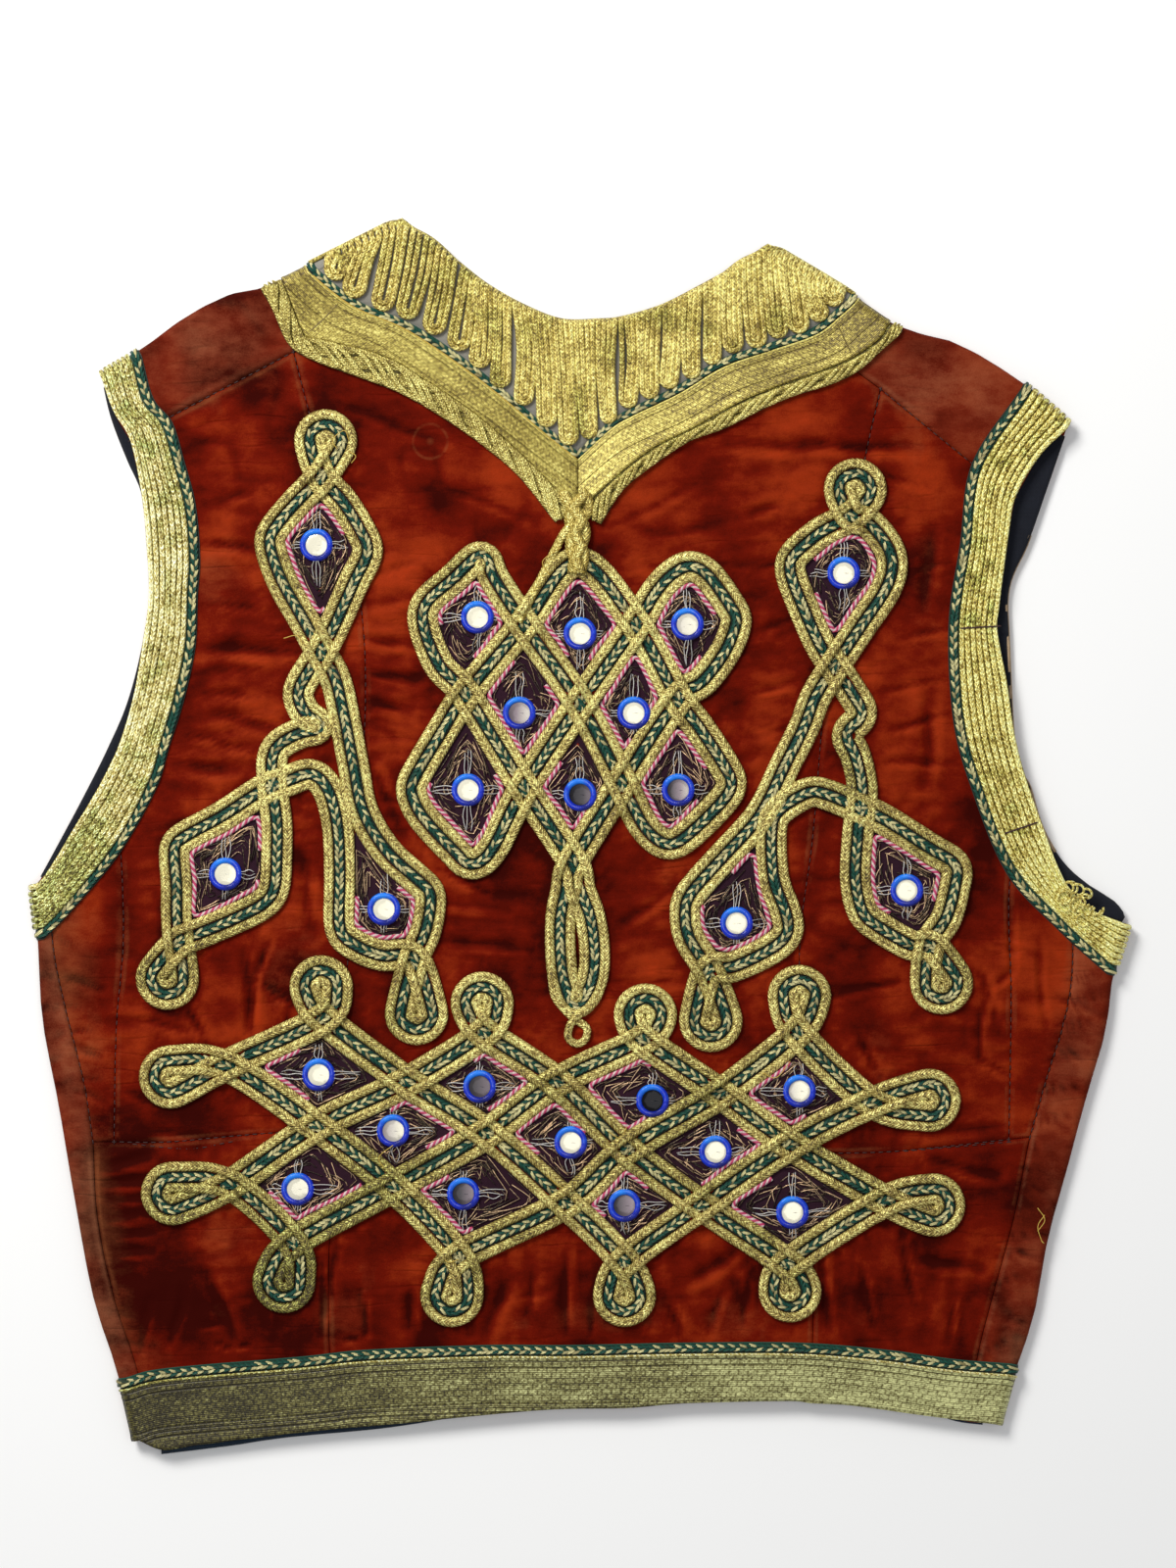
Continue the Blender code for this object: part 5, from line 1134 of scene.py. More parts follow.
# Patches of painted sheen (+) and painted shade (-), where the pile leans to the light or away: x, y, radius
# across, radius along, amount
PAINTED_SHEEN_AND_SHADE = [
    (41, 144, 25, 15, 0.4), (129, 37, 21, 38, 1.0), (-13, 138, 17, 25, 0.1), (-26, -34, 26, 20, -0.35),
    (-198, -168, 18, 50, -0.9), (-176, -150, 26, 60, -0.45), (171, -189, 26, 46, -0.5),
    (-150, 150, 28, 26, 0.35), (-86, 96, 20, 40, 0.35), (-104, 0, 18, 30, 0.25), (78, 150, 30, 14, 0.3),
    (110, -64, 30, 20, 0.35), (-150, -60, 24, 22, 0.3), (-66, -110, 40, 20, 0.15), (40, -206, 60, 16, -0.25),
    (-120, -206, 50, 16, -0.4), (-158, -204, 26, 18, -0.55), (148, -99, 34, 12, 0.4),
    (45, 129, 26, 9, -0.35), (-90, 178, 40, 10, -0.3), (-165, -215, 30, 16, -0.3), (196, -60, 20, 40, 0.25),
    (84, 20, 10, 50, 0.45), (-60, -220, 40, 14, -0.3), (160, -110, 24, 24, 0.25), (-180, 60, 20, 60, -0.1),
    (140, 168, 30, 16, 0.1), (60, -40, 20, 30, 0.25), (0, -30, 26, 40, -0.25),
]
# Patches where the pile is rubbed: x, y, radius across, radius along, amount
RUBBED = [
    (-165, 205, 44, 26, 0.22), (-130, 222, 30, 12, 0.2), (165, 186, 48, 26, 0.19), (140, 205, 30, 16, 0.16),
    (-226, -40, 12, 60, 0.42), (-214, -140, 12, 70, 0.4), (-206, -220, 14, 50, 0.45),
    (-200, -240, 24, 20, 0.35), (222, -70, 12, 50, 0.22), (206, -140, 10, 60, 0.28),
    (190, -220, 14, 40, 0.42), (-156, 105, 16, 26, 0.2), (-152, -170, 14, 30, 0.15),
    (-104, -206, 14, 22, 0.18), (-150, 20, 20, 14, 0.14), (126, -96, 12, 16, 0.22), (-128, -60, 16, 16, 0.2),
    (70, -208, 26, 12, 0.2), (0, -208, 40, 10, 0.16), (150, 100, 12, 40, 0.16),
]


# %% How high the cloth stands
CENTRES = np.array(MIRRORS, float)
TRIM_LINES = [(curve(LEFT["band_inner"], 4.0) - [9.0, 0.0], 15.0),
              (curve(RIGHT["band_inner"], 4.0) + [9.0, 0.0], 15.0),
              (curve(HEM_CHAIN_TOP, 4.0) - [0.0, 17.0], 20.0),
              (curve(LEFT["rope_inner"], 4.0) + [4.0, 8.0], 24.0),
              (curve(RIGHT["rope_inner"], 4.0) + [-4.0, 8.0], 24.0),
              (curve(NECK_BACK, 4.0) - [0.0, 14.0], 30.0), (CENTRES, 13.0)]


def crumple(xy, stretch, seed):
    """Fine creases where a stretched noise passes through zero: exp(-(noise / 0.2)^2), in patches."""
    lines = hump(mottle(xy * stretch, 14.0, seed), width=0.2)
    return lines * smooth(mottle(xy, 37.0, seed + 1), -0.35, 0.55)


def ridges(places, pitch, phase):
    """Waves a pitch apart, shifted by a phase."""
    return np.sin(2 * np.pi * places / pitch + phase)


def turned_past(xy, side=""):
    """How far points lie beyond the nearer of the shoulder's and the side's folds, or of both sides'."""
    names = ("shoulder_" + side, "side_" + side) if side else ("side_left", "side_right")
    return np.max([FOLDS[name].measure(xy)[0] for name in names], axis=0)


def folded(xy):
    """Gathers, pleats and fine creases: their height, and their painted shade, darker in the fine creases
    and tucks and lighter on the ridges of gathers and pleats than in their troughs. Gathers run across and
    pleats run down the lower part. Towards the sides the fine creases give way to round tucks."""
    x, y = xy[..., 0], xy[..., 1]
    ripple = ridges(y + 5.0 * mottle(xy, 34.0, 3), 8.2, 2.5 * mottle(xy, 27.0, 4))
    gathered = 0.16 * smooth(mottle(xy, 38.0, 5), -0.1, 0.6) * smooth(y, -190.0, -120.0)
    gathered = gathered + 0.5 * spots(xy, GATHERS) * (0.7 + 0.5 * mottle(xy, 15.0, 10))
    pleat = ridges(x + 4.0 * mottle(xy, 26.0, 6), 9.5, 2.0 * mottle(xy, 22.0, 7))
    rightward = 0.3 + 0.7 * smooth(x, -115.0, -50.0)
    pleated = 0.38 * smooth(-y, 165.0, 195.0) * smooth(mottle(xy, 31.0, 8), -0.5, 0.3) * rightward
    low = smooth(-y, 60.0, 185.0) * rightward
    across, down, even = ([0.35, 1.15], 51), ([1.15, 0.4], 53), ([0.8, 0.8], 55)
    across, down, even = (crumple(xy, np.array(stretch), seed) for stretch, seed in (across, down, even))
    fine = np.maximum((1 - low) * across + low * down, 0.8 * even)
    strip = smooth(turned_past(xy), -22.0, -14.0)
    tuck = np.maximum(ridges(y + 6.0 * mottle(xy, 21.0, 61), 12.5, 0.0), 0.0) ** 7
    tuck = tuck * strip * smooth(mottle(xy, 23.0, 62), -0.6, 0.3)
    fine = fine * (1 - strip) + 1.3 * tuck
    height = ripple * gathered + pleat * pleated - 0.6 * fine
    return height, 0.55 * fine - 0.45 * ripple * gathered - 0.5 * pleat * pleated


def relief(xy):
    """Height above the wall's face, and the painted shade of the pile there. A crease is a trough exp(-d^2)
    between banks -0.45 exp(-((d - 1.9) / 0.8)^2), with d its distance over its width: the trough is
    painted dark, painted shade, and the bank on its lower right side, which faces the light, gets a
    painted highlight, so its darkness is negative."""
    xy = xy + 1.6 * np.stack([mottle(xy, 17.0, 11), mottle(xy, 17.0, 12)], -1)
    height, dark = folded(xy)
    height = height + 0.30 * mottle(xy, 46.0, 1) + 0.2 * mottle(xy, 21.0, 2)
    for x0, y0, x1, y1, width, deep in CREASES:
        start, run = np.array([x0, y0], float), np.array([x1 - x0, y1 - y0], float)
        t = np.clip((xy - start) @ run / (run @ run), 0.0, 1.0)
        offset = xy - start - t[..., None] * run
        away = np.linalg.norm(offset, axis=-1) / (0.62 * width)
        fade = deep * (0.25 + 0.75 * np.sin(np.pi * (0.08 + 0.84 * t)))
        bank = hump(away, 1.9, 0.8)
        height -= 1.3 * fade * (hump(away) - 0.45 * bank)
        lit = 0.5 + 0.5 * np.tanh(2.0 * (offset @ np.array([0.6, -0.8])) / width)
        dark += fade * (hump(away, width=0.8) - 0.75 * bank * lit)
    seam, _ = nearest(xy, np.vstack([curve(line) for line in QUILTED]))
    height -= 0.7 * hump(seam, width=1.3)
    near, which = nearest(xy, BRAID_POINTS)
    pull = ridges(which * 2 * STEP, 8.6, 2.0 * mottle(xy, 19.0, 9)) * hump(near, 10.5, 3.5)
    height += 0.4 * pull
    # painted shade beside the braid, where the pile is also crushed, and painted light and shade on the
    # ridges of its pull
    dark += 0.35 * hump(near, 7.0, 2.2) - 0.2 * pull
    room = smooth(near, 7.4, 11.0)
    for samples, reach in TRIM_LINES:
        room = room * smooth(nearest(xy, samples)[0], reach, reach + 5.0)
    return np.where(height > 0, height * room, height * (0.35 + 0.65 * room)), dark


# %% Grids of cloth
def patch(bottom, top, left, right):
    """Coons's patch. bottom and top have m points from left to right, left and right have n points
    from bottom to top: blend bottom with top, add left blended with right, take away the corners."""
    s, t = (sum(lengths(edge) / lengths(edge)[-1] for edge in pair) / 2
            for pair in ((bottom, top), (left, right)))
    s, t = s[None, :, None], t[:, None, None]
    ruled = (1 - t) * bottom[None] + t * top[None] + (1 - s) * left[:, None] + s * right[:, None]
    corners = (1 - t) * ((1 - s) * bottom[0] + s * bottom[-1]) + t * ((1 - s) * top[0] + s * top[-1])
    return ruled - corners


def spaced(line, count):
    """A line with a given number of points, close together near both its ends."""
    total = lengths(line)[-1]
    edge = np.array([0.0, 0.3, 0.8, 1.6, 2.8])
    inner = np.linspace(edge[-1], total - edge[-1], count - 8)[1:-1]
    return at_lengths(line, np.concatenate([edge, inner, total - edge[::-1]]))


def fitted(*sides, step=2.1):
    """A patch from four lines, spaced by its longer edges, with a hair's gap to its neighbours."""
    across, along = (6 + max(len(resample(side, step)) for side in pair) for pair in (sides[:2], sides[2:]))
    grid = patch(*(spaced(side, across) for side in sides[:2]), *(spaced(side, along) for side in sides[2:]))
    middle = grid[1:-1, 1:-1]
    for end in (0, -1):
        grid[end, 1:-1] += 0.4 * (middle[end] - grid[end, 1:-1])
        grid[1:-1, end] += 0.4 * (middle[:, end] - grid[1:-1, end])
    return grid


def crossed(quads):
    """Twice the area of flat quads, from their diagonals, positive where they turn to the left."""
    a, b, c, d = np.moveaxis(quads, 1, 0)
    return (c - a)[:, 0] * (d - b)[:, 1] - (c - a)[:, 1] * (d - b)[:, 0]


def cloth(name, grids, outer, layer, finish, node):
    """A closed sheet over grids of the flat pattern: the grids are welded where they share points, its
    outer face stands at the height that outer gives, its inner face is plain, and a strip of quads
    closes every free edge."""
    xy, quads, start = [], [], 0
    for grid in grids:
        index = np.arange(grid[..., 0].size).reshape(grid.shape[:2])
        cells, flat = grid_cells(index), grid.reshape(-1, 2)
        quads.append(start + (cells if crossed(flat[cells]).sum() > 0 else cells[:, ::-1]))
        xy.append(flat)
        start += len(flat)
    xy, quads = np.vstack(xy), np.vstack(quads)
    _, first, weld = np.unique(np.round(xy, 3), axis=0, return_index=True, return_inverse=True)
    xy, quads = xy[first], weld.reshape(-1)[quads]
    edges = np.concatenate([quads[:, [i, (i + 1) % 4]] for i in range(4)])
    codes, backs = edges[:, 0] * len(xy) + edges[:, 1], edges[:, 1] * len(xy) + edges[:, 0]
    rim = edges[~np.isin(codes, backs)]
    points = np.vstack([placed(with_height(xy, height), layer) for height in (outer(xy), -FACE)])
    under = len(xy)
    strip = np.column_stack([rim[:, 1], rim[:, 0], rim[:, 0] + under, rim[:, 1] + under])
    faces = np.vstack([quads, quads[:, ::-1] + under, strip])
    if layer == "front":
        faces = faces[:, ::-1]
    made = built(name, points, faces, pile_values(points[:, :2]), finish, [node])
    CUTS[name] = (made, *np.ptp(xy, axis=0) * MM, 0.5 * np.abs(crossed(xy[quads])).sum() * MM ** 2)
    return made


def pile_values(xy):
    """What the velvet's finish reads at each point: glow, painted sheen and shade; nap, the wear; and dip,
    painted shade in creases and folds.
    """
    _, dip = relief(xy)
    glow = spots(xy, PAINTED_SHEEN_AND_SHADE) + 0.55 * mottle(xy, 30.0, 21) + 0.45 * mottle(xy, 11.0, 22)
    nap = spots(xy, RUBBED) * (0.75 + 0.5 * mottle(xy, 16.0, 23)) + 0.06 * (mottle(xy, 13.0, 24) > 0.62)
    seam, _ = nearest(xy, SEAM_POINTS)
    nap += 0.30 * hump(seam, 1.5, 0.9) * smooth(mottle(xy, 19.0, 26), -0.5, 0.5)
    return {"glow": glow, "nap": np.clip(nap, 0.0, 1.0), "dip": np.clip(dip, -1.0, 1.2)}


def rounded(xy):
    """The edge of a padded panel turns down: how far it falls, as a share, is 1 - sqrt(1 - (1 - d / 2)^2),
    with d the distance to the nearest seam or edge."""
    short = np.clip(1 - nearest(xy, SEAM_POINTS)[0] / 2.0, 0.0, 1.0)
    return 1 - np.sqrt(1 - short ** 2)


def back_height(xy):
    """Outer face of the back: the wall's face, its relief, and its edges turned down."""
    return FACE + relief(xy)[0] - EDGE_DROP * rounded(xy)


# %% Seven panels of the back
SEAMS = ("yoke", "neck", "princess", "princess_hem", "panel", "seam", "seam_hem", "waist", "waist_side",
         "arm")
sewn = {side: {key: curve(lines[key]) for key in SEAMS} for side, lines in SIDES.items()}
left, right = sewn["left"], sewn["right"]
left["hem"] = curve([LEFT["seam_hem"][-1], *HEM_LEFT[1:]])
right["hem"] = curve([*HEM_RIGHT[:-1], RIGHT["seam_hem"][-1]])[::-1]
SEAM_LINES = [*left.values(), *right.values(), curve(NECK_BACK), curve(HEM_MIDDLE)]
SEAM_POINTS = np.vstack([resample(line, 1.0) for line in SEAM_LINES])


def back_panel(name, *sides):
    """A panel of the back from its lower, upper, left and right edges."""
    return cloth("velvet_" + name, [fitted(*sides)], back_height, "back", VELVET, name)


back_panel("back_centre", curve(HEM_MIDDLE), curve(NECK_BACK), *(
    joined(side["princess_hem"][::-1], side["princess"][::-1], side["neck"]) for side in (left, right)))
for name, side in sewn.items():
    corner = SIDES[name]["panel"][0]
    arm_up, arm_low = part_of(side["arm"], end=corner)[::-1], part_of(side["arm"], start=corner)
    princess, panel = side["princess"][::-1], side["panel"][::-1]
    waist = joined(side["waist_side"], side["waist"])
    back_panel("back_" + name, side["waist"], side["yoke"], joined(panel, arm_up), princess)
    back_panel("back_side_" + name, side["waist_side"], arm_low[::-1], side["seam"][::-1], panel)
    back_panel("lower_back_" + name, side["hem"], waist, side["seam_hem"][::-1], side["princess_hem"][::-1])

# %% [markdown]
# ### The fronts
#
# Each front is one piece of cloth that lies under the back. At the shoulder and the side it turns up
# over a fold and is sewn to the back, so a strip of it shows from above. Its flat part and its two
# strips are three grids that share the points of the fold lines, so welding them makes one sheet.

# %% Two fronts that turn over the folds
def front(side, edges):
    """Grids of one front: a flat patch, and two strips that go round their folds in eight short rows."""
    lines = SIDES[side]
    shoulder, flank = FOLDS["shoulder_" + side], FOLDS["side_" + side]
    core_top, core_side = resample(shoulder.core, count=44), resample(flank.core, count=88)
    arm_top, arm_end, neck_side = (curve(lines[key]) for key in ("arm_top", "arm_end", "neck_side"))
    if side == "right":
        neck_side = curve(lines["neck_side"][::-1])
    arm = resample(curve(lines["arm_front"]), count=70)
    neck = resample(curve(lines["neck_front"]), count=40)
    hem = resample(curve(lines["hem_front"]), count=44)
    centre = resample(np.array([neck[-1], hem[-1]]), count=len(arm) + len(core_side) - len(neck))
    grids = [patch(hem, core_top[::-1], joined(arm, core_side)[::-1], joined(neck, centre)[::-1])]
    bend = np.linspace(0.0, np.pi * FOLD, 9)
    for core, fold, edge, first, last in (
            (core_top, shoulder, joined(edges["yoke"], edges["neck"])[::-1], neck_side, arm_top),
            (core_side, flank, joined(edges["seam"], edges["seam_hem"]), arm_end[::-1], None)):
        round_rows = core[None] + bend[:, None, None] * fold.out
        near, far = round_rows[-1], resample(fold.unfolded(edge), count=len(core))
        count = max(4, int(np.linalg.norm(far - near, axis=1).max() / 2.4) + 2)
        ends = []
        for line, i in ((first, 0), (last, -1)):
            way = fold.unfolded(line)[1:-1] if line is not None else np.empty((0, 2))
            ends.append(resample(np.vstack([near[i], way, far[i]]), count=count))
        grids += [round_rows, patch(near, far, *ends)]
    return grids


def front_height(side):
    """Outer face of a front: flat where it lies on the table, with shallow creases let in, and with the
    back's own relief on the strips that show."""
    def height(xy):
        where = placed(with_height(xy, 0.0), "front")[:, :2]
        turned = turned_past(xy, side)
        shown = smooth(turned, 3.2, 9.0)
        under = np.minimum(relief(where * [-1.0, 1.0])[0] * 0.8, 0.0) * smooth(-turned, 2.0, 12.0)
        return shown * back_height(where) + (1 - shown) * (FACE + under)
    return height


for side, edges in sewn.items():
    cloth("velvet_front_" + side, front(side, edges), front_height(side), "front", VELVET_FRONT,
          "front_" + side)

# %% [markdown]
# ## Couched braid
#
# Two plaited gold cords are sewn down side by side and a row of chain stitch in green and gold fills
# the channel between them. The cords are profiles carried along lines offset from the tour. Where a
# bend is tight the inner cord can't be offset by more than the bend's radius, so it is held back, and
# where one braid crosses another its cords are lifted over the lower one.

# %% Lines beside a tour
def eased(values, reach):
    """Average over the neighbours along a closed line."""
    kernel = np.hanning(2 * reach + 3)[1:-1]
    padded = np.concatenate([values[-reach:], values, values[:reach]])
    return np.convolve(padded, kernel / kernel.sum(), "valid")


def beside_tour(name, offset):
    """A line at an offset to the right of the closed tour (left if negative). It is a little wider or
    narrower in the centre's tail, and held back where a bend is tight."""
    line = BRAIDS[name]
    along = direction(line, closed=True)
    onward = np.roll(along, -1, axis=0)
    turn = eased(along[:, 0] * onward[:, 1] - along[:, 1] * onward[:, 0], 2) / STEP
    in_tail = smooth(-line[:, 1], 18.0, 34.0) * (np.abs(line[:, 0]) < 16.0) * (name == "centre")
    width = abs(offset) * (1 + (0.12 if offset > 0 else -0.18) * in_tail)
    inner = np.sign(offset) * turn < 0
    radius = 1.0 / np.maximum(np.abs(turn), 1e-4)
    width = np.where(inner, np.minimum(width, np.maximum(radius - 0.9, 1.3)), width)
    moved = line + (along @ SPIN) * (np.sign(offset) * eased(width, 3))[:, None]
    for _ in range(2):
        moved = 0.25 * np.roll(moved, 1, axis=0) + 0.5 * moved + 0.25 * np.roll(moved, -1, axis=0)
    return moved


# Where the gold is paler (+) or darker and greener (-): x, y, radius across, radius along, amount
GOLD_TONES = [(-130, -170, 70, 40, -0.16), (-120, -196, 40, 30, -0.14), (40, -150, 90, 50, -0.05),
              (0, 60, 80, 70, 0.05), (120, 40, 40, 90, -0.03), (-110, 60, 40, 90, 0.02),
              (140, -150, 50, 50, -0.02)]


def gold_tone(xy):
    """Wear and tarnish: soft patches round a middle tone."""
    return 0.5 + spots(xy, GOLD_TONES) + 0.09 * mottle(xy, 28.0, 31) + 0.07 * mottle(xy, 9.0, 32)


# %% Cords of the braids
# The cord at the end of the centre's tail crosses itself in a small ring.
TAIL_CORD = [(-12.3, -62), (-10.5, -71), (-3.5, -79.2), (2.6, -83.5), (2.4, -88.5), (-1.3, -90.6),
             (-5.0, -88.2), (-4.4, -83.0), (-1.0, -78.6), (6.5, -72.5), (10.0, -64)]
SUNK = FACE - 0.1          # height of a braid's underside, a little into the pile
BRAID_NODES = {"braid_lower": ("lower_falling", "lower_rising"), "braid_centre": ("centre",),
               "braid_pendant_left": ("pendant_left",), "braid_pendant_right": ("pendant_right",)}
for node, names in BRAID_NODES.items():
    batches = []
    for name in names:
        for i, side in enumerate((1, -1)):
            path = beside_tour(name, side * CORD_OFFSET)
            batches.append(cords(path, CORD_HALF + 0.12 * mottle(path, 14.0, 41 + i),
                                 CORD_HIGH + 0.1 * mottle(path, 11.0, 43), SUNK + lifts(name, path, side),
                                 closed=True, around=8, tone=gold_tone(path), seed=50 + i, flat=0.8))
    if node == "braid_centre":
        drop = curve(TAIL_CORD, 1.2)
        rise = 0.9 * hump(np.arange(len(drop)), 0.73 * len(drop), 5.0)
        batches.append(cords(drop, 1.75, 1.9, FACE + rise, seed=57))
    skin("cords_of_" + node, batches, GOLD_CORD, [node])


# %% Chain stitch in the channel
def chain(line, pitch, spread, length, half, high, base, seed, rise=0.0, cream=1.15, green=0.95):
    """Leaves in pairs like a row of V's, cream and green by turns. A leaf runs from spread at the side
    to the middle, over its length along the line; its width and height swell and fade by sin(pi u)."""
    rng = np.random.default_rng(seed)
    count = int(lengths(line)[-1] / pitch)
    lifted = resample(with_height(line, rise), count=4 * count)[::4]
    at, rises = lifted[:, :2], lifted[:, 2]
    along = direction(at)
    u = np.array([0.0, 0.3, 0.68, 1.0])
    leaves = []
    for side in (-1.0, 1.0):
        right = side * (spread * (1 - u) ** 0.9 + 0.12)
        wobble = rng.normal(0.0, 0.12, (count, 1))
        ahead = length * (u - 0.5)
        path = at[:, None] + along[:, None] * (ahead + wobble)[..., None]
        path = path + (along @ SPIN)[:, None] * (right + 0.5 * wobble)[..., None]
        is_green = (np.arange(count) + (side > 0) + (rng.random(count) < 0.12)) % 2 > 0
        tone = np.where(is_green, 0.05, 0.85) + rng.normal(0.0, 0.1, count)
        stand = rises + np.where(is_green, 0.15 * (green - cream), 0.0) + rng.normal(0.0, 0.06, count)
        leaves.append((path, tone, stand, np.where(is_green, green, cream)))
    path, tone, stand, gauge = (np.concatenate(parts) for parts in zip(*leaves))
    swell = np.sin(np.pi * (0.16 + 0.68 * u))
    return cords(path, half * gauge[:, None] * swell, high * (0.35 + 0.65 * swell),
                 base + stand[:, None] - 0.25, around=4, tone=tone[:, None], seed=seed)


for node, names in BRAID_NODES.items():
    batches = []
    for i, name in enumerate(names):
        middle = 0.5 * (beside_tour(name, CORD_OFFSET) + beside_tour(name, -CORD_OFFSET))
        raised = lifts(name, middle, 0)
        # a dark core under the chain, tone 0.12: painted shade between the stitches and the cords
        batches.append(cords(middle[::2], 2.7, 0.95, SUNK + raised[::2], around=6, closed=True, tone=0.12,
                             seed=60 + i))
        batches.append(chain(middle, 2.3, 1.3, 3.7, 0.96, 1.4, FACE + 0.75, 70 + i, raised))
    skin("chain_of_" + node, batches, CHAIN_STITCH, [node])

# %% [markdown]
# ## Fields with mirrors
#
# Each field of a lattice is a lozenge whose outline is whatever the braid leaves open, so it is found
# by sight: from the mirror, how far can one look in each direction before meeting the braid? The same
# sight lines give the patch, the pink and white cord that edges it and the rows of copper wire.

# %% Sight lines
FAR = 33.0                 # how far a look goes where it meets no braid
SIGHT = np.linspace(0, 2 * np.pi, 72, endpoint=False)
QUARTER = len(SIGHT) // 4
LOOKS = compass(SIGHT)
FIELDS = [f"lozenge_{i + 1:02d}" for i in range(len(CENTRES))]


def sight(centre):
    """Distance from a mirror to the braid's edge in each direction."""
    near = BRAID_POINTS[np.linalg.norm(BRAID_POINTS - centre, axis=1) < 52.0]
    steps = np.arange(5.0, 40.0, 0.3)
    away, _ = nearest(centre + steps[None, :, None] * LOOKS[:, None], near)
    met = away < BRAID_EDGE
    return np.where(met.any(axis=1), steps[met.argmax(axis=1)], FAR)


SIGHTS = np.array([sight(centre) for centre in CENTRES])


def reach_at(reach, turn):
    """The distance of a field's edge at any angle, from its sight lines."""
    return np.interp(turn % (2 * np.pi), SIGHT, reach, period=2 * np.pi)


def round_fields(radii, turn, height):
    """Points round every mirror, at radii and angles."""
    return with_height(CENTRES[:, None] + radii[..., None] * compass(turn), height)


UNDER_BRAID = 2.4
rings = [round_fields(SIGHTS + UNDER_BRAID, SIGHT, FACE + height) for height in (-0.05, 0.2)]
rings += [round_fields(SIGHTS * share, SIGHT, FACE + height)
          for share, height in ((0.97, 0.3), (0.66, 0.42), (0.33, 0.5), (0.05, 0.5))]
patches = skin("field_cloth", [(placed(np.stack(rings, axis=1)), False, {})], AUBERGINE, FIELDS)
edge = SIGHTS + UNDER_BRAID
area = 0.5 * np.sin(SIGHT[1]) * (edge * np.roll(edge, 1, axis=1)).sum() * MM ** 2
CUTS["field_cloth"] = (patches, 0.045, 0.9, area)

# %% Copper bullion
rng = np.random.default_rng(7)
wires, wire_tones_and_painted_glints = [], []
for centre, reach in zip(CENTRES, SIGHTS):
    for row in (0.88, 0.78, 0.88, 0.68, 0.78, 0.58, 0.68, 0.5):
        for start in rng.uniform(0, 2 * np.pi, 12):
            turn = start + np.linspace(0.0, rng.uniform(0.25, 0.9), 5)
            out = reach_at(reach, turn)
            shares = row * rng.uniform(0.85, 1.08) + np.linspace(0, rng.normal(0.0, 0.16), 5)
            distance = np.maximum(np.minimum(out * shares, out - 0.8), 7.0)
            wires.append(centre + distance[:, None] * compass(turn))
            # random brightness for each wire: partly the wires' own tone, and the brightest are painted
            # glints
            wire_tones_and_painted_glints.append(rng.choice([0.0, 0.1, 0.2, 0.3, 0.45, 0.65, 0.95]))
lift = rng.uniform(0.2, 0.8, len(wires))
coils = cords(wires, 0.24, 0.6, (FACE + lift)[:, None], around=4, tone=np.array(wire_tones_and_painted_glints)[:, None], seed=8)
skin("copper_bullion", [coils], COPPER, FIELDS)

# %% Silver stitches: three threads from each mirror towards the four corners of its field
threads = []
for centre, reach in zip(CENTRES, SIGHTS):
    for quarter in range(0, len(SIGHT), QUARTER):
        ahead, aside = LOOKS[quarter], LOOKS[(quarter + QUARTER) % len(SIGHT)]
        far = min(reach[quarter] - 0.9, 18.0)
        far = min(far, 11.5) if far < 13.0 else far
        widths, shake = ([1.0, 1.1, 1.2, 1.3], 0.14) if far < 12 else ([1.0, 1.6, 1.6, 1.3], 0.4)
        for lane in (-1.0, 0.0, 1.0):
            steps = np.linspace(5.9, max(far - rng.uniform(0.0, 1.6 + abs(lane)), 9.0), 4)
            sideways = lane * np.array(widths) + rng.normal(0, shake, 4)
            thread = centre + steps[:, None] * ahead + sideways[:, None] * aside
            threads.append(resample(curve(thread, 0.6), count=9))
heights = FACE + np.interp(np.linspace(0, 3, 9), np.arange(4), [2.0, 1.3, 1.15, 0.6])
tones = 0.8 + rng.normal(0, 0.16, len(threads))
skin("silver_stitches", [cords(threads, 0.23, 0.4, heights, around=4, tone=tones[:, None], seed=9)], SILVER,
     FIELDS)

# %% Pink and white edging: a cord part of the way round each field, longer in the fields high up
HIGH_FIELDS = 14
twists = []
for i, (centre, reach) in enumerate(zip(CENTRES, SIGHTS)):
    start = rng.uniform(0, 2 * np.pi)
    turn = start + np.linspace(0, rng.uniform(3.7, 5.6) if i < HIGH_FIELDS else rng.uniform(1.2, 3.2), 60)
    out = reach_at(reach, turn) - 0.9 + 0.35 * np.sin(3.0 * turn + i)
    twists.append(resample(centre + out[:, None] * compass(turn), count=60))
skin("pink_and_white_edging", [cords(twists, 1.02, 1.5, FACE + 0.2, around=8, seed=10)], PINK_CORD,
     FIELDS)

# %% Silk rings, with a painted highlight on the upper left and painted shade on the lower right
turn = np.linspace(0, 2 * np.pi, 36, endpoint=False)
lit = 0.42 + 0.34 * np.cos(turn - np.radians(108)) ** 3
skin("silk_rings", [cords(CENTRES[:, None] + RING_RADIUS * compass(turn), 1.32, 2.3, FACE + 0.35, around=10,
                          closed=True, tone=lit, seed=11)], SILK, FIELDS)

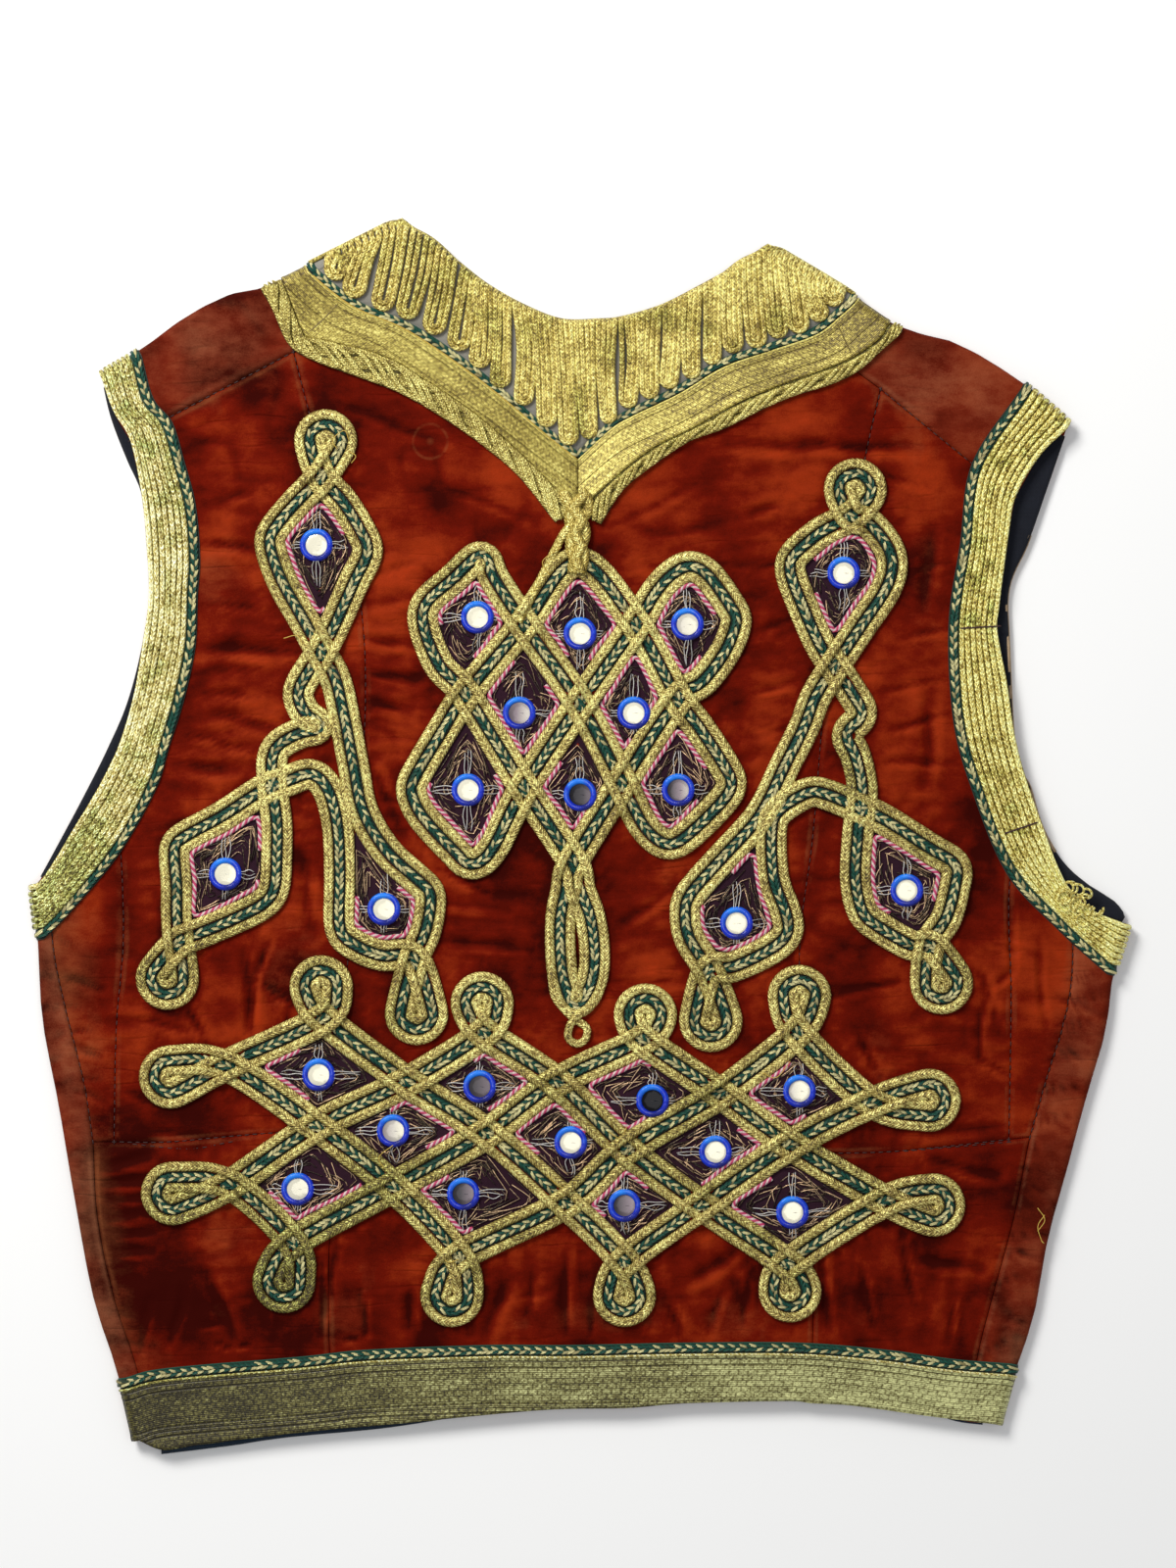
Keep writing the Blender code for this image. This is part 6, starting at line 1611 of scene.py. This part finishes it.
# %% Mirrors
# Painted reflections: what each mirror shows, as a shade from 0 black to 1 ivory, and how much that changes
# across it
PAINTED_REFLECTIONS = [(1.0, 0)] * 8 + [(0.85, 0.1), (0.56, 0.25), (1.0, 0), (1.0, 0), (0.2, 0.2), (0.45, 0.3), (0.95, 0),
                           (0.3, 0.1), (0.0, 0), (0.9, 0.2), (0.75, 0.2), (1.0, 0), (0.95, 0), (0.9, 0),
                           (0.3, 0.2), (0.38, 0.2), (1.0, 0)]
turn = np.linspace(0, 2 * np.pi, 40, endpoint=False)
facets = 1 - 0.035 * np.cos(7 * turn) * np.ones((len(CENTRES), 1))
rings = np.stack([round_fields(radius * facets, turn, FACE + height) for radius, height in (
    (4.95, 0.4), (4.95, 1.55), (4.55, 1.75), (2.4, 1.8), (0.2, 1.82))], axis=1)
shade, change = np.array(PAINTED_REFLECTIONS).T[..., None, None]
tones = shade + change * (rings[..., 0] - CENTRES[:, None, None, 0]) / 5.0
skin("mirrors", [(placed(rings), False, {"tone": tones})], MIRROR, FIELDS)

# %% [markdown]
# ## Neck
#
# A strip of grey cloth faces the neck edge. Gold cord stands on it in two dozen tall narrow loops that
# fan out from the edge, then come a row of chain stitch, a flat woven gold ribbon with a mitred corner
# near each shoulder, and a twisted rope that meets in a knot. Everything is drawn between the same few
# lines, so the rows keep together along the V.

# %% Facing
def shoulder_to_neck(side):
    """The part of a shoulder's fold from the neck's corner to the trims' outer end."""
    return part_of(resample(FOLDS["shoulder_" + side].core, STEP), end=np.array(SIDES[side]["neck_chain"][0]))


neck_edge = joined(curve(LEFT["neck_side"]), curve(NECK_BACK), curve(RIGHT["neck_side"]))
neck_rim = joined(curve(LEFT["neck_chain"]), curve(RIGHT["neck_chain"])[::-1])
facing = [resample(line, count=90) for line in (neck_edge, neck_rim)]
batches = [band(*facing, np.linspace(-0.01, 1.0, 9), 0.0, FACE, 0.45)]
for side in SIDES:
    line, out = shoulder_to_neck(side), FOLDS["shoulder_" + side].out
    batches.append(band(line - 1.0 * out, line + 4.5 * out, np.linspace(0, 1, 8), 0.0, FACE, 0.45))
cut_of("facing_of_neck", skin("facing_of_neck", batches, GREY_CLOTH, ["neck_facing"]), *facing)


# %% Where the loops stand
# They hang from the neck edge and, near the shoulders, from the folds that the cords go over.
def spread(line, *spans):
    """Lengths along a line, evenly spaced between the points nearest the two ends of each span."""
    places = [[lengths(line)[np.argmin(np.linalg.norm(line - end, axis=1))] for end in ends]
              for *ends, _ in spans]
    return np.concatenate([np.linspace(*ends, span[-1]) for ends, span in zip(places, spans)])


def run_at(line, places, reach):
    """Unit direction of a line at given lengths, from a reach before to a reach after."""
    return unit(at_lengths(line, places + reach) - at_lengths(line, places - reach))


shoulder_ends = {"left": (-106.0, 245.3), "right": (112.0, 230.0)}
hung_left, hung_right = (part_of(resample(FOLDS["shoulder_" + side].core, step=1.0), end=np.array(end))
                         for side, end in shoulder_ends.items())
hung = joined(hung_left[::-1], neck_edge, hung_right)
CORNERS = (neck_edge[0], neck_edge[-1])
hung_at = spread(hung, ((-102.5, 247.2), (-48.5, 238), 6), ((-41, 234), (-8, 219), 5),
                 ((2, 219), (108, 233), 13))
rim_at = spread(neck_rim, ((-107.5, 235.3), (-5, 164), 11), ((5, 166), (111.5, 224.6), 13))
edge_gaps, rim_gaps = np.gradient(hung_at), np.gradient(rim_at)
edge_runs, rim_runs = run_at(hung, hung_at, 1.5), run_at(neck_rim, rim_at, 3.0)
NECK_UNDER = -0.7          # height of a cord where it goes round the neck's edge


# %% Tall loops of cord
def neck_loop(i, start, tip, run):
    """Two loops of cord, one inside the other, from the edge to a tip: for each its line, its heights
    and its half widths. A leg passes the edge squarely, bends, and ends at the half circle of the tip."""
    on_fold = max(abs(FOLDS["shoulder_" + side].measure(start)[0]) < 2.0 for side in SIDES)
    ahead = unit(tip - start)
    aside = np.array([-ahead[1], ahead[0]])
    aside *= np.sign(aside @ run)
    outward = np.array([-run[1], run[0]])
    outward *= -np.sign(outward @ ahead)
    rng = np.random.default_rng(100 + i)
    outer = np.clip(0.5 * rim_gaps[i] * abs(rim_runs[i] @ aside) - 1.4, 2.6, 4.1)
    bow, lean = rng.normal(0, 0.6), rng.normal(0, 0.35)
    tip = tip + ahead * (rng.uniform(-0.8, 0.9) - 1.8) + lean * aside
    gauge = np.clip(0.135 * edge_gaps[i], 1.08, 1.42)
    arc_turn = np.linspace(0, np.pi, 13)[1:-1, None]
    loops = []
    for share, at_tip, half in ((0.37, outer, gauge), (0.125, max(outer - 2.4, 0.95), 0.93 * gauge)):
        low = tip - ahead * (outer + 1.2)
        arc = low + at_tip * (np.sin(arc_turn) * ahead - np.cos(arc_turn) * aside)
        legs = []
        for sign in (-1.0, 1.0):
            place = hung_at[i] + sign * share * edge_gaps[i]
            before, top, after = at_lengths(hung, place + np.array([-1.5, 0.0, 1.5]))
            square = unit(np.array([before[1] - after[1], after[0] - before[0]]))
            square *= -np.sign(square @ ahead)
            beyond = unit(square - 0.9 * ahead) * (1.0 + 0.35 * (1 - abs(square @ ahead)))
            near = min(np.linalg.norm(top - corner) for corner in CORNERS)
            past = 0.4 + 0.75 * smooth(near, 1.0, 5.0) + 2.1 * on_fold * smooth(near, 4.0, 12.0)
            end = low + sign * at_tip * aside
            bend = 0.5 * (top + end) + (bow + rng.normal(0, 0.2)) * aside
            leg = curve([top + beyond * past, top + beyond * 0.55 * past, top - beyond * 0.4, bend, end], 0.8)
            legs.append(resample(leg, count=24))
        path = np.vstack([legs[0], arc, legs[1][::-1]])
        distance = (path - start) @ outward
        on_top = FACE + 0.42 + rng.uniform(0.0, 0.2)
        heights = [on_top, FACE + 0.3, FACE + 0.25] if on_fold else [on_top, FACE + 0.1, NECK_UNDER]
        base = np.interp(distance, [-1.6, 0.0, 1.15], heights)
        loops.append((path, base, half + (1.26 - half) * smooth(-distance, 6.0, 34.0)))
    return loops


pairs = zip(at_lengths(hung, hung_at), at_lengths(neck_rim, rim_at), edge_runs)
loops = [loop for i, (start, tip, run) in enumerate(pairs) for loop in neck_loop(i, start, tip, run)]
paths, bases, halves = (np.array(parts) for parts in zip(*loops))
high = np.tile([2.0, 1.75], len(paths) // 2)[:, None]

# %% The cord along the neck's edge
rims = []
for side in SIDES:
    line = shoulder_to_neck(side)
    past_corner = smooth(lengths(line), 0.0, 6.0)
    line = line + 3.0 * past_corner[:, None] * FOLDS["shoulder_" + side].out
    rims.append(with_height(line, NECK_UNDER + (FACE + 1.0) * past_corner))
rolled = with_height(neck_edge - 0.25 * (direction(neck_edge) @ SPIN), NECK_UNDER)
rim = np.vstack([rims[0][:0:-1], rolled, rims[1][1:]])
for corner in CORNERS:
    close = hump(np.linalg.norm(rim[:, :2] - corner, axis=1), width=3.5)
    rim = rim + close[:, None] * [0.0, 1.1, 1.3]
tone = 0.5 + 0.12 * mottle(paths, 17.0, 33) + 0.1 * mottle(paths, 6.0, 34)
# the cord round the neck's edge has a darker tone, 0.38: painted shade where it turns down over the edge
skin("loops_of_neck_cord", [cords(paths, halves, high, bases, around=8, tone=tone, seed=12),
                            cords(rim[:, :2], 1.3, 1.9, rim[:, 2], around=8, tone=0.38, seed=21)],
     NECK_GOLD, ["neck_loops"])

# %% Ropes
# A rope is a twisted skein: each thin cord goes round it on a flattened screw.
ROPES = {"left": (3, 3, 48.0, 0.0), "right": (2, 3, 34.0, 0.9)}    # strands, cords in each, pitch, gap


def rope(side, lower, outer):
    """A rope between two lines, on a low padded strip. The angle of a cord is 2 pi * length / pitch plus
    its own share of the turn, and its place across is a sine of that angle."""
    strands, each, pitch, gap = ROPES[side]
    inner = resample(towards(lower, outer, gap)[1:], step=1.7)
    rim = resample(outer[1:], count=len(inner))
    width = np.linalg.norm(rim - inner, axis=1)
    thick = np.clip(0.13 * width, 0.65, 1.15)
    turns = np.array([k / strands + (j - 0.5 * (each - 1)) * 0.8 / (strands * each)
                      for k in range(strands) for j in range(each)])
    along = lengths(inner)
    theta = 2 * np.pi * (along / pitch + turns[:, None]) + 0.5 * np.sin(along / 19.0)
    share = 0.5 + (0.5 - thick / width) * np.sin(theta)
    screws = inner + share[..., None] * (rim - inner)
    across = np.linspace(0, 1, 9)
    # tone rises with cos(theta), where a cord comes to the top: painted light on top and painted shade below
    tone = 0.5 + 0.1 * mottle(screws, 12.0, 37) + 0.07 * np.cos(theta)
    # the strip under the cords is dark, tone 0.1: painted shade between the cords
    skin("twisted_rope_" + side, [
        band(lower[1:], outer[1:], across, 0.7 * np.sin(np.pi * across), FACE, 0.5, tone=0.1),
        cords(screws, thick, 1.5, FACE + 0.75 + 0.75 * np.cos(theta), around=8, tone=tone, seed=14)],
        ROPE_GOLD, ["neck_rope_" + side])


# %% Chain stitch, ribbon and rope on both sides of the V
MITRES = {"left": [(-103.6, 226.6), (-110, 220.0), (-117.0, 213.6)],
          "right": [(110.0, 218.5), (113, 212), (116.5, 204.6)]}
YELLOW_LINES = []
for side, tip in (("left", TIP - 0.1), ("right", TIP + 0.1)):
    middle, lower, outer = (resample(curve(SIDES[side][key]), count=120)
                            for key in ("neck_chain", "rope_inner", "rope_outer"))
    between, upper = towards(middle, lower, NECK_CHAIN_HALF), towards(middle, lower, -NECK_CHAIN_HALF)
    for line in (upper, lower, between, middle):
        line[-1, 0] = tip
    upper, lower, between, middle, outer = (over_fold(line, "shoulder_" + side)
                                            for line in (upper, lower, between, middle, outer))
    skin("neck_chain_stitch_" + side, [
        bed(upper, between, 0.6), chain(middle, 2.2, 0.95, 3.4, 0.88, 1.3, FACE + 0.8, 80)],
        CHAIN_STITCH, ["neck_chain_" + side])
    shares = np.linspace(0.0, 1.0, 15)
    ribs = 0.28 * hump(shares, 0.06, 0.05) + 0.22 * hump(shares, 0.93, 0.06)
    wave = 0.14 * mottle(spanned(between, lower, shares), 15.0, 35)
    tone = 0.47 + 0.14 * mottle(between, 30.0, 36) - 0.12 * smooth(np.abs(between[:, 0]), 100.0, 116.0)
    # the mitre's fold is a thin cord of darker tone, 0.26: painted shade in the fold
    ribbon = skin("neck_ribbon_" + side, [
        band(between, lower, shares, ribs + wave, FACE, 0.85, tone=tone),
        cords(towards(between, lower, 0.6), 0.42, 0.7, FACE + 0.75, around=6, tone=0.7, seed=13),
        cords(curve(MITRES[side], 1.0), 0.34, 0.45, FACE + 0.6, around=6, tone=0.26, seed=22)],
        GOLD_RIBBON, ["neck_galloon_" + side])
    cut_of("neck_ribbon_" + side, ribbon, between, lower)
    if side == "left":
        YELLOW_LINES.append(resample(towards(between, lower, 0.1)[4:], count=60))
    rope(side, lower, outer)

# %% Knot: a plait of three, and the one cord that leaves it
KNOT_PITCH = 5.2           # of the plait, for each radian
y = np.linspace(146.0, 111.0, 46)
wide = np.interp(y, [111.0, 122.0, 134.0, 146.0], [2.0, 3.0, 3.4, 6.0])
phases = y / KNOT_PITCH + np.array([0.0, 2.094, 4.189])[:, None]
plait = np.stack(np.broadcast_arrays(TIP + wide * np.sin(phases), y), -1)
over = 1.1 + 0.75 * np.cos(2 * phases)
single = curve([(-4.5, 131.0), (-8.2, 125.8), (-14.6, 113.0), (-21.5, 99.5), (-26.5, 90.0)], 1.2)
skin("plaited_knot", [
    cords(plait, 2.5, 2.2, FACE + 0.5 + over, tone=0.5 + 0.1 * mottle(plait, 8.0, 38), seed=15, flat=0.85),
    cords(single, 1.9, 2.0, FACE + 0.2 + 1.6 * smooth(single[:, 1], 122.0, 128.0), tone=0.55, seed=16)],
    NECK_GOLD, ["neck_knot"])

# %% [markdown]
# ## Armholes and hem
#
# Each armhole is edged with seven rows of thin gold cord sewn close together, inside them a row of
# chain stitch, and a dark lining shows past the edge. The hem has a wide woven ribbon, tarnished to
# olive, a row of chain above it and the lining's edge below.

# %% Armhole bands
# The gold of each armhole: its tone, and what is added to it at heights up the pattern
BAND_TONES = {"left": (0.45, [-60, 60, 150, 172, 205], [-0.36, 0.0, 0.0, -0.04, -0.2]),
              "right": (0.47, [-60, 0, 2, 86, 88, 190], [0.12, 0.12, 0.0, 0.06, -0.04, -0.06])}
LINING_THICK = -0.75       # below a front's underside
INWARD = np.array([0.0, 60.0])    # a place well inside the back


def frayed_curls(count=14, points=14):
    """Loose ends of thread at a corner: spirals that open from 1.2 to 3.4 mm and rise and fall."""
    rng = np.random.default_rng(3)
    centres = np.column_stack([rng.uniform(206, 225, count), rng.uniform(-37, -24, count)])
    turns = rng.uniform(0, 6, count)[:, None] + np.linspace(0, 4.4, points)
    reach = np.linspace(1.2, 3.4, points) * rng.uniform(0.7, 1.2, (count, 1))
    curls = centres[:, None] + reach[..., None] * compass(turns)
    return cords(curls, 0.55, 0.9, FACE + 1.9 + 0.4 * np.sin(turns), around=6, tone=0.55, seed=24)


def lining_strip(name, edge, deep, shares, puckers, finish, node):
    """Lining that shows past an edge: a strip on the front's underside, drawn in by soft puckers of a
    given depth, size and seed."""
    depth, size, seed = puckers
    heights = -depth * np.abs(mottle(spanned(edge, deep, shares), size, seed))
    strip = band(edge, deep, shares, heights, -FACE, LINING_THICK, layer="front")
    cut_of(name, skin(name, [strip], finish, [node]), edge, deep)


for side, lines in SIDES.items():
    opening = resample(curve(lines["arm_top"] + lines["arm"][1:] + lines["arm_end"][1:]), count=150)
    within = resample(curve(lines["band_inner"]), count=150)
    between = towards(within, opening, CHAIN_WIDTH)
    opening, within, between = (over_fold(line, "shoulder_" + side, "side_" + side)
                                for line in (opening, within, between))
    rows = []
    for row in range(BAND_ROWS):
        line = opening + (row + 0.5) / BAND_ROWS * (between - opening)
        rows.append(line + 0.12 * np.stack([mottle(line, 9.0, 40 + row), mottle(line, 9.0, 60 + row)], -1))
    rows = np.array(rows)
    width = np.linalg.norm(between - opening, axis=1) / BAND_ROWS
    middle_tone, levels, added = BAND_TONES[side]
    tone = middle_tone + 0.10 * mottle(rows, 24.0, 39) + 0.16 * mottle(rows, 3.6, 44)
    tone = tone + np.interp(opening[:, 1], levels, added)
    tone[0] += 0.2
    base = np.full(tone.shape, FACE + 0.15)
    base[0] -= 0.35
    # the strip under the rows has the darkest tone, 0.0: painted shade between the cords
    batches = [band(opening, between, np.linspace(0, 1, 5), 0.0, FACE, 0.45, tone=0.0),
               cords(rows, 0.47 * width, 1.9, base, around=8, tone=tone, seed=17)]
    if side == "right":
        batches.append(frayed_curls())
    skin("armhole_cords_" + side, batches, GOLD_BAND if side == "left" else WARM_BAND,
         ["armhole_band_" + side])
    skin("armhole_chain_stitch_" + side, [
        bed(between, within, 0.5),
        chain(0.5 * (between + within), 2.35, 1.15, 3.8, 0.98, 1.4, FACE + 0.75, 81)],
        CHAIN_STITCH, ["armhole_chain_" + side])
    edge = curve(lines["arm_front"], 3.0)[1:-1 if side == "left" else None]
    across = direction(edge) @ SPIN
    across *= np.sign(np.sum((INWARD - edge) * across, axis=1))[:, None]
    deep = edge + 20.0 * across
    if side == "right":
        edge -= across * np.interp(edge[:, 1:], [-40, -33, -24, -12], [2.5, 3.5, 0.4, 0.0])
    edge -= 0.5 * across
    lining_strip("armhole_lining_" + side, edge, deep, np.linspace(0, 1, 12), (0.35, 13.0, 45), NAVY,
                 "lining_armhole_" + side)

# %% The tan binding of the right front, seen past the armhole
bound = curve(RIGHT["arm_front"])
bound = bound[(bound[:, 1] > -9.0) & (bound[:, 1] < 128.0)]
skin("front_edge_binding", [cords(bound, 1.0, 1.7, -FACE - 0.9, layer="front", around=8, seed=26)],
     TAN_BINDING)

# %% Hem ribbon, chain and lining
top = resample(curve(HEM_CHAIN_TOP), count=200)
bottom = resample(joined(curve(HEM_LEFT), curve(HEM_MIDDLE), curve(HEM_RIGHT)), count=200)
between = towards(top, bottom, CHAIN_WIDTH)
top, bottom, between = (over_fold(line, "side_left", "side_right") for line in (top, bottom, between))
shares = np.linspace(0.0, 1.0, 24)
ribs = 0.3 * hump(shares, 0.07, 0.035) + 0.18 * hump(shares, 0.17, 0.025) + 0.22 * hump(shares, 0.95, 0.05)
surface = spanned(between, bottom, shares)
wave = 0.16 * mottle(surface, 26.0, 46) + 0.07 * mottle(surface, 9.0, 47)
tone = np.interp(between[:, 0], [-190, -120, -60, 40, 110, 190], [0.20, 0.34, 0.46, 0.58, 0.70, 0.76])
tone = tone + 0.05 * mottle(between, 22.0, 48)
ribbon = skin("hem_ribbon", [band(between, bottom, shares, ribs + wave, FACE, 0.85, tone=tone)],
              OLIVE_RIBBON, ["hem_galloon"])
cut_of("hem_ribbon", ribbon, between, bottom)
gold_line = towards(between, bottom, 0.6)
tone = np.interp(gold_line[:, 0], [-190, 0, 190], [0.3, 0.5, 0.55])
skin("hem_edge_cord", [cords(gold_line, 0.5, 1.2, FACE + 0.5, around=8, tone=tone, seed=18)],
     GOLD_BAND, ["hem_galloon"])
skin("hem_chain_stitch", [
    bed(top, between, 0.5),
    chain(0.5 * (top + between), 2.3, 1.2, 3.8, 0.95, 1.35, FACE + 0.7, 82, cream=0.95, green=1.12)],
    CHAIN_STITCH, ["hem_chain"])
low = resample(curve(LINING_HEM), step=3.0) + [0.0, 1.1]
lining_strip("hem_lining", low, low + [0.0, LINING_HEM_DEPTH], np.linspace(0, 1, 7), (0.3, 11.0, 49),
             HEM_NAVY, "lining_hem")

# %% [markdown]
# ## Sewing that shows
#
# Running stitches hold the seams, and here and there a thread has come loose. They are the smallest
# cords, in one mesh each.

# %% Seam stitches and loose threads
stitched = [(side[key], 3.4) for side in (left, right)
            for key in ("yoke", "princess", "panel", "seam", "waist")]
stitched += [(curve(line), 3.6) for line in QUILTED]
stitches = []
for line, pitch in stitched:
    at = resample(line, step=pitch)
    stitches.append(at[:, None] + np.array([-0.95, -0.3, 0.3, 0.95])[:, None] * direction(at)[:, None])
stitches = np.vstack(stitches)
base = FACE - 0.1 + np.minimum(relief(stitches)[0], 0.0) - 0.75 * EDGE_DROP * rounded(stitches)
joins = np.array([[(163.0, 87.3), (180.4, 88.3)], [(182.0, -0.6), (196.0, 4.2)]])
skin("seam_stitches", [
    cords(stitches, 0.26, 0.4, base, around=4, seed=19),
    cords([resample(line, count=14) for line in joins], 0.4, 0.5, FACE + 1.75, around=6, seed=25)],
    SEWING)

LOOSE = [
    [(-104, 164), (-106, 168), (-101, 172), (-99, 168)], [(-99, 163), (-96, 161), (-98, 158)],
    [(-8, 122), (-16, 116), (-13, 110)], [(-60, -178), (-57, -184), (-52, -183)],
    [(-118, 78), (-121, 84), (-127, 83)], [(90, -98), (84, -105), (78, -103)],
    [(12, -128), (17, -131), (22, -129)], [(14, -135), (18, -130), (20, -126)],
    [(-14, -147), (-8, -152), (-2, -150)], [(-80, -134), (-86, -139), (-84, -144)],
    [(196, -161), (199, -166), (196, -171)], [(199, -164), (196, -169), (198, -176)],
]
loose = [resample(curve(line, 0.8), count=24) for line in LOOSE]
heights = FACE + 2.3 + 0.5 * np.sin(np.linspace(0, np.pi, 24))
skin("loose_threads", [
    cords(loose, 0.22, 0.4, heights, around=4, tone=0.6, seed=20),
    cords(YELLOW_LINES, 0.3, 0.55, FACE + 1.15, around=6, tone=0.55, seed=23)], YELLOW)

# %% [markdown]
# ## What is cloth
#
# Every velvet panel, lining, facing, ribbon and patch is a sheet, and its cut is listed and printed:
# the flat width and length, and the area where the cut isn't a rectangle. The garment lies flat, so
# each is laid on the table or on the sheet below it. The patches of the fields are cut from one strip.

# %% Cuts of the sheets, printed
for name, (piece, width, length, area) in CUTS.items():
    float(min(area, width * length))
    print(f"{name}: cut {1000 * width:.0f} x {1000 * length:.0f} mm, area {10000 * area:.0f} square cm")

# %% [markdown]
# ## Table, light and camera
#
# The garment lies on a plain pale table under soft light from above, a little from the far left. The
# camera hangs straight over it.

# %% Table
def table_finish():
    """Pale matt white, a shade lighter and darker in very broad patches."""
    made = Finish("pale_table", Roughness=0.85, Specular_IOR_Level=0.2)
    cloud = made.noise(made.place(), 1.5, 2.0, 0.5)
    return made.finish(Base_Color=made.mix(cloud, (0.90, 0.90, 0.89), (0.93, 0.93, 0.92)))


TABLE_HALF = 4.0           # metres
TABLE_LINES = 9
across = np.linspace(-TABLE_HALF, TABLE_HALF, TABLE_LINES)
places = with_height(np.stack(np.meshgrid(across, across), -1), 0.0).reshape(-1, 3)
cells = grid_cells(np.arange(TABLE_LINES ** 2).reshape(TABLE_LINES, TABLE_LINES))
mesh = bpy.data.meshes.new("table_top")
mesh.from_pydata(places.tolist(), [], cells.tolist())
mesh.materials.append(table_finish())
table_top = linked("table_top", mesh)


# %% Lights and camera
def lamp(name, place, size, power, colour=(1.0, 1.0, 1.0)):
    """A square soft light at a place, turned to the middle of the garment."""
    data = bpy.data.lights.new(name, "AREA")
    data.shape, data.size, data.energy, data.color = "SQUARE", size, power, colour
    made = linked(name, data)
    made.location = place
    made.rotation_euler = (-Vector(place)).to_track_quat("-Z", "Y").to_euler()


lamp("window_light", (-0.75, 0.95, 1.15), 0.6, 27.0, (1.0, 0.985, 0.96))
lamp("ceiling_light", (0.35, -0.2, 2.3), 1.4, 10.0)
world = bpy.data.worlds.new("pale_room")
world.use_nodes = True
world.node_tree.nodes["Background"].inputs["Color"].default_value = (0.94, 0.96, 1.0, 1.0)
world.node_tree.nodes["Background"].inputs["Strength"].default_value = 0.34
bpy.context.scene.world = world
bpy.context.scene.view_settings.view_transform = "Standard"
bpy.context.scene.view_settings.look = "None"

SENSOR = 36.0              # millimetres
FRAME_HEIGHT = 0.672       # metres of table in view from top to bottom
CAMERA_RISE = 1.6          # metres over the garment
view_data = bpy.data.cameras.new("overhead_camera")
view_data.sensor_width, view_data.lens = SENSOR, SENSOR * CAMERA_RISE / FRAME_HEIGHT
camera = linked("overhead_camera", view_data)
camera.location = (0.0034, 0.0206, 0.008 + CAMERA_RISE)
bpy.context.scene.camera = camera

# %% Sizes and finish
print("added triangles:", sum(MADE.values()), "largest:", max(MADE, key=MADE.get), max(MADE.values()))
